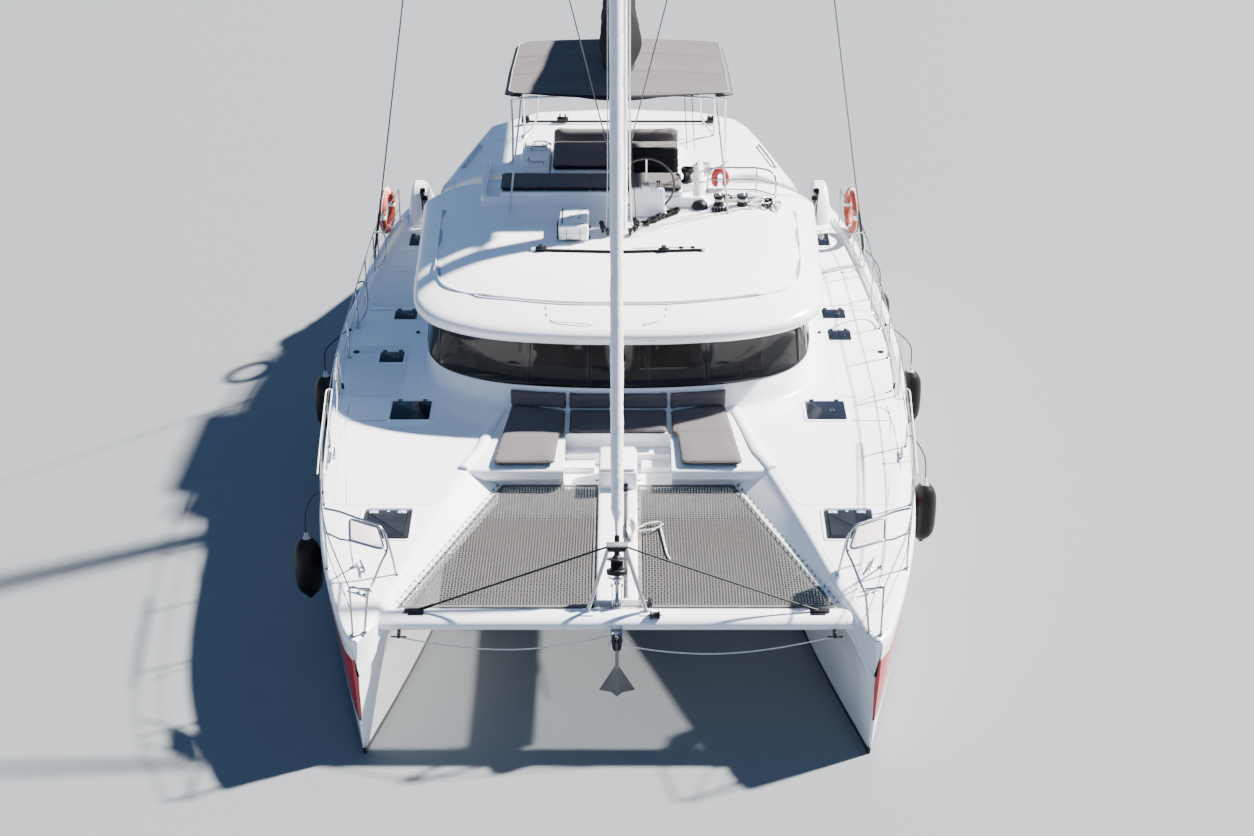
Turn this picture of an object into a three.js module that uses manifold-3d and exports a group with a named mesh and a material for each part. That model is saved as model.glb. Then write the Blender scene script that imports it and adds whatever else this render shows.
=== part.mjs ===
// Sailing catamaran, 14 m long and 8 m wide, afloat with its sails furled.
// Millimetres. Bow towards -Y, port side +X, up +Z. The origin lies amidships in the waterline.
import * as THREE from 'three';
import { mergeVertices } from 'three/addons/utils/BufferGeometryUtils.js';
import Module from 'manifold-3d';

const wasm = await Module();
wasm.setup();

// Clearances
const seatGap = 0.3;
const lidGap = 6;

// Hulls and decks
const hullCentre = 2950;
const jointZ = 1500;
const deckZ = 1860;
const flangeZ = 1550;
const flangeWidth = 100;
const bridgeBottom = 850;
const bridgeHalf = 2000;
const bridgeFront = -3390;
const foredeckLip = -3500;
const soleZ = 1100;
const cockpitHalf = 2250;
const cockpitAft = 5350;
const sternY = 6990;

// Cabin and roof
const cabinAft = 2250;
const wallThick = 45;
const wallTopZ = 2935;
const windowLowZ = 2200;
const windowHighZ = 2925;
const roofTopZ = 3440;

// Flybridge
const flyFloorZ = 3490;
const benchBaseZ = 3665;
const benchTopZ = 3750;
const flyFrontY = 1300;
const benchAftY = 1960;
const flyPortX = 1250;
const flyStarboardX = 1990;
const benchHalf = [-1720, 930];
const wheelCentre = [390, 1090, 3880];
const wheelRadius = 395;

// Rig
const mastY = 500;
const mastTopZ = 20800;
const houndsZ = 19300;
const spreaderZ = 12300;
const spreaderHalf = 2000;
const gooseneckZ = 5430;
const boomLength = 5600;
const stayFoot = [0, -6150, 1930];
const stayHead = [0, 330, 18700];
const tangLength = 250;
const shroudFoot = [3782, 2900, 1800];

// Foredeck
const beamY = -6420;
const beamZ = 1500;
const walkwayHalf = 300;

// Underwater gear
const rudderY = 5750;
const driveY = 4600;
const shaftZ = -930;

const finish = {
  gelcoat: [0xf2f3f3, 0.25, 0.0],
  glass: [0x14181c, 0.08, 0.0],
  steel: [0xc4c8cc, 0.25, 1.0],
  alloy: [0xe9eaea, 0.35, 0.2],
  black: [0x1a1b1d, 0.5, 0.0],
  bronze: [0x8f7a4a, 0.4, 1.0],
  fabric: [0x7f7876, 0.95, 0.0],
  sail: [0xe4e2dd, 0.9, 0.0],
  net: [0xc9c7c0, 0.9, 0.0],
  galvanised: [0x9a9da0, 0.5, 0.8],
  rope: [0xe6e4dc, 0.9, 0.0],
  rubber: [0x20221f, 0.6, 0.0],
  orange: [0xd8552a, 0.7, 0.0],
  red: [0xc02028, 0.7, 0.0],
  wood: [0x9a7650, 0.6, 0.0],
};

const boat = new THREE.Group();
boat.name = 'sailing_catamaran';
const materials = {};
for (const [name, [color, roughness, metalness]] of Object.entries(finish)) {
  materials[name] = new THREE.MeshStandardMaterial({ name, color, roughness, metalness });
}

// Solids from geometries and back

function solid(geometry) {
  const bare = geometry.clone();
  bare.deleteAttribute('normal');
  bare.deleteAttribute('uv');
  const merged = mergeVertices(bare, 1e-3);
  const mesh = new wasm.Mesh({
    numProp: 3,
    vertProperties: new Float32Array(merged.attributes.position.array),
    triVerts: new Uint32Array(merged.index.array),
  });
  return new wasm.Manifold(mesh);
}

function geometryOf(manifold) {
  const mesh = manifold.getMesh();
  const geometry = new THREE.BufferGeometry();
  geometry.setAttribute('position', new THREE.BufferAttribute(new Float32Array(mesh.vertProperties), 3));
  geometry.setIndex(new THREE.BufferAttribute(new Uint32Array(mesh.triVerts), 1));
  return geometry;
}

function fuse(...parts) {
  return parts.flat().reduce((sum, part) => sum.add(part));
}

function cut(body, ...tools) {
  return tools.flat().reduce((rest, tool) => rest.subtract(tool), body);
}

function piece(name, material, body) {
  const mesh = new THREE.Mesh(geometryOf(body), materials[material]);
  mesh.name = name;
  boat.add(mesh);
}

// Shapes

function box(x0, x1, y0, y1, z0, z1) {
  const geometry = new THREE.BoxGeometry(x1 - x0, y1 - y0, z1 - z0);
  geometry.translate((x0 + x1) / 2, (y0 + y1) / 2, (z0 + z1) / 2);
  return solid(geometry);
}

function outline(points) {
  return new THREE.Shape(points.map(([a, b]) => new THREE.Vector2(a, b)));
}

// A plan outline in x and y, raised from z0 to z1
function plate(points, z0, z1) {
  const geometry = new THREE.ExtrudeGeometry(outline(points), { depth: z1 - z0, bevelEnabled: false });
  geometry.translate(0, 0, z0);
  return solid(geometry);
}

// A side profile in y and z, carried across from x0 to x1
function across(points, x0, x1) {
  const geometry = new THREE.ExtrudeGeometry(outline(points), { depth: x1 - x0, bevelEnabled: false });
  const turn = new THREE.Matrix4().makeBasis(
    new THREE.Vector3(0, 1, 0), new THREE.Vector3(0, 0, 1), new THREE.Vector3(1, 0, 0));
  geometry.applyMatrix4(turn);
  geometry.translate(x0, 0, 0);
  return solid(geometry);
}

// Closed rings of equally many points, skinned in their order and capped at both ends
function loft(rings, flatten) {
  const count = rings[0].length;
  const positions = rings.flat(2);
  const index = [];
  for (let r = 0; r + 1 < rings.length; r += 1) {
    for (let i = 0; i < count; i += 1) {
      const a = r * count + i;
      const b = r * count + (i + 1) % count;
      index.push(a, b, b + count, a, b + count, a + count);
    }
  }
  const caps = [[rings[0], 0, true], [rings.at(-1), (rings.length - 1) * count, false]];
  for (const [ring, offset, flip] of caps) {
    const contour = ring.map((point) => new THREE.Vector2(...flatten(point)));
    const faces = THREE.ShapeUtils.triangulateShape(contour, []).map((face) => face.sort((p, q) => p - q));
    if (faces.length === count - 2) {
      for (const face of faces) {
        const [a, b, c] = face.map((i) => i + offset);
        index.push(...(flip ? [a, c, b] : [a, b, c]));
      }
      continue;
    }
    // A ring with points in line is closed by a fan about its middle
    const hub = positions.length / 3;
    positions.push(...[0, 1, 2].map((axis) => ring.reduce((sum, point) => sum + point[axis], 0) / count));
    for (let i = 0; i < count; i += 1) {
      const a = offset + i;
      const b = offset + (i + 1) % count;
      index.push(...(flip ? [b, a, hub] : [a, b, hub]));
    }
  }
  const geometry = new THREE.BufferGeometry();
  geometry.setAttribute('position', new THREE.Float32BufferAttribute(positions, 3));
  geometry.setIndex(index);
  return geometry;
}

const alongY = ([x, , z]) => [x, z];
const alongX = ([, y, z]) => [y, z];
const alongZ = ([x, y]) => [x, y];

function signedVolume(geometry) {
  const position = geometry.attributes.position;
  const index = geometry.index.array;
  const [a, b, c] = [new THREE.Vector3(), new THREE.Vector3(), new THREE.Vector3()];
  let sum = 0;
  for (let i = 0; i < index.length; i += 3) {
    a.fromBufferAttribute(position, index[i]);
    b.fromBufferAttribute(position, index[i + 1]);
    c.fromBufferAttribute(position, index[i + 2]);
    sum += a.dot(b.cross(c)) / 6;
  }
  return sum;
}

// A skin whose faces point in is turned inside out
function outward(geometry) {
  if (signedVolume(geometry) < 0) {
    const index = geometry.index.array;
    for (let i = 0; i < index.length; i += 3) {
      [index[i + 1], index[i + 2]] = [index[i + 2], index[i + 1]];
    }
  }
  return geometry;
}

const skinned = (rings, flatten) => solid(outward(loft(rings, flatten)));

function rod(from, to, radius, sides = 8, endRadius = radius) {
  const start = new THREE.Vector3(...from);
  const run = new THREE.Vector3(...to).sub(start);
  const geometry = new THREE.CylinderGeometry(endRadius, radius, run.length(), sides);
  geometry.translate(0, run.length() / 2, 0);
  geometry.applyQuaternion(new THREE.Quaternion().setFromUnitVectors(
    new THREE.Vector3(0, 1, 0), run.clone().normalize()));
  geometry.translate(start.x, start.y, start.z);
  return solid(geometry);
}

function ball(centre, radius, sides = 8) {
  const geometry = new THREE.SphereGeometry(radius, sides, Math.max(4, sides / 2));
  geometry.translate(...centre);
  return solid(geometry);
}

// Straight tubes from point to point, each run on a little past its elbows
function pipe(points, radius, sides = 6) {
  return fuse(points.slice(1).map((point, i) => {
    const [start, end] = [new THREE.Vector3(...points[i]), new THREE.Vector3(...point)];
    const reach = end.clone().sub(start).setLength(radius * 0.6);
    const from = i > 0 ? start.sub(reach) : start;
    const to = i + 2 < points.length ? end.add(reach) : end;
    return rod(from.toArray(), to.toArray(), radius, sides);
  }));
}

// A stretched wire, its lengths joined inside what they pass through
function wire(points, radius, sides = 4) {
  return fuse(points.slice(1).map((point, i) => rod(points[i], point, radius, sides)));
}

// A round line that follows a smooth curve through its points
function sweep(points, radius, steps, sides = 8) {
  const path = new THREE.CatmullRomCurve3(points.map((point) => new THREE.Vector3(...point)));
  const section = new THREE.Shape();
  for (let i = 0; i <= sides; i += 1) {
    const angle = (i / sides) * Math.PI * 2;
    const method = i === 0 ? 'moveTo' : 'lineTo';
    section[method](radius * Math.cos(angle), radius * Math.sin(angle));
  }
  return solid(new THREE.ExtrudeGeometry(section, { steps, extrudePath: path, bevelEnabled: false }));
}

// A turned shape about a line from a point, its profile in radius and distance along the line
function turned(profile, from, direction, segments = 16) {
  const points = profile.map(([radius, along]) => new THREE.Vector2(radius, along));
  const geometry = new THREE.LatheGeometry(points, segments);
  geometry.applyQuaternion(new THREE.Quaternion().setFromUnitVectors(
    new THREE.Vector3(0, 1, 0), new THREE.Vector3(...direction).normalize()));
  geometry.translate(...from);
  return solid(outward(geometry));
}

function torus(centre, radius, tube, axis, radial = 6, around = 20) {
  const geometry = new THREE.TorusGeometry(radius, tube, radial, around);
  geometry.applyQuaternion(new THREE.Quaternion().setFromUnitVectors(
    new THREE.Vector3(0, 0, 1), new THREE.Vector3(...axis).normalize()));
  geometry.translate(...centre);
  return solid(geometry);
}

const both = [['port', 1], ['starboard', -1]];
const mirror = (side) => ([x, y, z]) => [x * side, y, z];

// Hull sections from stem to transom, each from the keel outboard, over the deck and down inboard
const inner = [bridgeHalf, bridgeHalf, jointZ + 20, bridgeHalf, bridgeBottom];
const stations = [
  // y, keel z, half beam afloat, deck outer x, deck inner x, edge x, edge z, knee x, knee z, deck z
  [-6990, -60, 14, 3030, 2980, 2960, 1080, 2955, 630, 1590],
  [-6840, -300, 50, 3130, 2885, 2850, 1230, 2868, 790, 1605],
  [-6500, -430, 130, 3250, 2780, 2680, 1470, 2735, 1150, 1640],
  [-6200, -480, 205, 3335, 2675, 2510, flangeZ, 2630, 1270, 1665],
  [-5600, -550, 345, 3490, 2505, 2280, flangeZ, 2500, 1120, 1712],
  [-4900, -610, 500, 3625, 2320, 2010, flangeZ, 2380, 950, 1762],
  [-4200, -655, 630, 3715, 2130, 1740, flangeZ, 2260, 870, 1800],
  [-3400, -695, 745, 3775, 1900, 1430, flangeZ, 2140, bridgeBottom, 1838],
  [-3390, -696, 746, 3776, ...inner, 1839],
  [-2000, -745, 860, 3855, ...inner, deckZ],
  [0, -765, 920, 3975, ...inner, deckZ],
  [2000, -730, 900, 3850, ...inner, deckZ],
  [3600, -630, 840, 3690, ...inner, deckZ],
  [5000, -430, 790, 3460, ...inner, deckZ],
  [6200, -210, 740, 3370, ...inner, deckZ],
  [sternY, -60, 700, 3320, ...inner, deckZ],
];

function hullRing([y, keel, half, deckOut, deckIn, edgeX, edgeZ, kneeX, kneeZ, top], side, grow) {
  const afloat = hullCentre + half;
  const ledge = edgeZ === flangeZ ? flangeWidth : 0;
  const bilge = (angle, sign) => [
    hullCentre + sign * (half * Math.sin(angle) + grow),
    keel * Math.cos(angle) - grow,
  ];
  const points = [
    [hullCentre, keel - grow],
    bilge(Math.PI / 6, 1),
    bilge(Math.PI / 3, 1),
    [afloat + grow, 0],
    [afloat + 0.6 * (deckOut - afloat) + grow, top * 0.5],
    [deckOut + grow, top - 90],
    [deckOut - 55, top + grow],
    [deckIn - grow, top + grow],
    [edgeX + ledge - grow, edgeZ + (ledge ? 0 : 5)],
    [edgeX - grow, edgeZ],
    [edgeX - grow, edgeZ - 110],
    [kneeX - grow, kneeZ],
    [hullCentre - half - grow, 0],
    bilge(Math.PI / 3, -1),
    bilge(Math.PI / 6, -1),
  ];
  return points.map(([x, z]) => [x * side, y, z]);
}

function hullLoft(side, grow = 0) {
  return skinned(stations.map((station) => hullRing(station, side, grow)), alongY);
}

// Stern steps down each hull to its bathing platform
const sternSteps = [
  // from y, tread z
  [5000, 1500],
  [5400, 1260],
  [5760, 1020],
  [6100, 780],
  [6400, 520],
];

function sternCuts(side) {
  const wallX = 3340;
  const treads = sternSteps.map(([y, z]) => {
    const xs = [bridgeHalf - 50, wallX].map((x) => x * side).sort((a, b) => a - b);
    return box(xs[0], xs[1], y, sternY + 50, z, 2400);
  });
  const slope = across([[5000, 2600], [5050, 2300], [5500, 1700], [6700, 900], [7100, 750], [7100, 2600]],
    side > 0 ? 1900 : -4200, side > 0 ? 4200 : -1900);
  return [...treads, slope];
}

// Lockers and engine bays sink into the hulls from the deck
const bowLocker = { x0: 2540, x1: 3130, y0: -5050, y1: -4400, deck: 1770, floor: 1150 };
const engineHatch = { x0: 2440, x1: 2900, y0: 4100, y1: 4800, deck: deckZ, floor: 900 };
const engineBay = { x0: 2620, x1: 3280, y0: 4100, y1: 4800, deck: 1000, floor: 30 };

function well({ x0, x1, y0, y1, floor, deck }, side, inset, top = deck + 200) {
  const xs = [x0 + inset, x1 - inset].map((x) => x * side).sort((a, b) => a - b);
  return box(xs[0], xs[1], y0 + inset, y1 - inset, floor, top);
}

// Stub keels, moulded with the hulls
function stubKeel(side) {
  const levels = [
    // z, from y, to y, half thickness
    [-1300, -1150, 1250, 90],
    [-1240, -1250, 1350, 140],
    [-600, -1500, 1500, 190],
  ];
  const rings = levels.map(([z, y0, y1, t]) => {
    const middle = y0 + 0.35 * (y1 - y0);
    return [[0, y0], [t, middle - 300], [t, middle + 200], [0, y1], [-t, middle + 200], [-t, middle - 300]]
      .map(([x, y]) => [(hullCentre + x) * side, y, z]);
  });
  return skinned(rings, alongZ);
}

const seaLevelBox = box(-4500, 4500, -7300, 7300, -1500, jointZ - seatGap / 2);
const upperBox = box(-4500, 4500, -7300, 7300, jointZ + seatGap / 2, 2500);

const rudderBore = { radius: 42, sides: 24 };
const wholeHull = {};
for (const [name, side] of both) {
  const bored = rod([hullCentre * side, rudderY, -700], [hullCentre * side, rudderY, 320],
    rudderBore.radius, rudderBore.sides);
  const legHole = box(hullCentre * side - 61, hullCentre * side + 61, driveY - 151, driveY + 151, -900, 100);
  wholeHull[name] = cut(hullLoft(side), sternCuts(side),
    well(bowLocker, side, 40), well(bowLocker, side, 0, bowLocker.deck + 100).intersect(
      box(-4500, 4500, -5100, -4300, bowLocker.deck - 40, 2500)),
    well(engineBay, side, 40), well(engineHatch, side, 40), well(engineHatch, side, 0).intersect(
      box(-4500, 4500, 4000, 5000, deckZ - 40, 2500)));
  piece(`hull_${name}`, 'gelcoat',
    cut(fuse(wholeHull[name].intersect(seaLevelBox), stubKeel(side)), bored, legHole));
}

// Cabin plan, the same curve at every height
const planCurve = [
  // share of the half width, distance aft of the nose
  [0, 0],
  [0.29, 30],
  [0.60, 160],
  [0.82, 430],
  [0.945, 800],
  [1.0, 1350],
  [1.018, 2700],
];

function planRing(half, nose, z, aft) {
  const right = [...planCurve.map(([share, back]) => [share * half, nose + back]), [1.04 * half, aft]];
  const left = right.slice(1).reverse().map(([x, y]) => [-x, y]);
  return [...right, ...left].map(([x, y]) => [x, y, z]);
}

function planLoft(levels, aft) {
  return skinned(levels.map(([z, half, nose]) => planRing(half, nose, z, aft)), alongZ);
}

const wallLevels = [
  // z, half width, nose y
  [deckZ + seatGap, 2680, -2030],
  [windowLowZ, 2630, -1925],
  [wallTopZ, 2560, -1860],
];
const offsetLevels = (amount) => wallLevels.map(([z, half, nose]) => [z, half + amount, nose - amount]);
const cabinVoid = planLoft([
  [deckZ - 500, 2680 - wallThick, -2030 + wallThick],
  ...offsetLevels(-wallThick),
  [wallTopZ + 50, 2555 - wallThick, -1855 + wallThick],
], cabinAft - wallThick);

// Deck moulding: the upper part of both hulls, the foredeck between them and its wells
const foredeckProfile = [
  [bridgeFront, jointZ + 0.2], [bridgeFront, 1590], [foredeckLip, 1700], [foredeckLip, 1836], [-2400, deckZ],
  [-1300, deckZ], [-1300, jointZ + 0.2],
];
const footwell = box(-690, 690, bridgeFront - 150, -2560, jointZ - 50, 2000);
const cockpitWell = box(-cockpitHalf, cockpitHalf, cabinAft - 150, sternY + 100, jointZ - 50, 2400);

// Low frames of the flush hatches: middle x, middle y, width, length
const hatchTable = [
  [2770, -1930, 560, 560],
  [-2770, -1930, 560, 560],
  [3150, 360, 360, 360],
  [-3175, -340, 370, 360],
  [3125, 1070, 370, 340],
  [-3100, 1040, 360, 340],
  [3160, 3755, 280, 450],
  [-3160, 3755, 280, 450],
];
const hatchFrames = hatchTable.map(([x, y, w, l]) =>
  box(x - w / 2, x + w / 2, y - l / 2, y + l / 2, deckZ - 20, deckZ + 18));

const coamingProfile = [
  [4390, deckZ - 30], [4390, deckZ + 10], [4800, 2330], [4960, 2380], [5060, 2280],
  [5450, deckZ - 100], [5450, deckZ - 160],
];
const coamings = both.map(([, side]) =>
  across(coamingProfile, side > 0 ? 2960 : -3390, side > 0 ? 3390 : -2960));
const deckBody = cut(
  fuse(wholeHull.port.intersect(upperBox), wholeHull.starboard.intersect(upperBox),
    across(foredeckProfile, -bridgeHalf - 5, bridgeHalf + 5), hatchFrames, coamings),
  footwell, cockpitWell,
  cabinVoid.intersect(box(-3000, 3000, -2500, cabinAft - wallThick, 1300, 2000)),
);
piece('deck', 'gelcoat', deckBody);

// Bridge deck between the hulls, with the walkway that runs forward from it
const bridgeWide = bridgeHalf - seatGap;
const bridgeProfile = [
  [bridgeFront, jointZ - 0.2], [bridgeFront, 1150], [-3050, bridgeBottom], [5950, bridgeBottom + 120],
  [5950, 1540], [cockpitAft, 1540], [cockpitAft, soleZ], [-1900, soleZ], [-1900, jointZ - 0.2],
];
const walkway = fuse(
  box(-walkwayHalf, walkwayHalf, beamY + 180, bridgeFront + 40, 1330, flangeZ),
  box(-walkwayHalf + 50, walkwayHalf - 50, beamY + 180, bridgeFront - 2, 1490, 1610),
);
const anchorLocker = box(-245, 245, -3600, -2960, 1490, 1900);
piece('bridge_deck', 'gelcoat', fuse(across(bridgeProfile, -bridgeWide, bridgeWide), walkway,
  anchorLocker));

// Cabin walls with their window openings, the aft bulkhead and its doorway
const frontPanes = [-1560, -780, 0, 780, 1560].map((x) => box(x - 350, x + 350, -2300, -1250, 2250, 2880));
const sidePanes = both.flatMap(([, side]) => [[-1050, -260], [-190, 640], [710, 1500]].map(([y0, y1]) =>
  box(side > 0 ? 2150 : -2900, side > 0 ? 2900 : -2150, y0, y1, 2250, 2880)));
const bulkhead = fuse(
  box(-bridgeWide, bridgeWide, cabinAft - wallThick, cabinAft, soleZ + seatGap, 1900),
  box(-cockpitHalf + seatGap, cockpitHalf - seatGap, cabinAft - wallThick, cabinAft, jointZ + seatGap, 1900),
);
const doorway = { x0: -1350, x1: -450, z0: 1135, z1: 2860 };
const doorTrack = box(-1450, 650, cabinAft - 1, cabinAft + 60, soleZ + seatGap, soleZ + 25);
const cabinShell = cut(planLoft(wallLevels, cabinAft), cabinVoid);
piece('cabin', 'gelcoat', cut(fuse(cabinShell, bulkhead, doorTrack), frontPanes, sidePanes,
  box(doorway.x0, doorway.x1, cabinAft - 150, cabinAft + 5, doorway.z0, doorway.z1),
  box(-350, 1500, cabinAft - 150, cabinAft + 5, 1950, 2800)));

const glazingCut = box(-3000, 3000, 1600, 2600, 2000, 3000);
const glazingBand = (amount, low, high) => {
  const tilt = (z) => (z - windowLowZ) / (wallTopZ - windowLowZ);
  return planLoft([low, high].map((z) => [z, 2630 - 70 * tilt(z) + amount, -1925 + 65 * tilt(z) - amount]),
    cabinAft);
};
piece('window_glazing', 'glass', cut(glazingBand(10, windowLowZ, windowHighZ),
  glazingBand(0.4, windowLowZ - 50, windowHighZ + 50), glazingCut));

const doorLeaf = cut(
  box(-1400, -400, cabinAft + 8, cabinAft + 40, soleZ + 25.5, 2885),
  box(-1330, -470, cabinAft, cabinAft + 60, soleZ + 110, 2810),
);
const doorPane = box(-1340, -460, cabinAft + 18, cabinAft + 30, soleZ + 100, 2820);
piece('saloon_door', 'glass', fuse(doorLeaf, doorPane));

// Saloon furniture seen through the glass: galley counter, settee and table on one base
piece('saloon_furniture', 'wood', fuse(
  box(-1850, -1200, -1400, 1200, soleZ + seatGap, 1980),
  box(-1300, 1300, -1600, -1500, soleZ + seatGap, 1940),
  box(-1300, -1200, -1600, -1300, soleZ + seatGap, 1940),
  box(1290, 1850, -1400, 1300, soleZ + seatGap, 1560),
  box(1200, 1310, -1600, -1300, soleZ + seatGap, 1560),
  box(1750, 1860, -1400, 1300, soleZ + seatGap, 1960),
  box(300, 1000, -600, 400, 1780, 1830),
  box(600, 700, -150, -50, soleZ + seatGap, 1800),
  box(600, 1300, -150, -50, soleZ + seatGap, 1130),
));

// Coachroof: a lid with an overhanging rim, hollow underneath
const roofLevels = [
  // z, half width, nose y
  [wallTopZ + seatGap, 2690, -2090],
  [2970, 2755, -2170],
  [3070, 2775, -2190],
  [3140, 2735, -2130],
  [3240, 2590, -1840],
  [3310, 2450, -1600],
  [3390, 2250, -1250],
  [roofTopZ, 1950, -750],
];
const roofVoid = [
  [wallTopZ - 50, 2470, -1770],
  [3130, 2470, -1770],
  [3320, 2150, -1150],
];
const roofSolid = cut(planLoft(roofLevels, cabinAft), planLoft(roofVoid, cabinAft - 60));
const roofEnvelope = planLoft(roofLevels.map(([z, half, nose]) => [z + seatGap, half, nose]), cabinAft);
piece('coachroof', 'gelcoat', roofSolid);

// Flybridge: tub on the coachroof, hardtop over the cockpit, its wings and two posts
const hardtop = [
  // x, front y, aft y, top z
  [0, cabinAft + 0.5, 5370, 3490],
  [flyPortX, cabinAft + 0.5, 5240, 3485],
  [flyPortX + 10, 2940, 5235, 3485],
  [1900, 2660, 4950, 3450],
  [2150, 2550, 4200, 3410],
  [2400, 2440, 3300, 3360],
  [2640, 2330, 2460, 3300],
];
const hardtopStarboard = [
  [0, cabinAft + 0.5, 5370, 3490],
  [flyPortX + 10, cabinAft + 0.5, 5235, 3485],
  [flyStarboardX - 15, cabinAft + 0.5, 4780, 3440],
  [flyStarboardX, 2620, 4740, 3440],
  [2150, 2550, 4200, 3410],
  [2400, 2440, 3300, 3360],
  [2640, 2330, 2460, 3300],
];
const ribRing = ([x, front, aft, top], side) => [
  [x * side, front, top - 150],
  [x * side, front, top - 25],
  [x * side, front + 25, top],
  [x * side, aft - 45, top],
  [x * side, aft, top - 50],
  [x * side, aft - 45, top - 150],
];
const hardtopHalf = (table, side) => skinned(table.map((rib) => ribRing(rib, side)), alongX);
const roofSeat = roofTopZ + seatGap;
const [wheelX, wheelY, wheelZ] = wheelCentre;
const padFrontY = 2120;
const padAftY = 3440;
const padBaseZ = 3650;
const tub = fuse(
  box(-flyStarboardX, flyPortX, flyFrontY, cabinAft + 30, roofSeat, flyFloorZ),
  box(-flyStarboardX, flyPortX, flyFrontY, flyFrontY + 60, roofSeat, 3600),
  box(-flyStarboardX, -flyStarboardX + 90, flyFrontY, 2850, roofSeat, 3640),
  box(flyPortX - 90, flyPortX, flyFrontY, 3010, roofSeat, 3600),
  box(benchHalf[0] + 20, benchHalf[1] - 20, flyFrontY, benchAftY + 130, roofSeat, benchBaseZ),
  box(-1000, 900, padFrontY, padAftY, flyFloorZ - 25, padBaseZ),
);
const helmConsole = fuse(
  box(150, 650, 950, 1050, roofSeat, 3870),
  box(150, 650, 940, flyFrontY + 20, roofSeat, roofTopZ + 15),
  box(wheelX - 60, wheelX + 60, 960, 1045, 3800, wheelZ + 60),
  rod([wheelX, 1000, wheelZ], [wheelX, wheelY - 31.4, wheelZ], 22, 12),
);
const travellerY = 4600;
const travellerBed = box(-1500, 1500, travellerY - 30, travellerY + 30, 3440, 3530);
const posts = both.map(([, side]) =>
  rod([2330 * side, 4480, deckZ + 15], [2040 * side, 4200, 3330], 38, 10));
const postFeet = both.map(([, side]) =>
  rod([2330 * side, 4480, deckZ + seatGap], [2330 * side, 4480, deckZ + 20], 60, 10));
const flybridgeSolid = fuse(hardtopHalf(hardtop, 1), hardtopHalf(hardtopStarboard, -1), tub,
  helmConsole, travellerBed, posts, postFeet);
piece('flybridge', 'gelcoat', flybridgeSolid);

// What stands on the roof or the flybridge ends just clear of it
const seated = (body) => cut(body, roofEnvelope, flybridgeSolid, flybridgeSolid.translate([0, 0, seatGap]));

// Steering wheel on its hub in front of the bench
const spokes = [90, 210, 330].map((angle) => rod([wheelX, wheelY, wheelZ], [
  wheelX + wheelRadius * Math.cos(THREE.MathUtils.degToRad(angle)), wheelY,
  wheelZ + wheelRadius * Math.sin(THREE.MathUtils.degToRad(angle)),
], 11, 6));
piece('steering_wheel', 'steel', fuse(spokes,
  torus([wheelX, wheelY, wheelZ], wheelRadius, 14, [0, 1, 0], 5, 22),
  rod([wheelX, wheelY - 31, wheelZ], [wheelX, wheelY + 25, wheelZ], 45, 12)));

// Flybridge cushions
piece('flybridge_bench', 'fabric',
  box(benchHalf[0], benchHalf[1], flyFrontY + 20, benchAftY, benchBaseZ + seatGap, benchTopZ));
piece('flybridge_sunpad', 'fabric', fuse(
  box(-1000, 900, padFrontY + 60, padAftY, padBaseZ + seatGap, 3750),
  box(-1000, 900, padAftY - 200, padAftY, padBaseZ + seatGap, 3900)));
const helmBack = [
  [benchAftY + 8, benchBaseZ + seatGap],
  [benchAftY + 50, 4090],
  [benchAftY + 80, 4120],
  [benchAftY + 130, 4090],
  [benchAftY + 100, benchBaseZ + seatGap],
];
piece('helm_seat', 'black', across(helmBack, 150, 890));

// Port rail of the flybridge, where the steps come up
const railY = 1950;
const railTopZ = 3800;
const flyRail = fuse(
  pipe([[1290, railY, roofTopZ - 20], [1290, railY, railTopZ], [2000, railY - 10, railTopZ],
    [2270, railY - 180, railTopZ], [2270, railY - 180, 3250]], 14),
  wire([[1290, railY, 3620], [2000, railY - 10, 3620]], 11, 6),
  wire([[2000, railY - 10, railTopZ], [2000, railY - 10, 3350]], 13, 6),
);
piece('flybridge_rail', 'steel', seated(flyRail));

// Bimini: bent tube frame and its fabric top
const bimini = { tubeZ: 5082.5, frontY: 1150, aftY: 3750, frontHalf: 1600, aftHalf: 1540 };
const biminiFrame = fuse(both.flatMap(([, side]) => [
  pipe([[1600, 3020, 3380], [1500, 1290, bimini.tubeZ], [1470, 3640, bimini.tubeZ]].map(mirror(side)), 16),
  pipe([[1560, 1050, roofTopZ - 60], [1400, 1950, 4800], [1330, 2150, bimini.tubeZ]].map(mirror(side)), 14),
  pipe([[1460, 4120, 3400], [1470, 3640, bimini.tubeZ]].map(mirror(side)), 16),
  pipe([[1460, 4090, 3520], [1250, 4010, 3900], [1230, 3700, bimini.tubeZ - 30],
    [1350, 3640, bimini.tubeZ]].map(mirror(side)), 13),
]), [[1500, 1290], [1487, 2150], [1470, 3640]].map(([half, y]) =>
  rod([-half, y, bimini.tubeZ], [half, y, bimini.tubeZ], 15, 6)));
const biminiRing = ([y, half, edge, crown]) => {
  const shoulder = edge + (crown - edge) * 0.7;
  const thick = 12 + 0.4 * (crown - edge);
  return [
    [-half, y, edge],
    [-half * 0.6, y, shoulder],
    [0, y, crown],
    [half * 0.6, y, shoulder],
    [half, y, edge],
    [half * 0.6, y, shoulder - thick],
    [0, y, crown - thick],
    [-half * 0.6, y, shoulder - thick],
  ];
};
const biminiRings = [
  // y, half width, edge z, crown z
  [bimini.frontY, 1480, 5100, 5150],
  [bimini.frontY + 150, bimini.frontHalf, 5100, 5180],
  [2400, 1590, 5105, 5200],
  [bimini.aftY - 150, bimini.aftHalf, 5103, 5180],
  [bimini.aftY, 1440, 5103, 5150],
].map(biminiRing);
piece('bimini_frame', 'steel', seated(biminiFrame));
piece('bimini_canopy', 'fabric', skinned(biminiRings, alongY));

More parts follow.
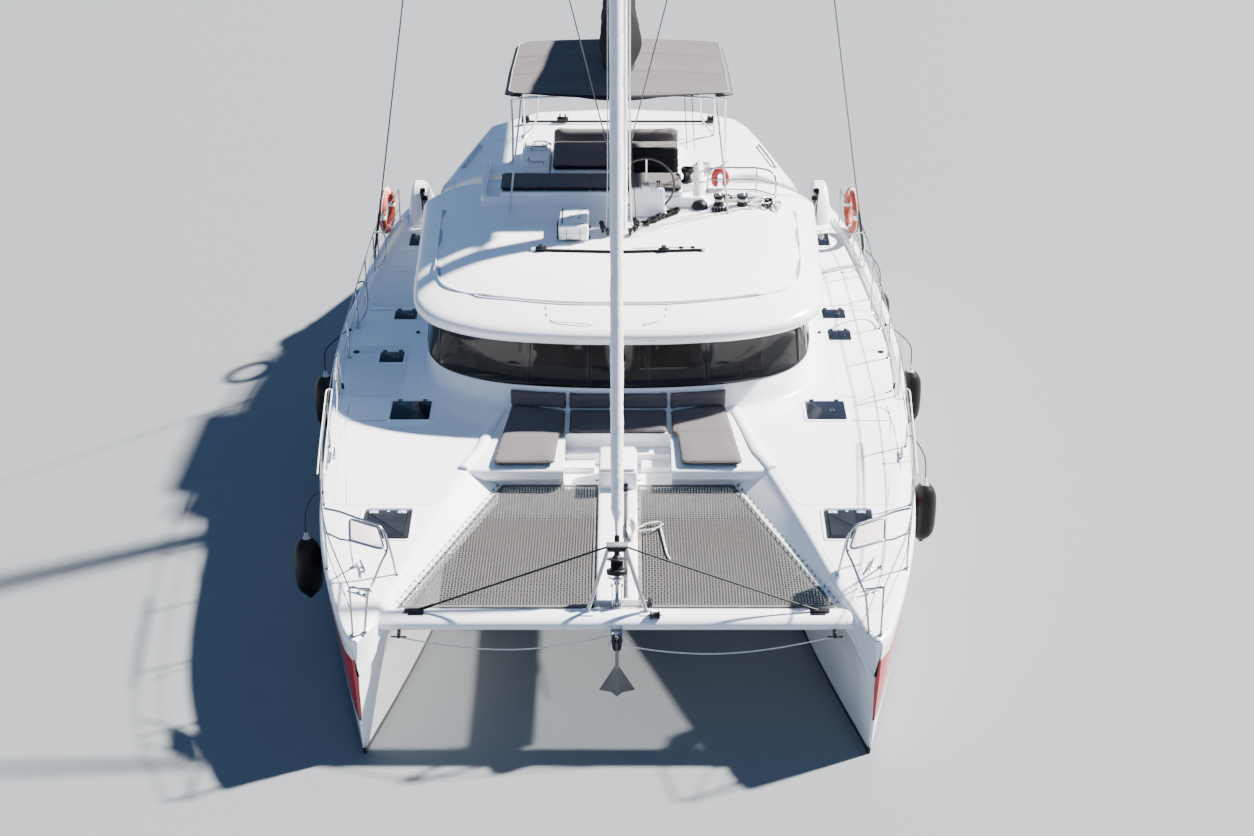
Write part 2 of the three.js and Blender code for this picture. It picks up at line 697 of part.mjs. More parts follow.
// The line of the forestay, from its toggle on the crossbeam to its tang on the mast
const stayRun = new THREE.Vector3(...stayHead).sub(new THREE.Vector3(...stayFoot));
const stayLength = stayRun.length();
const stayDirection = stayRun.clone().normalize().toArray();
const onStay = (distance) => [0, 1, 2].map((i) => stayFoot[i] + stayDirection[i] * distance);

// Mast with its spreaders, foot and gooseneck
const mastSection = (z, scale) => {
  const ring = [];
  for (let i = 0; i < 14; i += 1) {
    const angle = (i / 14) * Math.PI * 2;
    ring.push([125 * scale * Math.cos(angle), mastY + 175 * scale * Math.sin(angle), z]);
  }
  return ring;
};
const mastTube = skinned([
  mastSection(roofTopZ + 30, 1), mastSection(houndsZ, 1), mastSection(mastTopZ, 0.62),
], alongZ);
const spreaders = both.map(([, side]) => rod([0, mastY, spreaderZ - 60],
  [spreaderHalf * side, mastY + 420, spreaderZ], 42, 6, 24));
const mastFoot = box(-190, 190, mastY - 230, mastY + 230, roofTopZ + seatGap, roofTopZ + 45);
const gooseneck = box(-45, 45, mastY + 150, mastY + 240, gooseneckZ - 70, gooseneckZ + 70);
const goosePinY = mastY + 310;
const gooseEars = fuse(
  box(-30, 30, mastY + 220, goosePinY + 35, gooseneckZ - 70, gooseneckZ - 45),
  box(-30, 30, mastY + 220, goosePinY + 35, gooseneckZ + 45, gooseneckZ + 70),
);
const stayTang = rod(onStay(stayLength - tangLength + seatGap), onStay(stayLength + 60), 15, 8);
piece('mast', 'alloy', fuse(mastTube, spreaders, mastFoot, gooseneck, gooseEars, stayTang));

// Boom on its gooseneck, and the sail bag on top of it
const boomEnd = goosePinY + boomLength;
const boomProfile = [];
for (let i = 0; i < 12; i += 1) {
  const angle = (i / 12) * Math.PI * 2;
  boomProfile.push([110 * Math.cos(angle), 130 * Math.sin(angle)]);
}
const boomRing = (y, scale) => boomProfile.map(([x, z]) => [x * scale, y, gooseneckZ + z * scale]);
const boomTube = skinned([
  boomRing(goosePinY + 60, 0.7),
  boomRing(goosePinY + 160, 1),
  boomRing(boomEnd - 60, 1),
  boomRing(boomEnd, 0.8),
], alongY);
const boomTongue = box(-25, 25, goosePinY - 25, goosePinY + 90, gooseneckZ - 44.5, gooseneckZ + 44.5);
piece('boom', 'alloy', fuse(boomTube, boomTongue));

const bagFoot = 130 + seatGap;
const bagRings = [
  // y, half width at the foot, half width at the middle, middle z, top z
  [goosePinY + 100, 100, 150, 420, 620],
  [goosePinY + 500, 190, 270, 460, 980],
  [goosePinY + 2200, 180, 240, 420, 800],
  [goosePinY + 4000, 160, 200, 370, 620],
  [boomEnd - 260, 110, 130, 290, 420],
].map(([y, foot, middle, middleZ, top]) => [
  [-foot, bagFoot], [foot, bagFoot], [middle, middleZ], [middle * 0.45, top], [-middle * 0.45, top],
  [-middle, middleZ],
].map(([x, z]) => [x, y, gooseneckZ + z]));
piece('sail_bag', 'fabric', skinned(bagRings, alongY));

// Furled headsail on the forestay, its drum and the links to the crossbeam
piece('furled_genoa', 'sail', turned([
  [0, 479.3], [24, 479.3], [30, 640], [82, 760], [95, 2600], [85, 8000], [60, 15000],
  [34, stayLength - tangLength - 350], [16, stayLength - tangLength - 150], [16, stayLength - tangLength],
  [0, stayLength - tangLength],
], stayFoot, stayDirection, 12));
piece('furler_drum', 'black', turned([
  [0, 40], [60, 40], [125, 60], [125, 75], [60, 95], [60, 165], [125, 185], [125, 200], [34, 225], [30, 479],
  [0, 479],
], stayFoot, stayDirection, 16));

// Shrouds: each side has a cap shroud, a diamond stay and the run to the hounds
const hullEnvelope = both.map(([, side]) => hullLoft(side, 0.4));
const chainplate = (side) => cut(
  box(side > 0 ? 3740 : -3796, side > 0 ? 3796 : -3740, shroudFoot[1] - 45, shroudFoot[1] + 45, 1560, 1840),
  hullEnvelope);
for (const [name, side] of both) {
  const at = mirror(side);
  const tip = [(spreaderHalf + 20) * side, mastY + 424, spreaderZ];
  const lower = [150 * side, mastY - 40, 4700];
  piece(`shroud_${name}`, 'steel', fuse(
    chainplate(side),
    rod(at(shroudFoot), tip, 9, 6),
    ball(tip, 26, 6),
    rod(tip, [145 * side, mastY, houndsZ - 60], 8, 6),
    rod(tip, lower, 7, 6),
  ).subtract(fuse(mastTube, spreaders).scale([1.004, 1, 1]).add(mastTube).add(fuse(spreaders))));
}

// Crossbeam between the bows, with the roller bracket for the anchor
const beamSection = [];
for (let i = 0; i < 16; i += 1) {
  const angle = (i / 16) * Math.PI * 2;
  beamSection.push([beamY + 165 * Math.cos(angle), beamZ + 100 * Math.sin(angle)]);
}
const rollerCheeks = both.map(([, side]) =>
  box(side > 0 ? 55 : -75, side > 0 ? 75 : -55, beamY - 330, beamY - 60, 1230, 1520));
const rollerPin = rod([-75, beamY - 270, 1330], [75, beamY - 270, 1330], 22, 10);
const stayPlate = box(-60, 60, beamY + 60, beamY + 175, 1540, 1600);
const lineLugs = both.map(([, side]) =>
  box(side > 0 ? 2503 : -2540, side > 0 ? 2540 : -2503, beamY - 235, beamY - 100, 1375, 1460));
const toggle = fuse(rod([0, beamY + 130, 1590], onStay(-30), 22, 8), rod(onStay(-45), onStay(39.7), 24, 8));
piece('crossbeam', 'alloy', cut(fuse(across(beamSection, -2760, 2760), rollerCheeks, rollerPin,
  box(-75, 75, beamY - 110, beamY - 60, 1420, 1520), stayPlate, lineLugs, toggle), hullEnvelope));

// Striker above the crossbeam: two legs, a top plate and stays to the beam ends
const strikerTop = [0, beamY + 20, 2480];
const strikerBody = fuse(
  both.flatMap(([, side]) => [
    rod([340 * side, beamY + 10, 1595], [90 * side, strikerTop[1], strikerTop[2]], 24, 8),
    rod([2330 * side, beamY + 10, 1596], [90 * side, strikerTop[1], strikerTop[2] + 10], 13, 6),
    box(side > 0 ? 280 : -400, side > 0 ? 400 : -280, beamY - 50, beamY + 70, 1590, 1612),
    box(side > 0 ? 2270 : -2390, side > 0 ? 2390 : -2270, beamY - 50, beamY + 70, 1590, 1612),
  ]),
  box(-120, 120, strikerTop[1] - 40, strikerTop[1] + 40, strikerTop[2] - 25, strikerTop[2] + 25),
);
const beamGrown = beamSection.map(([y, z]) => [beamY + (y - beamY) * 1.003, beamZ + (z - beamZ) * 1.004]);
const beamEnvelope = across(beamGrown, -2760, 2760);
piece('striker', 'steel', cut(strikerBody, beamEnvelope));

// Nets laced between the walkway, the crossbeam and the deck flanges
const netRearY = bridgeFront - 5;
const netFrontY = beamY + 170;
for (const [name, side] of both) {
  const points = [
    [walkwayHalf - 45, netRearY], [walkwayHalf - 45, netFrontY], [2560, netFrontY], [1475, netRearY],
  ].map(([x, y]) => [x * side, y]);
  const ordered = side > 0 ? points.reverse() : points;
  piece(`net_${name}`, 'net', cut(plate(ordered, flangeZ + seatGap, flangeZ + 14), beamEnvelope,
    box(-walkwayHalf + 49, walkwayHalf - 49, -6600, -3300, 1500, 1700)));
}

// Anchor hanging from its roller, shank up and flukes down
const fluke = both.map(([, side]) => {
  const ring = (lift) => [[0, beamY - 300 + lift, 1090], [210 * side, beamY - 190 + lift, 640],
    [0, beamY - 330 + lift, 560]];
  return skinned([ring(0), ring(30)], ([x, , z]) => [x, z]);
});
piece('anchor', 'galvanised', fuse(fluke, box(-22, 22, beamY - 345, beamY - 265, 1020, 1307.7)));

// Mooring bridle lines that hang from the beam ends to the roller
const bridleRoutes = {
  starboard: [[-2500, 1392], [-2380, 1362], [-2200, 1322], [-1950, 1278], [-1650, 1240], [-1320, 1222],
    [-1000, 1234], [-700, 1270], [-420, 1328], [-220, 1380], [-78, 1414]],
  port: [[78.5, 1294], [240, 1248], [430, 1212], [700, 1180], [980, 1164], [1250, 1168], [1550, 1196],
    [1850, 1244], [2120, 1302], [2330, 1352], [2500, 1394]],
};
for (const [name, route] of Object.entries(bridleRoutes)) {
  piece(`bridle_${name}`, 'rope', sweep(route.map(([x, z]) => [x, beamY - 215, z]), 9, 45, 8));
}

// Deck edge rails: pulpit, stanchions, two lifelines and pushpit, with the bow seat
const railPosts = [
  // y, x, foot z
  [-6900, 3010, 1600],
  [-5650, 3440, 1708],
  [-4300, 3640, 1794],
  [-2900, 3730, 1846],
  [-1500, 3780, deckZ],
  [-350, 3765, deckZ],
  [600, 3750, deckZ],
  [1600, 3725, deckZ],
  [2900, 3680, deckZ],
  [4300, 3480, deckZ],
];
const railHeight = 640;
const middleShare = 0.52;
for (const [name, side] of both) {
  const at = mirror(side);
  const parts = [];
  const tops = railPosts.map(([y, x, z]) => at([x, y, z + railHeight]));
  const middles = railPosts.map(([y, x, z]) => at([x, y, z + railHeight * middleShare]));
  for (const [y, x, z] of railPosts) {
    parts.push(rod(at([x, y, z + 4]), at([x, y, z + railHeight]), 13, 5));
    parts.push(rod(at([x, y, z + seatGap]), at([x, y, z + 16]), 34, 6));
  }
  parts.push(wire(tops, 9), wire(middles, 6));
  parts.push(pipe([[2660, -6150, 1672], [2660, -6050, 2340], [2760, -5350, 2400], [3440, -5250, 2380],
    [3540, -5250, 2380]].map(at), 14, 6));
  parts.push(pipe([at([2780, -6880, 2210]), at([3010, -6900, 2240])], 12, 6));
  parts.push(pipe([[2660, -6050, 2340], [2780, -6880, 2210], [2880, -6860, 1612]].map(at), 14, 6));
  const seatPoints = [[3440, -5240], [2770, -5340], [2690, -5900], [2880, -5960], [3420, -5600]]
    .map(([x, y]) => [x * side, y]);
  parts.push(plate(side > 0 ? seatPoints.reverse() : seatPoints, 2360, 2392));
  piece(`rail_${name}`, 'steel', cut(fuse(parts), hullEnvelope));
}

// Locker lids on the bows and engine lids at the stern, each in its rebate
const lidTop = 6;
for (const [name, side] of both) {
  const lidBox = ({ x0, x1, y0, y1, deck }) => {
    const xs = [x0 + lidGap, x1 - lidGap].map((x) => x * side).sort((a, b) => a - b);
    return box(xs[0], xs[1], y0 + lidGap, y1 - lidGap, deck - 40 + seatGap, deck + lidTop);
  };
  piece(`bow_locker_lid_${name}`, 'black', lidBox(bowLocker));
  piece(`engine_lid_${name}`, 'gelcoat', lidBox(engineHatch));
}

// Engines with their drive legs through the hull, the propellers and the rudders
for (const [name, side] of both) {
  const x = hullCentre * side;
  piece(`engine_drive_${name}`, 'black', fuse(
    box(x - 260, x + 260, 4160, 4740, engineBay.floor + seatGap, 700),
    box(x - 60, x + 60, driveY - 150, driveY + 150, -860, engineBay.floor + 10),
    rod([x, driveY - 250, shaftZ], [x, driveY + 180, shaftZ], 85, 14),
    box(x - 40, x + 40, driveY - 120, driveY + 120, -1080, -860),
  ));
  const blades = [90, 210, 330].map((angle) => {
    const geometry = new THREE.BoxGeometry(150, 14, 200);
    geometry.rotateZ(0.45);
    geometry.translate(0, 0, 140);
    geometry.rotateY(THREE.MathUtils.degToRad(angle - 90));
    geometry.translate(x, driveY + 250, shaftZ);
    return solid(geometry);
  });
  piece(`propeller_${name}`, 'bronze', fuse(blades, turned(
    [[0, 0], [60, 0], [60, 90], [38, 150], [0, 165]], [x, driveY + 180.6, shaftZ], [0, 1, 0], 14)));
  const bladeRing = (z, front, back, half) => [
    [x, front, z], [x + half, front + 130, z], [x + half * 0.4, back - 150, z], [x, back, z],
    [x - half * 0.4, back - 150, z], [x - half, front + 130, z],
  ];
  piece(`rudder_${name}`, 'gelcoat', fuse(
    skinned([
      bladeRing(-1180, rudderY - 110, rudderY + 260, 26),
      bladeRing(-380, rudderY - 170, rudderY + 340, 44),
    ], alongZ),
    rod([x, rudderY, -420], [x, rudderY, 319.7], rudderBore.radius - 1, rudderBore.sides),
  ));
}

// Cushions of the front cockpit: seats with low backs that follow the cabin front
const cushionTop = 1950;
const backTop = 2170;
const grownWall = (amount) => planLoft(offsetLevels(amount), cabinAft);
const backBand = cut(grownWall(85), grownWall(5));
const seatOutlines = {
  middle: [[-668, -1850], [-668, -2640], [668, -2640], [668, -1850]],
  port: [[674, -1700], [674, -2640], [740, -2700], [780, -3420], [830, -3470], [1560, -3480], [1620, -3420],
    [1520, -2500], [1440, -1800], [1400, -1700]],
};
seatOutlines.starboard = seatOutlines.port.map(([x, y]) => [-x, y]).reverse();
for (const [name, points] of Object.entries(seatOutlines)) {
  const xs = points.map(([x]) => x);
  const reach = box(Math.min(...xs), Math.max(...xs), -2300, -1600, cushionTop - 20, backTop);
  const back = backBand.intersect(reach.intersect(box(-1450, 1450, -2300, -1600, 1800, 2300)));
  piece(`front_cushion_${name}`, 'fabric', fuse(
    cut(plate(points, deckZ + seatGap, cushionTop), grownWall(5)), back));
}

// Aft cockpit: table and the cushions of its seats
piece('cockpit_table', 'wood', fuse(
  box(500, 1500, 3200, 4400, 1790, 1830),
  box(960, 1040, 3760, 3840, soleZ + 10, 1800),
  box(850, 1150, 3650, 3950, soleZ + seatGap, soleZ + 20),
));
piece('cockpit_cushions', 'fabric', fuse(
  box(bridgeHalf + 10, cockpitHalf - 2, 2600, cockpitAft - 20, jointZ - 0.15 + seatGap, 1620),
  box(-1900, cockpitHalf - 2, cockpitAft + 20, 4990 + 900, 1540 + seatGap, 1640).intersect(
    box(-1900, bridgeHalf - 5, cockpitAft - 100, 5900, 1500, 1700)),
  box(1900, cockpitHalf - 10, cockpitAft - 40, cockpitAft + 60, 1560, 1619),
));

// Deck gear on the coachroof: headsail track, life raft, winches and clutches
const trackRoute = [[-1180, -230], [-600, -262], [0, -290], [600, -262], [1180, -230]];
const trackOuter = trackRoute.map(([x, y]) => [x, y - 20]);
const trackInner = [...trackRoute].reverse().map(([x, y]) => [x, y + 20]);
piece('jib_track', 'black', plate([...trackOuter, ...trackInner], roofTopZ + seatGap, roofTopZ + 35));
const raftX = [-835, -410];
const raftY = [50, 715];
const chockReach = 20;
piece('life_raft', 'gelcoat', fuse(
  box(raftX[0], raftX[1], raftY[0], raftY[1], roofTopZ + 25, roofTopZ + 265),
  [raftY[0] + 120, raftY[1] - 170].map((y) => box(raftX[0] - chockReach, raftX[1] + chockReach, y, y + 50,
    roofTopZ + seatGap, roofTopZ + 40)),
));
const winchPlaces = [[1430, 1340], [1770, 1340]];
piece('winches', 'black', fuse(
  box(1300, 1900, 1230, 1450, roofSeat, roofTopZ + 30),
  winchPlaces.map(([x, y]) => turned(
    [[0, 0], [85, 0], [85, 40], [60, 70], [56, 130], [80, 150], [80, 170], [36, 185], [0, 185]],
    [x, y, roofTopZ + 20], [0, 0, 1], 14)),
));

// Fenders on their lines, hanging outside the topsides
const fenderPlaces = [
  // name, side, y, line's end outside the wire
  ['starboard_middle', -1, -130, 8.0],
  ['starboard_bow', -1, -4550, 8.8],
  ['port_stern', 1, 2690, 8.8],
  ['port_middle', 1, 30, 8.0],
  ['port_bow', 1, -3200, 8.8],
];
const fenderRadius = 172;
const between = (rows, y, column) => {
  const after = rows.findIndex((row) => row[0] > y);
  const [low, high] = [rows[after - 1], rows[after]];
  return low[column] + (high[column] - low[column]) * (y - low[0]) / (high[0] - low[0]);
};
for (const [name, side, y, lineGap] of fenderPlaces) {
  const [afloat, deckOut] = [hullCentre + between(stations, y, 2), between(stations, y, 3)];
  const x = Math.max(deckOut, 0.4 * afloat + 0.6 * deckOut) + fenderRadius + 6;
  const lineX = between(railPosts, y, 1) + lineGap;
  const lineZ = between(railPosts, y, 2) + railHeight * middleShare;
  const line = pipe([[x, y, 1500], [x, y, 1850], [lineX, y, lineZ + 10]].map(mirror(side)), 8, 5);
  piece(`fender_${name}`, 'rubber', fuse(turned([
    [0, 610], [75, 625], [165, 720], [fenderRadius, 1050], [165, 1380], [75, 1475], [24, 1510], [0, 1550],
  ], [x * side, y, 0], [0, 0, 1], 12), line));
}

// Rescue rings on the pushpits and the horseshoe buoy on the flybridge rail
const ringTube = 60;
const ringAt = 3880;
const ringX = between(railPosts, ringAt, 1);
for (const [name, side] of both) {
  piece(`lifebuoy_${name}`, 'orange', torus([(ringX + 68.8) * side, ringAt + 10, 2320], 300, ringTube,
    [1, 0.1429 * side, 0], 8, 24));
}
const horseshoe = torus([0, 0, 0], 85, 42, [0, 1, 0], 8, 18).scale([1, 1, 1.45]);
piece('horseshoe_buoy', 'red', cut(horseshoe, box(-38, 38, -60, 60, -250, -60))
  .translate([1475, railY + 50.5, 3615]));

export default boat;
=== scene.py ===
"""A cruising sailing catamaran afloat, its sails furled, on a plain floor at its waterline.

Metres. Bow towards -Y, port side +X, up +Z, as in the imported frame. Each section makes one piece
or one group of like pieces, with its own sizes, colours, mesh and material.
"""

import math
import random

import bmesh
import bpy
from mathutils import Matrix, Vector
from mathutils.bvhtree import BVHTree


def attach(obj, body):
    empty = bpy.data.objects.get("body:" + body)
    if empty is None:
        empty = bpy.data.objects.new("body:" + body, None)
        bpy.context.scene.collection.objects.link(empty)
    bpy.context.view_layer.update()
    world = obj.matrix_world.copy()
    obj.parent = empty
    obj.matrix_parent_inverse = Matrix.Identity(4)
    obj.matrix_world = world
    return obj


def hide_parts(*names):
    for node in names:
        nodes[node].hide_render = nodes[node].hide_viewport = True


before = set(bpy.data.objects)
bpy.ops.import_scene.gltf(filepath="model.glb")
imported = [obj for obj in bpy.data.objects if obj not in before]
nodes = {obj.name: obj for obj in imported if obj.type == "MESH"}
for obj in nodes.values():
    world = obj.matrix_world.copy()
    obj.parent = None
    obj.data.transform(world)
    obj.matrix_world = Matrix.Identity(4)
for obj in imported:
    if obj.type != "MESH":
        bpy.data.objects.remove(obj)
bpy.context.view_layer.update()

# Camera
# It hangs ahead of the bows and above them, as in the photograph, and looks straight aft and down.
photo_width = 1254
focal_pixels = 2176
look_down = 28.1


def placed(name, data):
    """A new object in the scene."""
    made = bpy.data.objects.new(name, data)
    bpy.context.scene.collection.objects.link(made)
    return made


camera_data = bpy.data.cameras.new("camera")
camera_data.sensor_width = 36
camera_data.lens = focal_pixels / photo_width * camera_data.sensor_width
camera_data.clip_end = 400
camera = placed("camera", camera_data)
camera.location = (0.117, -27.62, 15.47)
camera.rotation_euler = (math.radians(90 - look_down), 0, 0)
bpy.context.scene.camera = camera

# Studio floor and lights
# A plain pale floor lies in the waterline. The key light stands high on the port quarter, where the
# photograph has its sun, with a soft sky and a large fill from ahead.
far = 260
floor_mesh = bpy.data.meshes.new("floor")
floor_mesh.from_pydata([(-far, -far, 0), (far, -far, 0), (far, far, 0), (-far, far, 0)], [], [(0, 1, 2, 3)])
floor = placed("floor", floor_mesh)
floor_paint = bpy.data.materials.new("studio floor")
floor_paint.use_nodes = True
floor_shader = floor_paint.node_tree.nodes["Principled BSDF"]
floor_shader.inputs["Base Color"].default_value = (0.155, 0.167, 0.175, 1)
floor_shader.inputs["Roughness"].default_value = 0.75
floor_mesh.materials.append(floor_paint)

world = bpy.data.worlds.new("sky")
world.use_nodes = True
world.node_tree.nodes["Background"].inputs["Color"].default_value = (0.27, 0.51, 1.0, 1)
world.node_tree.nodes["Background"].inputs["Strength"].default_value = 0.55
bpy.context.scene.world = world

key = bpy.data.lights.new("key", "SUN")
key.energy = 28
key.angle = math.radians(2.5)
key.color = (1.0, 0.97, 0.92)
key_lamp = placed("key", key)
key_lamp.rotation_euler = Vector((-0.95, -0.44, -1.0)).to_track_quat("-Z", "Y").to_euler()

fill = bpy.data.lights.new("fill", "AREA")
fill.energy = 450
fill.size = 22
fill.color = (0.94, 0.97, 1.0)
fill_lamp = placed("fill", fill)
fill_lamp.location = (-4, -30, 22)
fill_lamp.rotation_euler = (-fill_lamp.location).to_track_quat("-Z", "Y").to_euler()


# Mooring bridles
# Two lines of three-strand polyester rope hang below the crossbeam, each from a lug at the beam's end
# to the cheek of the anchor roller. They are laid rope: three strands wound round each other.
def circle(count):
    """Equally spaced angles round a full turn."""
    return [2 * math.pi * k / count for k in range(count)]


class Form:
    """The points and faces of one piece, gathered shape by shape, with a paint number for each face."""

    def __init__(self):
        self.points = []
        self.faces = []
        self.paints = []

    def add(self, points, faces, paint=0):
        """Points and the faces on them; paint is one number or a list with one for each face."""
        start = len(self.points)
        self.points += [tuple(p) for p in points]
        self.faces += [tuple(start + i for i in face) for face in faces]
        self.paints += paint if isinstance(paint, list) else [paint] * len(faces)

    def skin(self, rings, paint=0, loop=True, caps=True, closed=False):
        """Rings of equally many points, joined in their order; loop closes each ring on itself."""
        count = len(rings[0])
        faces = []
        last = len(rings) if closed else len(rings) - 1
        for r in range(last):
            after = (r + 1) % len(rings)
            for i in range(count if loop else count - 1):
                j = (i + 1) % count
                faces.append((r * count + i, r * count + j, after * count + j, after * count + i))
        if caps and loop and not closed:
            faces.append(range(count)[::-1])
            faces.append(range(last * count, last * count + count))
        self.add([p for ring in rings for p in ring], faces, paint)

    def tube(self, path, radius, sides=8, paint=0, closed=False, flat=1.0):
        """A round bar along a path; radius may be one number or one for each point."""
        path = [Vector(p) for p in path]
        radii = radius if isinstance(radius, (list, tuple)) else [radius] * len(path)
        rings = []
        up = None
        for i, point in enumerate(path):
            before = path[i - 1] if closed or i > 0 else path[i]
            after = path[(i + 1) % len(path)] if closed or i + 1 < len(path) else path[i]
            run = (after - before).normalized()
            if up is None:
                up = Vector((0, 0, 1)) if abs(run.z) < 0.9 else Vector((0, 1, 0))
            side = run.cross(up).normalized()
            up = side.cross(run).normalized()
            rings.append([point + (side * math.cos(a) + up * math.sin(a) * flat) * radii[i]
                          for a in circle(sides)])
        self.skin(rings, paint, closed=closed)

    def turned(self, profile, place, axis=(0, 0, 1), sides=20, paint=0):
        """A turned shape: its profile gives radius and distance along the axis from the place."""
        turn = Vector((0, 0, 1)).rotation_difference(Vector(axis).normalized())
        rings = [[Vector(place) + turn @ Vector((r * math.cos(a), r * math.sin(a), h)) for a in circle(sides)]
                 for r, h in profile]
        self.skin(rings, paint)

    def block(self, first, second, soft=0.01, paint=0, steps=2):
        """A box with rounded edges between two opposite corners."""
        shape = bmesh.new()
        bmesh.ops.create_cube(shape, size=1)
        first, second = Vector(first), Vector(second)
        middle = (first + second) / 2
        size = [abs(length) for length in second - first]
        for corner in shape.verts:
            corner.co = [c * s for c, s in zip(corner.co, size)]
        soft = min(soft, 0.49 * min(size))
        bmesh.ops.bevel(shape, geom=shape.edges[:], offset=soft, segments=steps, profile=0.5, affect="EDGES")
        shape.verts.index_update()
        self.add([middle + corner.co for corner in shape.verts],
                 [[corner.index for corner in face.verts] for face in shape.faces], paint)
        shape.free()

    def plate(self, outline, low, high, soft=0.0, paint=0):
        """A flat plate with a plan outline, its upper edge rounded by soft."""
        rows = [(0, low), (0, high)]
        if soft:
            rows = [(0, low), (0, high - soft), (soft * 0.3, high - soft * 0.3), (soft, high)]
        self.skin([[(x, y, z) for x, y in inset_outline(outline, inset)] for inset, z in rows], paint)

    def mirrored(self):
        """The same shapes once more on the other side of the centre line."""
        self.add([(-x, y, z) for x, y, z in self.points], [face[::-1] for face in self.faces], self.paints[:])
        return self

    def piece(self, name, paints, slot, replaced=(), body="root", sharp=40):
        """Makes the piece, shades it smooth but for its sharp edges, and hands it to its body."""
        mesh = bpy.data.meshes.new(name)
        mesh.from_pydata(self.points, [], self.faces)
        mesh.polygons.foreach_set("material_index", self.paints)
        shape = bmesh.new()
        shape.from_mesh(mesh)
        bmesh.ops.remove_doubles(shape, verts=shape.verts, dist=1e-5)
        bmesh.ops.dissolve_degenerate(shape, dist=1e-6, edges=shape.edges)
        bmesh.ops.recalc_face_normals(shape, faces=shape.faces)
        shape.to_mesh(mesh)
        shape.free()
        for paint in paints:
            mesh.materials.append(paint)
        mesh.polygons.foreach_set("use_smooth", [True] * len(mesh.polygons))
        mesh.set_sharp_from_angle(angle=math.radians(sharp))
        made = placed(name, mesh)
        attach(made, body)
        if replaced:
            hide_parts(*replaced)
        return made


def inset_outline(outline, inset):
    """The outline moved in by inset, corner by corner."""
    moved = []
    corners = [Vector(corner[:2]) for corner in outline]
    following = corners[1:] + corners[:1]
    hand = 1 if sum(a.cross(b) for a, b in zip(corners, following)) > 0 else -1
    for before, here, after in zip(corners[-1:] + corners, corners, following):
        along = (here - before).normalized() + (after - here).normalized()
        inward = Vector((-along.y, along.x)) * hand
        inward = inward.normalized() if inward.length > 1e-6 else Vector((0, 0))
        moved.append(tuple(here + inward * inset))
    return moved


def smooth_path(points, steps):
    """Points on one smooth curve through the given ones."""
    ends = [2 * Vector(points[0]) - Vector(points[1])] + [Vector(p) for p in points]
    ends.append(2 * ends[-1] - ends[-2])
    path = []
    for i in range(1, len(ends) - 2):
        a, b, c, d = ends[i - 1:i + 3]
        for k in range(steps):
            t = k / steps
            path.append(0.5 * ((2 * b) + (c - a) * t + (2 * a - 5 * b + 4 * c - d) * t * t
                               + (3 * b - a - 3 * c + d) * t ** 3))
    path.append(ends[-2])
    return path


def surface(name, colour, rough, metal=0.0, coat=0.0, mottle=0.06, mottle_scale=1.5, grain=60.0, depth=0.0006,
            rough_play=0.1, sheen=0.0, shine=0.5):
    """A finish with slow changes of colour, uneven gloss and a fine grain in relief."""
    paint = bpy.data.materials.new(name)
    paint.use_nodes = True
    tree = paint.node_tree
    shader = tree.nodes["Principled BSDF"]
    shader.inputs["Metallic"].default_value = metal
    shader.inputs["Coat Weight"].default_value = coat
    shader.inputs["Coat Roughness"].default_value = 0.08
    shader.inputs["Specular IOR Level"].default_value = shine
    if sheen:
        shader.inputs["Sheen Weight"].default_value = sheen
        shader.inputs["Sheen Roughness"].default_value = 0.5
    place = tree.nodes.new("ShaderNodeTexCoord")
    cloud = tree.nodes.new("ShaderNodeTexNoise")
    cloud.inputs["Scale"].default_value = mottle_scale
    cloud.inputs["Detail"].default_value = 6
    tones = tree.nodes.new("ShaderNodeValToRGB")
    tones.color_ramp.elements[0].position = 0.3
    tones.color_ramp.elements[1].position = 0.7
    tones.color_ramp.elements[0].color = [c * (1 - mottle) for c in colour] + [1]
    tones.color_ramp.elements[1].color = [min(1, c * (1 + mottle)) for c in colour] + [1]
    gloss = tree.nodes.new("ShaderNodeMapRange")
    gloss.inputs["To Min"].default_value = max(0.02, rough - rough_play)
    gloss.inputs["To Max"].default_value = min(1, rough + rough_play)
    fine = tree.nodes.new("ShaderNodeTexNoise")
    fine.inputs["Scale"].default_value = grain
    fine.inputs["Detail"].default_value = 3
    relief = tree.nodes.new("ShaderNodeBump")
    relief.inputs["Distance"].default_value = depth
    relief.inputs["Strength"].default_value = 0.6
    for source, output, target, put in (
            (place, "Object", cloud, "Vector"), (place, "Object", fine, "Vector"),
            (cloud, "Fac", tones, "Fac"),
            (tones, "Color", shader, "Base Color"), (cloud, "Fac", gloss, "Value"),
            (gloss, "Result", shader, "Roughness"), (fine, "Fac", relief, "Height"),
            (relief, "Normal", shader, "Normal")):
        tree.links.new(source.outputs[output], target.inputs[put])
    return paint


rope_paint = surface("pale rope", (0.72, 0.70, 0.64), 0.85, mottle=0.16, mottle_scale=30, grain=240,
                     depth=0.002)
bridle_radius = 0.009
bridle_y = -6.635
bridle_routes = {
    "starboard": [(-2.500, 1.392), (-2.380, 1.362), (-2.200, 1.322), (-1.950, 1.278), (-1.650, 1.240),
                  (-1.320, 1.222), (-1.000, 1.234), (-0.700, 1.270), (-0.420, 1.328), (-0.220, 1.380),
                  (-0.078, 1.414)],
    "port": [(0.0785, 1.294), (0.240, 1.248), (0.430, 1.212), (0.700, 1.180), (0.980, 1.164), (1.250, 1.168),
             (1.550, 1.196), (1.850, 1.244), (2.120, 1.302), (2.330, 1.352), (2.500, 1.394)],
}


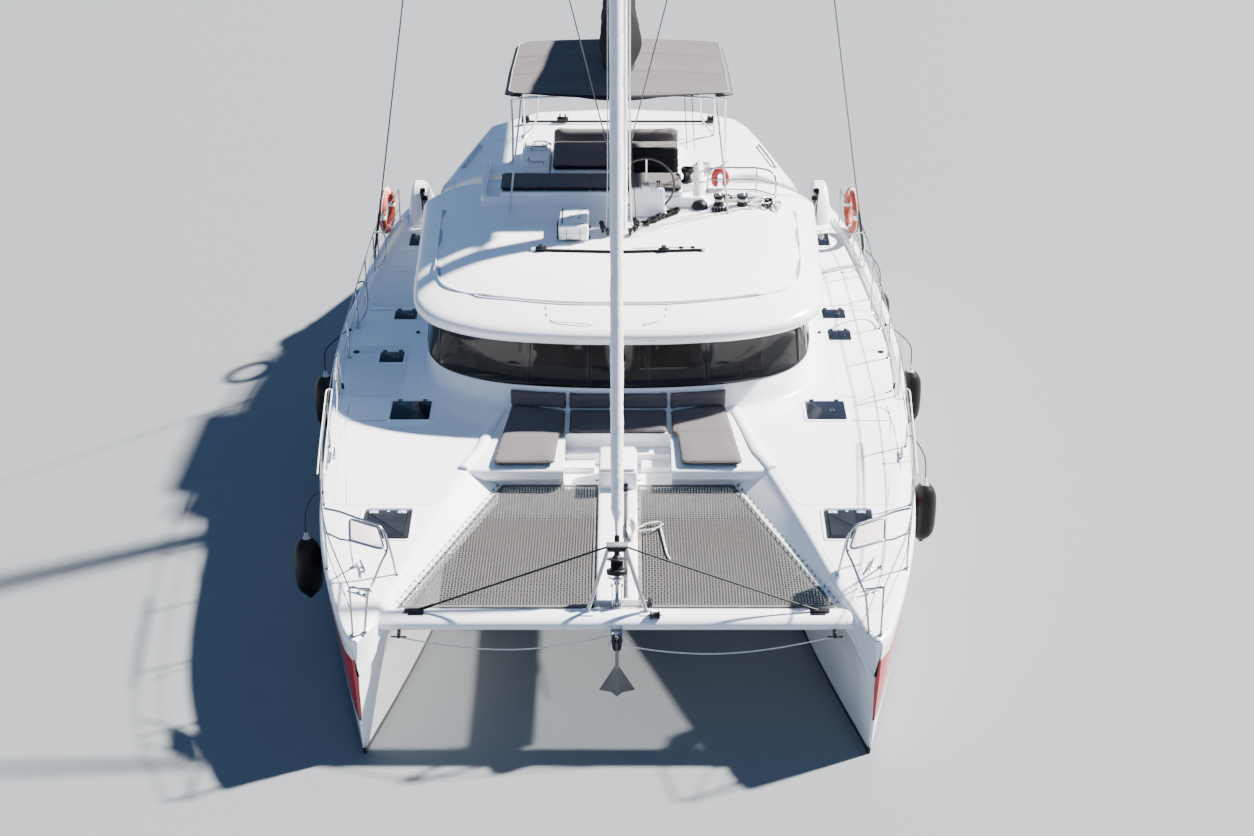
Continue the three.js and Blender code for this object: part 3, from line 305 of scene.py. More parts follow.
def laid_rope(form, path, radius, turns_per_metre=14):
    """Three strands wound about the path."""
    lengths = [0.0]
    for a, b in zip(path, path[1:]):
        lengths.append(lengths[-1] + (b - a).length)
    for strand in range(3):
        wound = []
        for i, point in enumerate(path):
            run = (path[min(i + 1, len(path) - 1)] - path[max(i - 1, 0)]).normalized()
            side = run.cross(Vector((0, 0, 1)) if abs(run.z) < 0.9 else Vector((0, 1, 0))).normalized()
            up = side.cross(run)
            angle = 2 * math.pi * (turns_per_metre * lengths[i] + strand / 3)
            wound.append(point + (side * math.cos(angle) + up * math.sin(angle)) * radius * 0.48)
        form.tube(wound, radius * 0.56, 6)


for side_name, route in bridle_routes.items():
    route_path = smooth_path([(x, bridle_y, z) for x, z in route], 12)
    rope = Form()
    laid_rope(rope, route_path, bridle_radius)
    bridle = rope.piece(f"bridle_rope_{side_name}", [rope_paint], "rope", [f"bridle_{side_name}"])

# Hulls and deck moulding
# Two slim moulded hulls with plumb stems carry the side decks. Hull and deck are glass fibre in white
# gelcoat, joined at the sheer; lockers, engine bays, stern stairs and cockpit are sunk into them.
hull_centre = 2.95
deck_z = 1.86
bridge_half = 2.0
sheer_drop = 0.09
sides = (("port", 1), ("starboard", -1))
hull_table = [
    # y, keel, half beam afloat, deck outer x, deck inner x, edge x, edge z, knee x, knee z, deck z
    (-6.99, -0.06, 0.014, 3.030, 2.980, 2.960, 1.08, 2.955, 0.63, 1.590),
    (-6.84, -0.30, 0.050, 3.130, 2.885, 2.850, 1.23, 2.868, 0.79, 1.605),
    (-6.50, -0.43, 0.130, 3.250, 2.780, 2.680, 1.47, 2.735, 1.15, 1.640),
    (-6.20, -0.48, 0.205, 3.335, 2.675, 2.510, 1.55, 2.630, 1.27, 1.665),
    (-5.60, -0.55, 0.345, 3.490, 2.505, 2.280, 1.55, 2.500, 1.12, 1.712),
    (-4.90, -0.61, 0.500, 3.625, 2.320, 2.010, 1.55, 2.380, 0.95, 1.762),
    (-4.20, -0.655, 0.630, 3.715, 2.130, 1.740, 1.55, 2.260, 0.87, 1.800),
    (-3.40, -0.695, 0.745, 3.775, 1.900, 1.430, 1.55, 2.140, 0.85, 1.838),
]
aft_table = [
    # y, keel, half beam afloat, deck outer x, deck z
    (-3.39, -0.696, 0.746, 3.776, 1.839),
    (-2.00, -0.745, 0.860, 3.860, 1.860),
    (0.00, -0.765, 0.920, 3.975, 1.860),
    (2.00, -0.730, 0.900, 3.850, 1.860),
    (3.60, -0.630, 0.840, 3.690, 1.860),
    (5.00, -0.430, 0.790, 3.460, 1.860),
    (6.20, -0.210, 0.740, 3.370, 1.860),
    (6.99, -0.060, 0.700, 3.320, 1.860),
]


def eased(table, y, column):
    """The value of a column at y, on a smooth curve through the table's rows."""
    rows = sorted(table)
    if y <= rows[0][0]:
        return rows[0][column]
    if y >= rows[-1][0]:
        return rows[-1][column]
    i = max(k for k in range(len(rows) - 1) if rows[k][0] <= y)
    a, b = rows[i], rows[i + 1]
    span = b[0] - a[0]
    rise = (b[column] - a[column]) / span

    def slope(k):
        if k <= 0 or k >= len(rows) - 1:
            return rise
        before = (rows[k][column] - rows[k - 1][column]) / (rows[k][0] - rows[k - 1][0])
        after = (rows[k + 1][column] - rows[k][column]) / (rows[k + 1][0] - rows[k][0])
        return 0.0 if before * after < 0 else 2 * before * after / (before + after) if before + after else 0.0

    t = (y - a[0]) / span
    low, high = slope(i) * span, slope(i + 1) * span
    return ((2 * t ** 3 - 3 * t * t + 1) * a[column] + (t ** 3 - 2 * t * t + t) * low
            + (3 * t * t - 2 * t ** 3) * b[column] + (t ** 3 - t * t) * high)


outer_table = [(r[0], r[1], r[2], r[3], r[9]) for r in hull_table] + aft_table[1:]


def sheer_x(y):
    return eased(outer_table, y, 3)


def deck_top(y):
    return eased(outer_table, y, 4)


bottom_steps = 8
side_steps = 9
hull_paints = {"topside": 0, "bottom": 1, "deck": 2, "inside": 3}


def hull_section(y, forward):
    """One section: the keel line outboard to the sheer, over the deck and down inboard, with its paints."""
    keel, half, out, top = (eased(outer_table, y, k) for k in (1, 2, 3, 4))
    quarter = [math.radians(90 * k / bottom_steps) for k in range(bottom_steps)]
    points = []
    paints = []

    def run(new, paint):
        points.extend(new)
        paints.extend([hull_paints[paint]] * len(new))

    run([(hull_centre + half * math.sin(a), keel * math.cos(a)) for a in quarter], "bottom")
    foot = (hull_centre + half, 0.0)
    head = (out, top - sheer_drop)
    flare = (foot[0] + 0.66 * (head[0] - foot[0]), 0.5 * top)
    run([tuple((1 - t) ** 2 * foot[i] + 2 * t * (1 - t) * flare[i] + t * t * head[i] for i in (0, 1))
         for t in (k / side_steps for k in range(side_steps))], "topside")
    run([(out, top - sheer_drop), (out - 0.003, top - 0.05), (out - 0.014, top - 0.024),
         (out - 0.032, top - 0.007)], "deck")
    if forward:
        deck_in, edge_x, edge_z, knee_x, knee_z = (eased(hull_table, y, k) for k in (4, 5, 6, 7, 8))
        ledge = 0.1 * min(1, max(0, (y + 6.5) / 0.3))
        lip = (edge_x + ledge, edge_z)
        run([(out - 0.055, top), (deck_in + 0.035, top), (deck_in + 0.012, top - 0.004),
             (deck_in - 0.012, top - 0.018)], "deck")
        fall = [(deck_in - 0.03 + (lip[0] + 0.02 - deck_in + 0.03) * t,
                 top - 0.038 + (lip[1] + 0.018 - top + 0.038) * t) for t in (0, 0.33, 0.66, 1)]
        run(fall, "deck")
        run([(lip[0] + 0.006, lip[1] + 0.006), (lip[0] - 0.012, lip[1] + 0.002),
             (edge_x + 0.012, edge_z + 0.001), (edge_x, edge_z - 0.012)], "deck")
        run([(edge_x, edge_z - 0.10), (edge_x + 0.012, edge_z - 0.125)], "topside")
        for t in (0.5, 1):
            run([(edge_x + (knee_x - edge_x) * t, edge_z - 0.11 + (knee_z - edge_z + 0.11) * t)], "topside")
    else:
        knee_x, knee_z = bridge_half, 0.85
        shelf = [bridge_half + (out - 0.055 - bridge_half) * t for t in (1, 0.66, 0.33)]
        run([(x, top) for x in shelf] + [(bridge_half, top)], "deck")
        run([(bridge_half, top - 0.1 * k) for k in range(1, 4)], "inside")
        run([(bridge_half, 1.52 - 0.12 * k) for k in range(5)], "inside")
        run([(bridge_half, 0.93), (bridge_half, 0.90), (bridge_half, 0.87), (knee_x, knee_z)], "topside")
    inner_foot = hull_centre - half
    for t in (0.25, 0.5, 0.75):
        run([(knee_x + (inner_foot - knee_x) * t, knee_z * (1 - t))], "topside")
    run([(hull_centre - half * math.cos(a), keel * math.sin(a)) for a in quarter], "bottom")
    return points, paints


def hull_loft(side, ys, forward):
    """A closed solid through the sections."""
    form = Form()
    rings = []
    for y in ys:
        section, paints = hull_section(y, forward)
        rings.append([(x * side, y, z) for x, z in section])
    form.skin(rings)
    form.paints = [p for _ in rings[1:] for p in paints] + [paints[9]] * 2
    if forward:
        del form.faces[-2]
        form.paints.pop()
        count = len(section)
        for i in range((count - 1) // 2):
            form.faces.append(tuple(dict.fromkeys((count - 1 - i, count - 2 - i, i + 1, i))))
            form.paints.append(paints[i])
    return form


def solid_object(name, form, paints):
    """A plain object to be carved, not yet a piece."""
    mesh = bpy.data.meshes.new(name)
    mesh.from_pydata(form.points, [], form.faces)
    mesh.polygons.foreach_set("material_index", form.paints)
    for paint in paints:
        mesh.materials.append(paint)
    shape = bmesh.new()
    shape.from_mesh(mesh)
    bmesh.ops.recalc_face_normals(shape, faces=shape.faces)
    shape.to_mesh(mesh)
    shape.free()
    return placed(name, mesh)


def carve(target, cutters):
    """Cuts solids out of a plain object and leaves it as one mesh."""
    for cutter in cutters:
        change = target.modifiers.new("carve", "BOOLEAN")
        change.operation = "DIFFERENCE"
        change.solver = "EXACT"
        change.object = cutter
    bpy.context.view_layer.update()
    shaped = bpy.data.meshes.new_from_object(target.evaluated_get(bpy.context.evaluated_depsgraph_get()))
    target.modifiers.clear()
    target.data = shaped
    for cutter in cutters:
        bpy.data.objects.remove(cutter)


def box_cutter(x, y, z, paint=2, soft=0.0):
    """A box to carve with, from its two values of x, y and z."""
    form = Form()
    form.block(*zip(x, y, z), soft=max(soft, 1e-4), paint=paint, steps=3 if soft else 1)
    return solid_object("cutter", form, hull_materials)


def share_out(source, groups):
    """Makes one Form for each group of paints of a carved object, which it removes."""
    forms = {}
    for name, wanted in groups.items():
        form = Form()
        used = {}
        for face in source.data.polygons:
            if face.material_index not in wanted:
                continue
            corners = []
            for index in face.vertices:
                if index not in used:
                    used[index] = len(form.points)
                    form.points.append(tuple(source.data.vertices[index].co))
                corners.append(used[index])
            form.faces.append(tuple(corners))
            form.paints.append(wanted[face.material_index])
        forms[name] = form
    bpy.data.objects.remove(source)
    return forms


gelcoat_white = (0.86, 0.87, 0.88)
stripe_black = (0.012, 0.012, 0.014)
stripe_reach = 7.1
boot_top_z = 0.085
stripe_bands = [
    # colour of the band, then y and z along its lower edge
    (stripe_black,
     [(-7.0, 0.42), (-6.6, 0.66), (-5.6, 0.98), (-3.5, 1.16), (1.5, 1.20), (5.0, 1.02), (7.0, 0.92)]),
    ((0.40, 0.006, 0.018),
     [(-7.0, 0.45), (-6.6, 0.72), (-5.6, 1.06), (-3.5, 1.22), (1.5, 1.245), (5.0, 1.04), (7.0, 0.93)]),
    (gelcoat_white,
     [(-7.0, 1.30), (-6.6, 1.40), (-5.6, 1.44), (-3.5, 1.38), (1.5, 1.32), (5.0, 1.07), (7.0, 0.94)]),
]


def banded_topside(name):
    """White gelcoat with a black boot line and a black-edged red band that rises from the stem."""
    paint = surface(name, gelcoat_white, 0.22, coat=0.5, mottle=0.012, mottle_scale=0.6, grain=9,
                    depth=0.0012, rough_play=0.06)
    tree = paint.node_tree
    shader = tree.nodes["Principled BSDF"]
    white = shader.inputs["Base Color"].links[0].from_socket
    place = tree.nodes.new("ShaderNodeTexCoord")
    parts = tree.nodes.new("ShaderNodeSeparateXYZ")
    tree.links.new(place.outputs["Object"], parts.inputs["Vector"])

    def worked_out(operation, first, second=0):
        """A calculation on a socket and on a second socket or number."""
        step = tree.nodes.new("ShaderNodeMath")
        step.operation = operation
        tree.links.new(first, step.inputs[0])
        if isinstance(second, (int, float)):
            step.inputs[1].default_value = second
        else:
            tree.links.new(second, step.inputs[1])
        return step.outputs["Value"]

    def edge(rows):
        """A height that changes along the hull: rows of y and z."""
        curve = tree.nodes.new("ShaderNodeFloatCurve")
        share = tree.nodes.new("ShaderNodeMapRange")
        share.inputs["From Min"].default_value = -stripe_reach
        share.inputs["From Max"].default_value = stripe_reach
        tree.links.new(parts.outputs["Y"], share.inputs["Value"])
        tree.links.new(share.outputs["Result"], curve.inputs["Value"])
        line = curve.mapping.curves[0]
        for y, z in rows[1:-1]:
            line.points.new((y / stripe_reach + 1) / 2, z / 2)
        line.points[0].location = (0, rows[0][1] / 2)
        line.points[-1].location = (1, rows[-1][1] / 2)
        for point in line.points:
            point.handle_type = "VECTOR"
        curve.mapping.update()
        return worked_out("MULTIPLY", curve.outputs["Value"], 2)

    def layer(base, mask, colour):
        """The base with a colour laid over it where the mask is 1."""
        mix = tree.nodes.new("ShaderNodeMix")
        mix.data_type = "RGBA"
        mix.inputs[7].default_value = (*colour, 1)
        tree.links.new(mask, mix.inputs[0])
        tree.links.new(base, mix.inputs[6])
        return mix.outputs[2]

    outboard = worked_out("GREATER_THAN", worked_out("ABSOLUTE", parts.outputs["X"]), hull_centre + 0.012)
    colour = white
    for shade, low_edge in stripe_bands:
        above = worked_out("GREATER_THAN", parts.outputs["Z"], edge(low_edge))
        colour = layer(colour, worked_out("MULTIPLY", above, outboard), shade)
    boot_line = worked_out("LESS_THAN", parts.outputs["Z"], boot_top_z)
    colour = layer(colour, boot_line, stripe_black)
    tree.links.new(colour, shader.inputs["Base Color"])
    return paint


topside_paint = banded_topside("banded topside gelcoat")
antifouling = surface("dark antifouling", (0.02, 0.022, 0.026), 0.75, mottle=0.3, mottle_scale=3, grain=90,
                      depth=0.002)
gelcoat = surface("white gelcoat", gelcoat_white, 0.24, coat=0.45, mottle=0.012, mottle_scale=0.7, grain=9,
                  depth=0.0012, rough_play=0.06)
inside_gelcoat = surface("plain inside gelcoat", (0.70, 0.71, 0.72), 0.5, mottle=0.05, grain=40)
hull_materials = [topside_paint, antifouling, gelcoat, inside_gelcoat]
stern_steps = [(5.00, 1.50), (5.40, 1.26), (5.76, 1.02), (6.10, 0.78), (6.40, 0.52)]
bow_pockets = [
    # the two values of x, y and z: the bow locker and its mouth
    ((2.58, 3.09), (-5.01, -4.44), (1.15, 2.2)),
    ((2.54, 3.13), (-5.05, -4.40), (1.73, 2.3)),
]
stern_pockets = [
    # the two values of x, y and z, paint and rounding: the engine's shaft, its room and its lid
    ((2.48, 2.86), (4.14, 4.76), (0.90, 2.2), 3, 0.02),
    ((2.66, 3.24), (4.14, 4.76), (0.03, 1.2), 3, 0.02),
    ((2.44, 2.90), (4.10, 4.80), (1.82, 2.3), 2, 0.02),
]
stern_pockets += [((1.9, 3.34), (y, 7.3), (z, 2.6), 2, 0.025) for y, z in stern_steps]
inner_pockets = [
    # the same for the cockpit and the saloon
    ((1.5, 2.25), (2.1, 7.2), (1.45, 2.5), 2, 0.03),
    ((1.2, 2.62), (-0.6, 2.205), (1.3, 2.0), 2, 0.0),
]


def wedge_cutter(profile, x):
    """A side profile in y and z, carried across."""
    form = Form()
    form.skin([[(at, y, z) for y, z in profile] for at in (min(x), max(x))], 2)
    return solid_object("cutter", form, hull_materials)


bow_ys = [-6.99, -6.965, -6.93, -6.89, -6.84, -6.76, -6.68, -6.59] + [-6.5 + 0.155 * k for k in range(21)]
aft_ys = [-3.40, -3.3] + [-3.1 + 0.3 * k for k in range(34)] + [6.99]
keel_rows = [
    # z, front y, aft y, thickness
    (-1.30, -1.15, 1.25, 0.09),
    (-1.27, -1.22, 1.32, 0.13),
    (-1.20, -1.27, 1.37, 0.15),
    (-0.60, -1.50, 1.50, 0.19),
]
for side_name, side in sides:
    bow = solid_object("bow", hull_loft(side, bow_ys, True), hull_materials)
    carve(bow, [box_cutter([v * side for v in x], y, z, soft=0.03) for x, y, z in bow_pockets])
    stern = solid_object("stern", hull_loft(side, aft_ys, False), hull_materials)
    stern_cuts = [box_cutter([v * side for v in x], *rest) for x, *rest in stern_pockets]
    stern_cuts.append(wedge_cutter([(5.0, 2.6), (5.05, 2.3), (5.5, 1.7), (6.7, 0.9), (7.1, 0.75), (7.1, 2.6)],
                                   (1.9 * side, 4.2 * side)))
    stern_cuts += [box_cutter([v * side for v in x], *rest) for x, *rest in inner_pockets]
    carve(stern, stern_cuts)
    hull_form = Form()
    deck_form = Form()
    for source in (bow, stern):
        shares = share_out(source, {"hull": {0: 0, 1: 1}, "deck": {2: 0, 3: 1}})
        hull_form.add(shares["hull"].points, shares["hull"].faces, shares["hull"].paints)
        deck_form.add(shares["deck"].points, shares["deck"].faces, shares["deck"].paints)
    keel_rings = []
    for z, front, back, thick in keel_rows:
        ring = []
        for t in circle(28):
            along = 0.5 - 0.5 * math.cos(t)
            width = thick * 1.15 * math.sin(t) * (1 - 0.35 * along)
            ring.append(((hull_centre + width) * side, front + (back - front) * along, z))
        keel_rings.append(ring)
    hull_form.skin(keel_rings, paint=1)
    hull_form.piece(f"hull_skin_{side_name}", [topside_paint, antifouling], "gelcoat", [f"hull_{side_name}"],
                    sharp=32)
    deck_form.piece(f"side_deck_{side_name}", [gelcoat, inside_gelcoat], "gelcoat",
                    ["deck"] if side > 0 else (), sharp=32)

# Non-slip deck panels
# Between smooth drains the side decks have panels with a fine moulded stipple, a shade greyer than the
# gloss gelcoat round them. Each has rounded corners and stands a hair above the deck.
nonslip = surface("stippled non-slip gelcoat", (0.78, 0.79, 0.80), 0.62, mottle=0.03, mottle_scale=1.2,
                  grain=220, depth=0.004, rough_play=0.08)
panel_rise = 0.004


def deck_panel(form, y_ends, low_x, high_x, corner=0.10, level=None, across_steps=6, along=22):
    """A panel that follows the deck, between two widths that are functions of y."""
    rows = []
    for k in range(along + 1):
        t = 0.5 - 0.5 * math.cos(math.pi * k / along)
        y = y_ends[0] + (y_ends[1] - y_ends[0]) * t
        near = min(y - y_ends[0], y_ends[1] - y)
        pull = corner - math.sqrt(max(0, corner ** 2 - max(0, corner - near) ** 2))
        low, high = low_x(y) + pull, high_x(y) - pull
        z = (deck_top(y) if level is None else level) + panel_rise
        rows.append([(low + (high - low) * j / across_steps, y, z) for j in range(across_steps + 1)])
    form.skin(rows, loop=False, caps=False)


def inner_deck_x(y):
    """The inner side of the side deck: the shoulder forward, the cabin's foot aft."""
    if y < -3.4:
        return eased(hull_table, y, 4) + 0.06
    if y < -1.9:
        return 2.02 + 0.25 * (y + 3.4)
    return 2.86 if y < -0.9 else 2.93


panels = Form()
deck_panel(panels, (-6.45, -5.16), inner_deck_x, lambda y: sheer_x(y) - 0.17)
deck_panel(panels, (-4.30, -2.36), inner_deck_x, lambda y: sheer_x(y) - 0.19)
deck_panel(panels, (-1.52, 0.02), lambda y: 2.95, lambda y: sheer_x(y) - 0.24)
deck_panel(panels, (1.38, 3.40), lambda y: 2.93, lambda y: sheer_x(y) - 0.24)
panels.mirrored().piece("non_slip_panels", [nonslip], "gelcoat")

# Bulwarks and stern coamings
# A rounded bulwark is moulded along the edge of each side deck, and a fin-shaped coaming rises beside
# each stern stair. Both are part of the deck moulding, in the same gelcoat.
bulwark = Form()
bulwark_rows = [(-1.6, 0.02), (-1.2, 0.05), (-0.6, 0.075), (0.4, 0.085), (1.6, 0.09), (2.8, 0.09),
                (3.8, 0.09), (4.5, 0.085), (4.9, 0.05)]
bulwark_width = 0.15
bulwark_rings = []
for y, rise in bulwark_rows:
    out = sheer_x(y) - 0.012
    back = out - bulwark_width
    ring = [(out, y, deck_z - 0.03), (out - 0.004, y, deck_z + rise * 0.55)]
    ring += [(out - 0.035 + 0.03 * math.cos(a), y, deck_z + rise * (0.62 + 0.38 * math.sin(a)))
             for a in (math.radians(30 * k) for k in range(1, 4))]
    ring += [(back + 0.05, y, deck_z + rise * 0.93), (back + 0.012, y, deck_z + rise * 0.35),
             (back, y, deck_z - 0.03)]
    bulwark_rings.append(ring)
bulwark.skin(list(zip(*[smooth_path(column, 4) for column in zip(*bulwark_rings)])))
fin_rows = [
    # z, front y, aft y, inner x, outer x
    (1.80, 4.36, 5.48, 2.950, 3.395),
    (1.90, 4.40, 5.42, 2.965, 3.385),
    (2.02, 4.47, 5.34, 2.990, 3.370),
    (2.14, 4.56, 5.25, 3.020, 3.355),
    (2.25, 4.67, 5.16, 3.050, 3.338),
    (2.33, 4.78, 5.08, 3.080, 3.315),
    (2.375, 4.87, 5.02, 3.120, 3.280),
]


def squared_ring(count, first, second, powers):
    """A round outline between two ends of each of two directions, squared off by a power for each."""
    outline = []
    for a in circle(count):
        point = []
        for ends, power, way in zip((first, second), powers, (math.cos(a), math.sin(a))):
            point.append((ends[0] + ends[1]) / 2 + (ends[1] - ends[0]) / 2
                         * math.copysign(abs(way) ** power, way))
        outline.append(point)
    return outline


bulwark.skin([[(x, y, z) for x, y in squared_ring(24, (near, far), (front, back), (0.45, 0.6))]
              for z, front, back, near, far in fin_rows])
bulwark.mirrored().piece("bulwarks_and_coamings", [gelcoat], "gelcoat")

# Foredeck and front cockpit
# The moulding between the hulls ahead of the cabin: a flat seat deck with a rounded lip over the nets, a
# footwell in its middle and a low bead where the side decks end.
foredeck = Form()
lip_profile = [(-3.39, 1.49), (-3.39, 1.585), (-3.40, 1.60), (-3.485, 1.685), (-3.50, 1.705), (-3.50, 1.79),
               (-3.494, 1.812), (-3.478, 1.830), (-3.455, 1.838), (-2.40, 1.8598), (-1.30, 1.8598),
               (-1.30, 1.49)]
foredeck.skin([[(x, y, z) for y, z in lip_profile] for x in (-2.01, -1.0, 0.0, 1.0, 2.01)], paint=2)


def carved(form, cutters):
    """The form with the cutters taken out of it, all in one paint."""
    solid = solid_object("carved", form, hull_materials)
    carve(solid, cutters)
    return share_out(solid, {"left": {0: 0, 1: 0, 2: 0, 3: 0}})["left"]


foredeck = carved(foredeck, [box_cutter((-0.69, 0.69), (-3.7, -2.56), (1.4, 2.2), soft=0.05)])
bead = smooth_path([(1.97, -3.47, 1.852), (1.88, -3.22, 1.856), (1.79, -2.99, 1.858), (1.67, -2.40, 1.858),
                    (1.52, -1.74, 1.858)], 6)
beads = Form()
beads.tube(bead, 0.068, 12, flat=0.62)
beads.mirrored()
foredeck.add(beads.points, beads.faces)
foredeck.block((-0.69, -3.395, 1.44), (0.69, -2.555, 1.5), soft=0.004)
foredeck.block((-0.69, -2.76, 1.5), (0.69, -2.555, 1.66), soft=0.02)
for side in (-1, 1):
    foredeck.block((0.30 * side, -2.98, 1.5), (0.69 * side, -2.74, 1.585), soft=0.015)
foredeck.piece("foredeck_moulding", [gelcoat], "gelcoat", sharp=32)

# Bridge deck, walkway and windlass box
# The floor that joins the hulls, smooth underneath, with the cockpit sole on top. A narrow walkway runs
# forward from it to the crossbeam, with the box of the windlass and chain at its root.
bridge = Form()
bridge_profile = [(-3.39, 1.4995), (-3.39, 1.20), (-3.37, 1.12), (-3.30, 1.02), (-3.17, 0.92), (-3.02, 0.865),
                  (-2.85, 0.851), (5.80, 0.966), (5.93, 0.985), (5.95, 1.01), (5.95, 1.52), (5.935, 1.54),
                  (5.365, 1.54), (5.35, 1.53), (5.35, 1.115), (5.335, 1.10), (-1.90, 1.10), (-1.90, 1.4995)]
bridge.skin([[(x, y, z) for y, z in bridge_profile] for x in (-1.9997, -1.0, 0.0, 1.0, 1.9997)])
bridge.block((-0.30, -6.24, 1.33), (0.30, -3.35, 1.55), soft=0.025)
bridge.block((-0.25, -6.24, 1.50), (0.25, -3.38, 1.61), soft=0.035, steps=3)
bridge.block((-0.245, -3.60, 1.50), (0.245, -2.96, 1.865), soft=0.03, steps=3)
bridge.block((-0.225, -3.575, 1.868), (0.225, -2.985, 1.90), soft=0.014)
deck_panel(bridge, (-6.16, -3.68), lambda y: -0.20, lambda y: 0.20, corner=0.05, level=1.6075)
bridge.piece("bridge_deck_moulding", [gelcoat], "gelcoat", ["bridge_deck"], sharp=32)
box_catches = Form()
black_plastic = surface("black moulded fittings", (0.010, 0.010, 0.012), 0.42, mottle=0.25, mottle_scale=20,
                        grain=180, shine=0.2)
for side in (-1, 1):
    box_catches.block((0.224 * side, -3.55, 1.70), (0.248 * side, -3.50, 1.79), soft=0.006)
    box_catches.tube([(0.25 * side, -3.52, 1.71), (0.275 * side, -3.535, 1.70), (0.285 * side, -3.55, 1.73)],
                     0.007, 6)
box_catches.piece("windlass_box_catches", [black_plastic], "black")
teak_sole = Form()
for k in range(26):
    x = -1.93 + k * 0.15
    teak_sole.block((x, 2.32, 1.1005), (x + 0.143, 5.30, 1.109), soft=0.002, steps=1)
tread_ends = (5.37, 5.73, 6.07, 6.37, 6.93)
for side in (-1, 1):
    for (y, z), back in zip(stern_steps, tread_ends):
        for k in range(7):
            x = 2.10 + k * 0.165
            teak_sole.block((x * side, y + 0.04, z + 0.0005), ((x + 0.156) * side, back, z + 0.009),
                            soft=0.002, steps=1)


def planked(name, colour):
    """Weathered teak: long grain in each plank, with the colour changing from plank to plank."""
    paint = surface(name, colour, 0.6, mottle=0.25, mottle_scale=4, grain=40, depth=0.001)
    tree = paint.node_tree
    stretch = tree.nodes.new("ShaderNodeMapping")
    stretch.inputs["Scale"].default_value = (9, 0.7, 9)
    for node in tree.nodes:
        if node.bl_idname == "ShaderNodeTexNoise":
            source = node.inputs["Vector"].links[0].from_socket
            tree.links.new(source, stretch.inputs["Vector"])
            tree.links.new(stretch.outputs["Vector"], node.inputs["Vector"])
    return paint


teak = planked("weathered teak", (0.34, 0.22, 0.12))
teak_sole.piece("teak_planking", [teak], "wood", sharp=30)

# Cabin
# Moulded walls with a curved front, their foot flared onto the deck, and openings behind one band of
# dark glass. The aft bulkhead carries the rail of the sliding door.
plan_rows = [
    # share of the half width, distance aft of the nose
    (0.0, 0.0), (0.29, 0.030), (0.60, 0.160), (0.82, 0.430), (0.945, 0.800), (1.0, 1.350), (1.018, 2.700),
]
cabin_aft = 2.25
wall_thick = 0.045


def plan_curve(half, nose, z, aft=cabin_aft, steps=6):
    """The plan shape of the cabin and its roof, from the aft starboard corner round the nose."""
    right = [(share * half, nose + back, z) for share, back in plan_rows] + [(1.04 * half, aft, z)]
    left = [(-x, y, h) for x, y, h in reversed(right[1:])]
    return [tuple(p) for p in smooth_path(left + right, steps)]


def between(rows, at):
    """The other columns of a table where its first one is at, on straight lines between the rows."""
    for a, b in zip(rows, rows[1:]):
        if a[0] <= at <= b[0] + 1e-9:
            t = (at - a[0]) / (b[0] - a[0])
            return [low + (high - low) * t for low, high in zip(a[1:], b[1:])]
    return rows[-1][1:]


wall_table = [
    # z, half width, nose y
    (1.86, 2.680, -2.030), (2.20, 2.630, -1.925), (2.935, 2.560, -1.860),
]


def wall_ring(z, out=0.0, aft=cabin_aft):
    """The wall's plan shape at a height, moved out by a distance."""
    half, nose = between(wall_table, z)
    return plan_curve(half + out, nose - out, z, aft)


wall = Form()
window_z = (2.25, 2.88)
wall_foot = [(1.861, 0.075), (1.868, 0.045), (1.885, 0.018), (1.92, 0.004), (2.0, 0.0), (2.19, 0.0),
             (2.197, -0.003), (2.2, -0.008), (2.90, -0.008), (2.934, -0.008)]
wall_rings = [wall_ring(z, out) for z, out in wall_foot]
wall_rings += [wall_ring(z, -wall_thick, cabin_aft - wall_thick) for z in (2.934, 2.2, 1.861)]
wall.skin(wall_rings, closed=True, caps=False, paint=2)
window_cuts = [box_cutter((x - 0.35, x + 0.35), (-2.3, -1.25), window_z)
               for x in (-1.56, -0.78, 0, 0.78, 1.56)]
window_cuts += [box_cutter((2.15 * side, 2.9 * side), ys, window_z) for side in (-1, 1)
                for ys in ((-1.05, -0.26), (-0.19, 0.64), (0.71, 1.50))]
window_cuts += [box_cutter((-1.35, -0.45), (2.1, 2.3), (1.135, 2.86)),
                box_cutter((-0.35, 1.5), (2.1, 2.3), (1.95, 2.8))]
wall = carved(wall, window_cuts)
for x0, x1 in ((-1.9997, -1.35), (-0.45, 1.9997)):
    wall.block((x0, 2.205, 1.1003), (x1, 2.25, 1.90), soft=0.004)
for x0, x1 in ((-2.2497, -1.99), (1.99, 2.2497)):
    wall.block((x0, 2.205, 1.5003), (x1, 2.25, 1.90), soft=0.004)
wall.block((-1.35, 2.205, 1.1003), (-0.45, 2.25, 1.135), soft=0.004)
wall.block((-1.45, 2.249, 1.1003), (0.65, 2.31, 1.125), soft=0.004)
wall.piece("cabin_walls", [gelcoat], "gelcoat", ["cabin"], sharp=32)


def tinted_glass(name, colour, clear):
    """Dark tinted glass: mostly its own colour, a little of what is behind it."""
    paint = surface(name, colour, 0.05, mottle=0.1, mottle_scale=2, grain=3, depth=0.0004, rough_play=0.02,
                    shine=0.22)
    paint.node_tree.nodes["Principled BSDF"].inputs["Alpha"].default_value = 1 - clear
    return paint


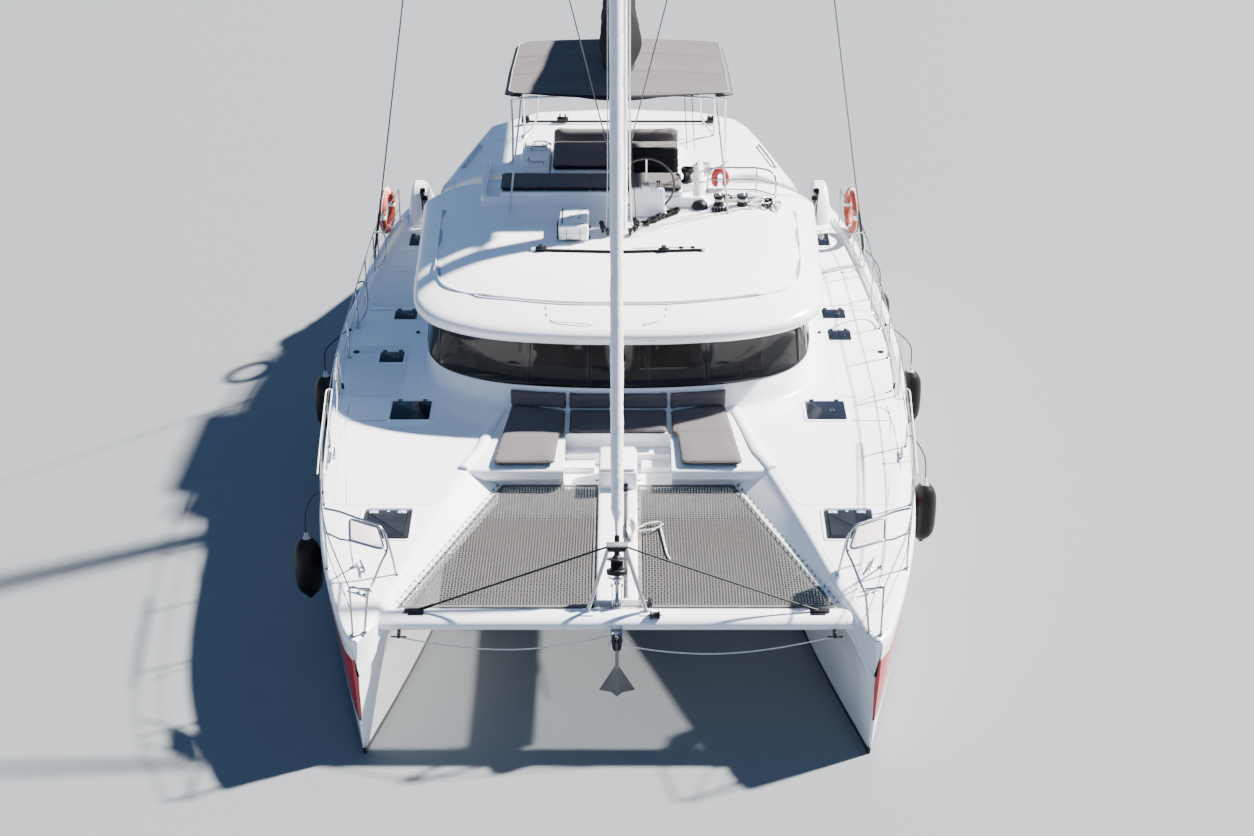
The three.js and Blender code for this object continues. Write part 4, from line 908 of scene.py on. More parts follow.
cabin_glass = tinted_glass("dark window glass", (0.010, 0.010, 0.011), 0.10)
glass_border = surface("black window border", (0.004, 0.004, 0.005), 0.16, mottle=0.2, grain=30, shine=0.2)
glazing = Form()
glass_aft = 1.6
glass_edges = [
    # z, distance out of the wall
    (2.2, 0.002), (2.206, 0.008), (2.245, 0.010), (2.25, 0.008), (2.88, 0.008), (2.885, 0.010),
    (2.919, 0.008),
    (2.925, 0.002),
]
glass_rows = [[p for p in wall_ring(z, out) if p[1] < glass_aft] for z, out in glass_edges]
for low, high, paint in ((0, 3, 1), (3, 4, 0), (4, 7, 1)):
    glazing.skin([glass_rows[k] for k in range(low, high + 1)], loop=False, caps=False, paint=paint)
low_ring, high_ring = glass_rows[3:5]
for x in (-1.17, -0.39, 0.39, 1.17):
    near = min(range(len(low_ring)), key=lambda k: abs(low_ring[k][0] - x) + max(0, low_ring[k][1] + 1.2))
    glazing.tube([low_ring[near], high_ring[near]], 0.006, 6, paint=1)
for k in (6, 9, 13, 16):
    for at in (k, len(low_ring) - 1 - k):
        glazing.tube([low_ring[at], high_ring[at]], 0.006 if at % 2 else 0.02, 6, paint=1)
glazing.piece("window_band", [cabin_glass, glass_border], "glass", ["window_glazing"], sharp=50)

# Inside the saloon
# Pale panels stand inside the front glass at both sides, cut to the grey patches the glass shows there:
# a painted reflection, drawn as sunshades. A chart table and its screen stand in the middle, all dim behind
# the tint. The furniture is veneered joinery on one base.
painted_reflection_cloth = surface("silver painted reflection panel", (0.42, 0.42, 0.41), 0.7, mottle=0.1, mottle_scale=6, grain=60,
                      depth=0.002)
reflection_panel_inset = 0.16
reflection_panel_corners = [
    # side, then x and z of each corner
    (-1, ((1.95, 2.86), (1.30, 2.90), (0.80, 2.80), (0.62, 2.45), (0.98, 2.30), (1.60, 2.33), (2.05, 2.62))),
    (1, ((1.05, 2.88), (1.95, 2.86), (2.12, 2.60), (1.90, 2.36), (1.25, 2.28), (0.92, 2.55))),
]
reflection_panels = Form()
for side, corners in reflection_panel_corners:
    ring = []
    for x, z in corners:
        half, nose = between(wall_table, z)
        back = eased(plan_rows, min(0.999, x / (half - reflection_panel_inset)), 1)
        ring.append((x * side, nose + reflection_panel_inset + back, z))
    middle = [sum(p[i] for p in ring) / len(ring) for i in range(3)]
    reflection_panels.add(ring + [middle], [(k, (k + 1) % len(ring), len(ring)) for k in range(len(ring))])
reflection_panels.piece("saloon_painted_reflection_panels", [painted_reflection_cloth], "fabric", sharp=60)
veneer = planked("satin oak veneer", (0.36, 0.24, 0.14))
furniture = nodes["saloon_furniture"]
furniture.data.materials.clear()
furniture.data.materials.append(veneer)
easing = furniture.modifiers.new("rounded edges", "BEVEL")
easing.width = 0.012
easing.segments = 2

# Sliding door
# A framed pane that runs on the rail behind the aft bulkhead.
door = Form()
for x0, x1, z0, z1 in ((-1.4, -1.33, 1.1255, 2.885), (-0.47, -0.40, 1.1255, 2.885),
                       (-1.34, -0.46, 1.1255, 1.21), (-1.34, -0.46, 2.81, 2.885)):
    door.block((x0, 2.258, z0), (x1, 2.29, z1), soft=0.004, paint=1)
door.block((-1.335, 2.268, 1.205), (-0.465, 2.28, 2.815), soft=0.002, paint=0)
door.block((-1.372, 2.29, 1.95), (-1.352, 2.315, 2.15), soft=0.006, paint=1)
door.piece("saloon_door_leaf", [cabin_glass, glass_border], "glass", ["saloon_door"], body="saloon_door")
aft_pane = Form()
aft_pane.block((-0.36, 2.222, 1.94), (1.51, 2.232, 2.81), soft=0.002)
aft_pane.piece("aft_window_pane", [cabin_glass], "glass")

# Coachroof
# One white lid over the cabin with a rounded overhanging rim. A drain groove follows its edge: a grey strip
# between two white ridges, its grey a painted shade of the groove's hollow. A thin grey line of painted shade
# marks a faint access panel in the front slope.
roof_levels = [
    # z, half width, nose y
    (2.9353, 2.690, -2.090), (2.945, 2.735, -2.145), (2.97, 2.762, -2.178), (3.02, 2.776, -2.192),
    (3.07, 2.775, -2.190), (3.11, 2.760, -2.166), (3.15, 2.722, -2.105), (3.20, 2.655, -1.970),
    (3.24, 2.590, -1.840), (3.28, 2.513, -1.712), (3.315, 2.440, -1.585), (3.355, 2.345, -1.415),
    (3.39, 2.250, -1.250), (3.418, 2.130, -1.050), (3.434, 2.000, -0.850), (3.4405, 1.850, -0.600),
]
roof = Form()
roof_rings = [plan_curve(half, nose, z) for z, half, nose in roof_levels]
under_rings = [plan_curve(2.47, -1.77, 2.9353), plan_curve(2.45, -1.75, 2.96), plan_curve(2.40, -1.70, 3.08)]
roof.skin(under_rings[::-1] + roof_rings)


# Grey that paints the shade in the hollow of a groove, on the roof and on the side decks.
painted_groove_shade = surface("grey painted groove shade", (0.40, 0.42, 0.45), 0.5, mottle=0.1, mottle_scale=4, grain=80)
groove_line = [(2.52, 1.46), (2.50, 0.6), (2.45, -0.5), (2.30, -1.01), (1.97, -1.26), (1.57, -1.42),
               (0.77, -1.58), (0, -1.61)]
groove_line += [(-x, y) for x, y in groove_line[-2::-1]]
groove_path = smooth_path([(x, y, 0) for x, y in groove_line], 8)


def on_ring_height(p):
    """Height by the nearest loft ring, for lines that follow the rim."""
    best, height = 9, 3.3
    for ring in roof_rings[6:]:
        for q in ring[::2]:
            d = (q[0] - p[0]) ** 2 + (q[1] - p[1]) ** 2
            if d < best:
                best, height = d, q[2]
    return height


groove = [(p.x, p.y, on_ring_height(p)) for p in groove_path]
groove = smooth_path(groove[::4] + [groove[-1]], 6)
roof.tube([(p[0], p[1], p[2] - 0.003) for p in groove], 0.021, 8, paint=1, flat=0.42)
for shift in (-0.034, 0.034):
    ridge = []
    for i, p in enumerate(groove):
        run = (Vector(groove[min(i + 1, len(groove) - 1)]) - Vector(groove[max(i - 1, 0)])).normalized()
        side = Vector((run.y, -run.x, 0)).normalized()
        ridge.append(Vector(p) + side * shift + Vector((0, 0, -0.006 - shift * 0.5)))
    roof.tube(ridge, 0.012, 8)
panel_line = smooth_path([(-0.95, -1.66, 0), (-0.93, -1.84, 0), (-0.82, -1.97, 0), (-0.4, -2.03, 0),
                          (0, -2.05, 0), (0.3, -2.04, 0), (0.55, -1.95, 0), (0.62, -1.84, 0),
                          (0.64, -1.66, 0)], 5)
roof.tube([(p.x, p.y, on_ring_height(p) + 0.001) for p in panel_line], 0.006, 6, paint=1)
roof.piece("coachroof_shell", [gelcoat, painted_groove_shade], "gelcoat", ["coachroof"], sharp=40)

# Flybridge and hardtop
# One large white moulding: the hardtop over the cockpit, the tub of the flybridge let into it with walls
# on three sides, the seat boxes with a cove in front, and a drooping wing at each side. Posts carry it aft.
hardtop_rows = [
    # x, front y, aft y, top z
    (-2.64, 2.33, 2.46, 3.300),
    (-2.40, 2.44, 3.30, 3.360),
    (-2.15, 2.55, 4.20, 3.410),
    (-1.99, 2.60, 4.73, 3.440),
    (-1.26, 2.25, 5.235, 3.485),
    (0.0, 2.25, 5.365, 3.490),
    (1.25, 2.25, 5.24, 3.485),
    (1.90, 2.66, 4.95, 3.450),
    (2.15, 2.55, 4.20, 3.410),
    (2.40, 2.44, 3.30, 3.360),
    (2.64, 2.33, 2.46, 3.300),
]
hardtop_thick = 0.15
hardtop_soft = 0.028
hardtop_lip = 0.045
flybridge = Form()
hardtop_rings = []
wing_steps = [-2.64, -2.628, -2.60, -2.52, -2.40, -2.28, -2.15, -2.07, -1.99, -1.80, -1.55, -1.26, -0.6]
for x in wing_steps + [0.0] + [-step for step in wing_steps[::-1]]:
    front, back, top = between(hardtop_rows, x)
    edge = min(1.0, (2.64 - abs(x)) / 0.04 + 0.25)
    low = top - hardtop_thick
    middle = (top + low) / 2
    profile = [(front + hardtop_soft, low), (front + 0.006, low + hardtop_soft), (front, middle),
               (front + 0.006, top - hardtop_soft), (front + hardtop_soft, top - 0.004), (front + 0.07, top)]
    for t in (k / 8 for k in range(1, 8)):
        profile.append((front + 0.07 + (back - front - 0.25) * t, top + 0.012 * math.sin(math.pi * t)))
    profile += [(back - 0.18, top), (back - 0.10, top - 0.004), (back - hardtop_lip, top - 0.02),
                (back - 0.012, top - 0.05), (back, middle), (back - 0.012, low + hardtop_soft),
                (back - hardtop_lip, low)]
    hardtop_rings.append([(x, y, middle + (z - middle) * edge) for y, z in profile])
flybridge.skin(hardtop_rings)


def swept_wall(form, rows):
    """A moulded wall with a rounded top along a path."""
    path = smooth_path([row[:2] + (0,) for row in rows], 6)
    half, foot, top = ([p[2] for p in smooth_path([(0, 0, row[i]) for row in rows], 6)] for i in (2, 3, 4))
    rings = []
    for i, point in enumerate(path):
        run = (path[min(i + 1, len(path) - 1)] - path[max(i - 1, 0)]).normalized()
        side = Vector((-run.y, run.x, 0))
        shape = [(-1, foot[i]), (-1, top[i] - 0.035), (-0.93, top[i] - 0.013), (-0.6, top[i] - 0.002),
                 (0, top[i]), (0.6, top[i] - 0.002), (0.93, top[i] - 0.013), (1, top[i] - 0.035),
                 (1, foot[i])]
        rings.append([(point.x + side.x * s * half[i], point.y + side.y * s * half[i], z) for s, z in shape])
    form.skin(rings)


wall_rows = [
    # x, y, half thickness, foot z, top z
    (-1.945, 2.84, 0.042, 3.36, 3.47), (-1.945, 2.70, 0.043, 3.36, 3.62), (-1.945, 2.40, 0.044, 3.38, 3.640),
    (-1.945, 1.80, 0.044, 3.40, 3.640), (-1.943, 1.45, 0.044, 3.40, 3.625), (-1.90, 1.36, 0.040, 3.40, 3.605),
    (-1.80, 1.331, 0.030, 3.40, 3.600), (-1.0, 1.330, 0.030, 3.40, 3.600), (0.0, 1.330, 0.030, 3.40, 3.600),
    (1.0, 1.330, 0.030, 3.40, 3.600), (1.15, 1.345, 0.036, 3.40, 3.600), (1.195, 1.42, 0.043, 3.40, 3.600),
    (1.205, 1.80, 0.044, 3.40, 3.600), (1.205, 2.50, 0.044, 3.38, 3.600), (1.205, 2.86, 0.043, 3.36, 3.585),
    (1.205, 3.00, 0.042, 3.36, 3.46),
]
swept_wall(flybridge, wall_rows)
flybridge_boxes = [
    # two corners, rounding, steps of the rounding; floor, bench box, sunpad box, cove, steps, treads, track
    ((-1.985, 1.305, 3.405), (1.245, 2.30, 3.490), 0.02, 2),
    ((-1.70, 1.335, 3.46), (0.91, 2.085, 3.664), 0.022, 3),
    ((-1.0, 2.12, 3.46), (0.90, 3.44, 3.649), 0.022, 3),
    ((-0.93, 1.302, 3.430), (1.16, 1.312, 3.436), 0.002, 1),
    ((-1.45, 2.24, 3.47), (-1.02, 3.36, 3.665), 0.03, 3),
    ((-1.40, 2.98, 3.655), (-1.07, 3.32, 3.70), 0.02, 2),
    ((-1.40, 2.30, 3.655), (-1.07, 2.56, 3.69), 0.02, 2),
    ((-1.52, 4.54, 3.45), (1.50, 4.66, 3.515), 0.02, 3),
]
for first, second, soft, steps in flybridge_boxes:
    flybridge.block(first, second, soft, steps=steps)


def to_side(side, *points):
    """Points given for the port side, on the side asked for."""
    return [(x * side, y, z) for x, y, z in points]


for side in (-1, 1):
    flybridge.tube(to_side(side, (2.33, 4.48, 1.86), (2.20, 4.35, 2.58), (2.04, 4.20, 3.36)), 0.038, 16)
    flybridge.turned([(0.060, 0), (0.060, 0.008), (0.052, 0.014), (0.040, 0.02), (0.040, 0.05)],
                     (2.333 * side, 4.483, 1.868), (-0.19 * side, -0.19, 0.96), 20)
flybridge.piece("flybridge_moulding", [gelcoat], "gelcoat", ["flybridge"], sharp=34)

# Hardtop joints and handholds
# The hardtop's edge panels meet in fine sealed joints. Each wing has a long handhold rail let into it, and a
# ring of dark sealant shows round its pocket.
joint_grey = surface("grey joint sealant", (0.20, 0.21, 0.22), 0.7, mottle=0.2, mottle_scale=9, grain=90)
joints = Form()
seams = [
    # height above the hardtop, radius, then x and y along the seam
    (0.009, 0.005, ((2.07, 3.445), (1.75, 3.72), (1.438, 3.955))),
    (0.011, 0.004, ((1.957, 3.869), (1.55, 4.12), (1.158, 4.346))),
]
wing_seam_x = 2.44
front, back, top = between(hardtop_rows, wing_seam_x)
for side in (-1, 1):
    for rise, radius, seam in seams:
        joints.tube([(x * side, y, between(hardtop_rows, x * side)[2] + rise) for x, y in seam], radius, 6,
                    flat=0.4)
    joints.tube([(wing_seam_x * side, front + y, top + z)
                 for y, z in ((0.10, 0.004), (0.02, -0.012), (-0.001, -0.05), (-0.001, -0.11))], 0.005, 6)
joints.piece("hardtop_joints", [joint_grey], "black")
handholds = Form()
pocket_rings = Form()
for side in (-1, 1):
    a, b = Vector((2.335 * side, 2.98, 3.378)), Vector((2.125 * side, 3.80, 3.418))
    run = (b - a).normalized()
    out = run.cross(Vector((0, 0, 1))).normalized() * 0.034
    ring = [p + Vector((0, 0, 0.010)) for p in (a - out, a + out, b + out, b - out)]
    pocket_rings.tube(ring, 0.006, 6, closed=True)
    bar = [end + run * along + Vector((0, 0, rise)) for end, along, rise in (
        (a, 0.03, 0), (a, 0.05, 0.040), (a, 0.10, 0.050), (b, -0.10, 0.050), (b, -0.05, 0.040),
        (b, -0.03, 0))]
    handholds.tube(smooth_path(bar, 4), 0.014, 10)
pocket_rings.piece("handhold_pocket_rings", [joint_grey], "black")
steel = surface("polished stainless steel", (0.46, 0.47, 0.49), 0.20, metal=1.0, mottle=0.05, mottle_scale=6,
                grain=140, depth=0.0003, rough_play=0.06)
handholds.piece("wing_handholds", [steel], "steel")

# Steps up to the sunpad
# A white moulded pair of steps stands at the starboard side of the sunpad, with a loop handle on each tread.
tread_loops = Form()
for points in ([(-1.27, 3.16), (-1.12, 3.18), (-1.10, 2.99), (-1.30, 2.96)],
               [(-1.33, 2.52), (-1.33, 2.36), (-1.12, 2.34)]):
    loop = [(*points[0], 3.68)] + [(x, y, 3.735) for x, y in points] + [(*points[-1], 3.68)]
    tread_loops.tube(smooth_path(loop, 5), 0.013, 8)
tread_loops.piece("sunpad_step_handles", [steel], "steel")

# Mainsheet traveller
# A black T-section track runs across the hardtop, with a car on it, its blocks, and end fittings.
traveller = Form()
traveller.block((-1.50, 4.585, 3.512), (1.48, 4.619, 3.542), soft=0.006)
traveller.block((-0.98, 4.55, 3.542), (-0.80, 4.655, 3.592), soft=0.014)
for x in (-1.50, -1.44, 1.40, 1.46):
    traveller.block((x - 0.035, 4.56, 3.512), (x + 0.035, 4.645, 3.575), soft=0.012)
    traveller.turned([(0.004, -0.018), (0.030, -0.018), (0.022, -0.008), (0.022, 0.008), (0.030, 0.018),
                      (0.004, 0.018)], (x, 4.60, 3.592), (0, 1, 0), 16)
for dx in (-0.04, 0.04):
    traveller.turned([(0.004, -0.014), (0.034, -0.014), (0.026, -0.006), (0.026, 0.006), (0.034, 0.014),
                      (0.004, 0.014)], (-0.89 + dx, 4.60, 3.625), (1, 0, 0), 16)
traveller.piece("mainsheet_traveller", [black_plastic], "black")

# Helm console
# A pale moulded pedestal with a sloping hood. On the helmsman's side it carries two blank dark displays, a
# row of push buttons, the engine levers and the hub of the wheel.
console_rows = [
    # z, then the two values of x and of y
    (3.455, (0.12, 0.68), (0.94, 1.32)), (3.475, (0.115, 0.685), (0.935, 1.325)),
    (3.50, (0.14, 0.66), (0.946, 1.20)), (3.58, (0.150, 0.650), (0.950, 1.060)),
    (3.78, (0.150, 0.650), (0.950, 1.045)), (3.84, (0.155, 0.645), (0.953, 1.043)),
    (3.865, (0.170, 0.630), (0.965, 1.030)), (3.872, (0.20, 0.60), (0.985, 1.015)),
]
console = Form()
console.skin([[(x, y, z) for x, y in squared_ring(28, xs, ys, (0.3, 0.4))] for z, xs, ys in console_rows])
console.block((0.325, 0.955, 3.80), (0.455, 1.044, 3.905), soft=0.02, steps=3)
console_grey = surface("pale grey console gelcoat", (0.66, 0.68, 0.70), 0.34, coat=0.3, mottle=0.03,
                       grain=120)
console.piece("helm_console", [console_grey], "gelcoat", sharp=34)
dials = Form()
dials.block((0.175, 1.040, 3.66), (0.315, 1.052, 3.765), soft=0.004)
dials.block((0.475, 1.040, 3.66), (0.625, 1.052, 3.765), soft=0.004)
for k in range(5):
    dials.turned([(0.010, 0), (0.010, 0.006), (0.007, 0.009)], (0.19 + 0.028 * k, 1.045, 3.635), (0, 1, 0),
                 12)
dials.turned([(0.022, 0), (0.022, 0.018), (0.056, 0.02), (0.060, 0.028), (0.058, 0.036), (0.03, 0.038)],
             (0.39, 1.018, 3.62), (0, 1, 0), 20)
for x in (0.545, 0.575):
    dials.tube([(x, 1.02, 3.868), (x, 1.0, 3.91), (x, 0.985, 3.955)], [0.008, 0.007, 0.006], 8)
    dials.turned([(0.006, 0), (0.015, 0.01), (0.017, 0.025), (0.012, 0.038), (0.003, 0.042)],
                 (x, 0.985, 3.95), sides=12)
dials.piece("helm_displays_and_levers", [black_plastic], "black")

# Steering wheel
# A large stainless wheel: three flat spokes to a hub, and a rim bound in dark leather with a stitched joint.
wheel_middle = Vector((0.390, 1.090, 3.880))
leather = surface("dark bound leather", (0.022, 0.020, 0.019), 0.45, mottle=0.3, mottle_scale=30, grain=420,
                  depth=0.0012)
wheel_radius = 0.395
stitch_half = Vector((0.0028, 0.0035, 0.0028))
wheel = Form()


def from_hub(a):
    """The direction out from the wheel's hub at an angle."""
    return Vector((math.cos(a), 0, math.sin(a)))


rim_sizes = [0.0148 if math.cos(a - 0.2) > -0.93 else 0.0122 for a in circle(96)]
wheel.tube([wheel_middle + from_hub(a) * wheel_radius for a in circle(96)], rim_sizes, 12, paint=1,
           closed=True)
for degrees in (90, 210, 330):
    out = from_hub(math.radians(degrees))
    wheel.tube([wheel_middle + out * r for r in (0.03, 0.10, 0.25, 0.36, 0.388)],
               [0.017, 0.013, 0.011, 0.012, 0.015], 8, flat=0.6)
wheel.turned([(0.010, -0.031), (0.045, -0.031), (0.045, 0.012), (0.036, 0.020), (0.020, 0.024),
              (0.004, 0.025)],
             wheel_middle, (0, 1, 0), 24)
for k in range(48):
    stitch = wheel_middle + from_hub(2 * math.pi * (k + 0.5) / 48) * 0.3812
    wheel.block(stitch - stitch_half, stitch + stitch_half, soft=0.001, paint=2, steps=1)
thread = surface("pale thread", (0.42, 0.41, 0.38), 0.8, mottle=0.2, grain=300)
wheel.piece("wheel_with_leather_rim", [steel, leather, thread], "steel", ["steering_wheel"],
            body="steering_wheel")

# Flybridge cushions
# The front bench, the sunpad with its bolster and the helm backrest are foam in marine canvas: crowned
# pads with a welted edge and sewn channels, taupe on top; their dark charcoal sides are painted shade. They
# lie loose.
taupe_canvas = surface("taupe marine canvas", (0.098, 0.087, 0.090), 0.9, mottle=0.07, mottle_scale=2.2,
                       grain=520, depth=0.0012, sheen=0.06, shine=0.2)
charcoal_canvas_and_painted_shade = surface("charcoal marine canvas and painted shade", (0.012, 0.012, 0.016), 0.88, mottle=0.18, mottle_scale=3,
                          grain=520, depth=0.0012, sheen=0.03, shine=0.12)
black_canvas = surface("black soft vinyl", (0.006, 0.006, 0.008), 0.6, mottle=0.2, mottle_scale=5, grain=260,
                       depth=0.0012, sheen=0.02, shine=0.12)
pad_voxel = 0.017
swell_frames = 20


def rounded_outline(corners, radius, steps=5):
    """A plan outline with each corner rounded off."""
    outline = []
    for i, corner in enumerate(corners):
        here = Vector(corner)
        before = (Vector(corners[i - 1]) - here).normalized()
        after = (Vector(corners[(i + 1) % len(corners)]) - here).normalized()
        reach = radius / max(0.2, math.tan(before.angle(after) / 2))
        a, b = here + before * reach, here + after * reach
        outline += [tuple(a.lerp(here, t).lerp(here.lerp(b, t), t))
                    for t in (k / steps for k in range(steps + 1))]
    return outline


def stuffed(name, form, voxel, cap, low=None):
    """Foam in its cover: the shape is filled like a balloon, and no point moves further than cap."""
    mesh = bpy.data.meshes.new(name)
    mesh.from_pydata(form.points, [], form.faces)
    pad = placed(name, mesh)
    remesh = pad.modifiers.new("cover", "REMESH")
    remesh.mode = "VOXEL"
    remesh.voxel_size = voxel
    start = bpy.data.meshes.new_from_object(pad.evaluated_get(bpy.context.evaluated_depsgraph_get()))
    pad.modifiers.remove(remesh)
    pad.data = start
    still = [v.co.copy() for v in start.vertices]
    cloth = pad.modifiers.new("swell", "CLOTH")
    cloth.settings.use_pressure = True
    cloth.settings.uniform_pressure_force = 4
    cloth.settings.effector_weights.gravity = 0
    cloth.settings.quality = 4
    cloth.point_cache.frame_start = 1
    cloth.point_cache.frame_end = swell_frames
    for step in range(1, swell_frames + 1):
        bpy.context.scene.frame_set(step)
    swollen = pad.evaluated_get(bpy.context.evaluated_depsgraph_get()).to_mesh()
    moved = []
    for p, v in zip(still, swollen.vertices):
        shift = v.co - p
        moved.append(p + shift * min(1, cap / max(shift.length, 1e-9)))
    pad.modifiers.remove(cloth)
    bpy.context.scene.frame_set(1)
    for v, p in zip(start.vertices, moved):
        v.co = p if low is None else (p.x, p.y, max(p.z, low))
    return pad


def pad_finish(pad, paints, replaced, channels, rise=0.6):
    """Sews the channels, paints the sides and, with a second paint, the top, and smooths the pad. A dark side
    paint is painted shade.
    """
    shape = bmesh.new()
    shape.from_mesh(pad.data)
    bmesh.ops.smooth_vert(shape, verts=shape.verts, factor=0.5, use_axis_x=True, use_axis_y=True,
                          use_axis_z=True)
    shape.normal_update()
    for corner in shape.verts:
        for axis, place, width, depth in channels:
            near = (corner.co[axis] - place) / width
            if abs(near) < 3:
                corner.co -= corner.normal * depth * math.exp(-near * near)
    shape.to_mesh(pad.data)
    shape.free()
    mesh = pad.data
    mesh.materials.clear()
    for paint in paints:
        mesh.materials.append(paint)
    if len(paints) > 1:
        for face in mesh.polygons:
            face.material_index = 1 if face.normal.z > rise else 0
    mesh.polygons.foreach_set("use_smooth", [True] * len(mesh.polygons))
    smooth = pad.modifiers.new("smooth cover", "SUBSURF")
    smooth.levels = smooth.render_levels = 1
    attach(pad, "root")
    if replaced:
        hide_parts(*replaced)


def welt(name, pad, outline, top, paint, radius=0.006):
    """A sewn piping that follows the pad's upper edge."""
    tree = BVHTree.FromPolygons([v.co for v in pad.data.vertices],
                                [face.vertices for face in pad.data.polygons])
    path = []
    corners = [Vector((x, y, top - 0.02)) for x, y in outline]
    middle = sum(corners, Vector((0, 0, 0))) / len(corners)
    for here, after in zip(corners, corners[1:] + corners[:1]):
        steps = max(1, int((after - here).length / 0.12))
        for k in range(steps):
            out = here.lerp(after, k / steps)
            path.append(tree.find_nearest(out + (out - middle).normalized() * 0.02)[0])
    piping = Form()
    piping.tube(path, radius, 8, closed=True)
    piping.piece(name, [paint], "fabric")


def pad_shape(outline, low, high, soft=0.03, inset=0.0):
    """A plain slab with softened edges, from which a pad is stuffed."""
    form = Form()
    rings = []
    for pull, z in ((soft, low), (soft * 0.3, low + soft * 0.3), (0, low + soft), (0, high - soft),
                    (soft * 0.3, high - soft * 0.3), (soft, high)):
        rings.append([(x, y, z) for x, y in inset_outline(outline, pull + inset)])
    form.skin(rings)
    return form


def rectangle(low_x, high_x, low_y, high_y):
    """The corners of a rectangle in plan."""
    return [(low_x, low_y), (high_x, low_y), (high_x, high_y), (low_x, high_y)]


# Charcoal on the cushions' sides is painted shade; their tops are taupe.
canvas_with_painted_shade_sides = [charcoal_canvas_and_painted_shade, taupe_canvas]
bench_outline = rounded_outline(rectangle(-1.715, 0.925, 1.325, 1.955), 0.07)
bench_shape = pad_shape(bench_outline, 3.672, 3.738, inset=0.012)
bench_pad = stuffed("flybridge_bench_cushion", bench_shape, pad_voxel * 1.2, 0.014, 3.667)
pad_finish(bench_pad, canvas_with_painted_shade_sides, ["flybridge_bench"],
           [(0, -0.415, 0.014, 0.016), (0, 0.30, 0.014, 0.012), (0, -1.07, 0.014, 0.010)])
welt("bench_cushion_welt", bench_pad, bench_outline, 3.745, charcoal_canvas_and_painted_shade)
sunpad_outline = rounded_outline(rectangle(-0.995, 0.895, 2.185, 3.235), 0.06)
sunpad_shape = pad_shape(sunpad_outline, 3.657, 3.738, inset=0.012)
sunpad = stuffed("flybridge_sunpad_cushion", sunpad_shape, pad_voxel * 1.2, 0.015, 3.652)
pad_finish(sunpad, canvas_with_painted_shade_sides, ["flybridge_sunpad"], [(0, -0.05, 0.014, 0.016), (1, 2.70, 0.014, 0.012)])
welt("sunpad_welt", sunpad, sunpad_outline, 3.745, charcoal_canvas_and_painted_shade)
bolster_shape = Form()
bolster_rings = []
for x in (-0.985, -0.96, -0.90, -0.5, -0.05, 0.40, 0.80, 0.86, 0.885):
    pull = 0.03 * max(0, abs(x + 0.05) - 0.85) / 0.085
    bolster_rings.append([(x, y, z) for y, z in [
        (3.262 + pull, 3.662), (3.425 - pull, 3.662), (3.425 - pull, 3.80), (3.405 - pull, 3.865 - pull),
        (3.365, 3.885 - pull), (3.315 + pull, 3.875 - pull), (3.275 + pull, 3.80)]])
bolster_shape.skin(bolster_rings)
bolster = stuffed("sunpad_bolster", bolster_shape, pad_voxel, 0.014, 3.652)
pad_finish(bolster, [taupe_canvas], [], [(0, -0.05, 0.012, 0.014)])
seat_shape = Form()
seat_rings = []
for x in (0.165, 0.18, 0.22, 0.40, 0.52, 0.64, 0.82, 0.86, 0.875):
    pull = 0.022 * max(0, abs(x - 0.52) - 0.30) / 0.055
    seat_rings.append([(x, y, z) for y, z in [
        (1.985 + pull, 3.685), (2.045 - pull, 3.685), (2.070 - pull, 3.90), (2.075 - pull, 4.065 - pull),
        (2.050, 4.100 - pull), (2.022 + pull, 4.070 - pull), (2.000 + pull, 3.90)]])
seat_shape.skin(seat_rings)
helm_back = stuffed("helm_backrest", seat_shape, 0.013, 0.012)
pad_finish(helm_back, [black_canvas], ["helm_seat"], [(2, 3.78, 0.012, 0.010), (2, 3.93, 0.012, 0.008)])
brackets = Form()
for x in (0.30, 0.74):
    brackets.tube([(x, 2.075, 3.67), (x, 2.085, 3.80), (x, 2.078, 3.86)], 0.012, 8)
    brackets.turned([(0.028, 0), (0.028, 0.005), (0.016, 0.010)], (x, 2.075, 3.6655), sides=14)
brackets.piece("helm_backrest_brackets", [steel], "steel")

# Flybridge rail
# A bent stainless rail guards the port side, where the steps come up: a hoop on three legs with a middle bar.
fly_rail = Form()
fly_rail.tube(smooth_path([(1.29, 1.95, 3.45), (1.29, 1.95, 3.64), (1.33, 1.95, 3.762), (1.45, 1.95, 3.80),
                           (1.80, 1.945, 3.80), (2.00, 1.935, 3.80), (2.16, 1.87, 3.79), (2.245, 1.80, 3.74),
                           (2.27, 1.77, 3.62), (2.27, 1.77, 3.30)], 4), 0.0145, 10)
fly_rail.tube([(1.29, 1.95, 3.62), (2.00, 1.935, 3.62), (2.268, 1.772, 3.61)], 0.011, 8)
fly_rail.tube([(2.00, 1.937, 3.80), (2.00, 1.94, 3.40)], 0.0125, 10)
fly_rail.tube([(1.29, 1.95, 3.47), (2.00, 1.94, 3.462), (2.268, 1.772, 3.44)], 0.010, 8)
for x, y, z in ((1.29, 1.95, 3.42), (2.00, 1.94, 3.36), (2.27, 1.77, 3.27)):
    fly_rail.turned([(0.034, 0), (0.034, 0.006), (0.020, 0.012), (0.018, 0.030)], (x, y, z), sides=16)
fly_rail.piece("flybridge_port_rail", [steel], "steel", ["flybridge_rail"])

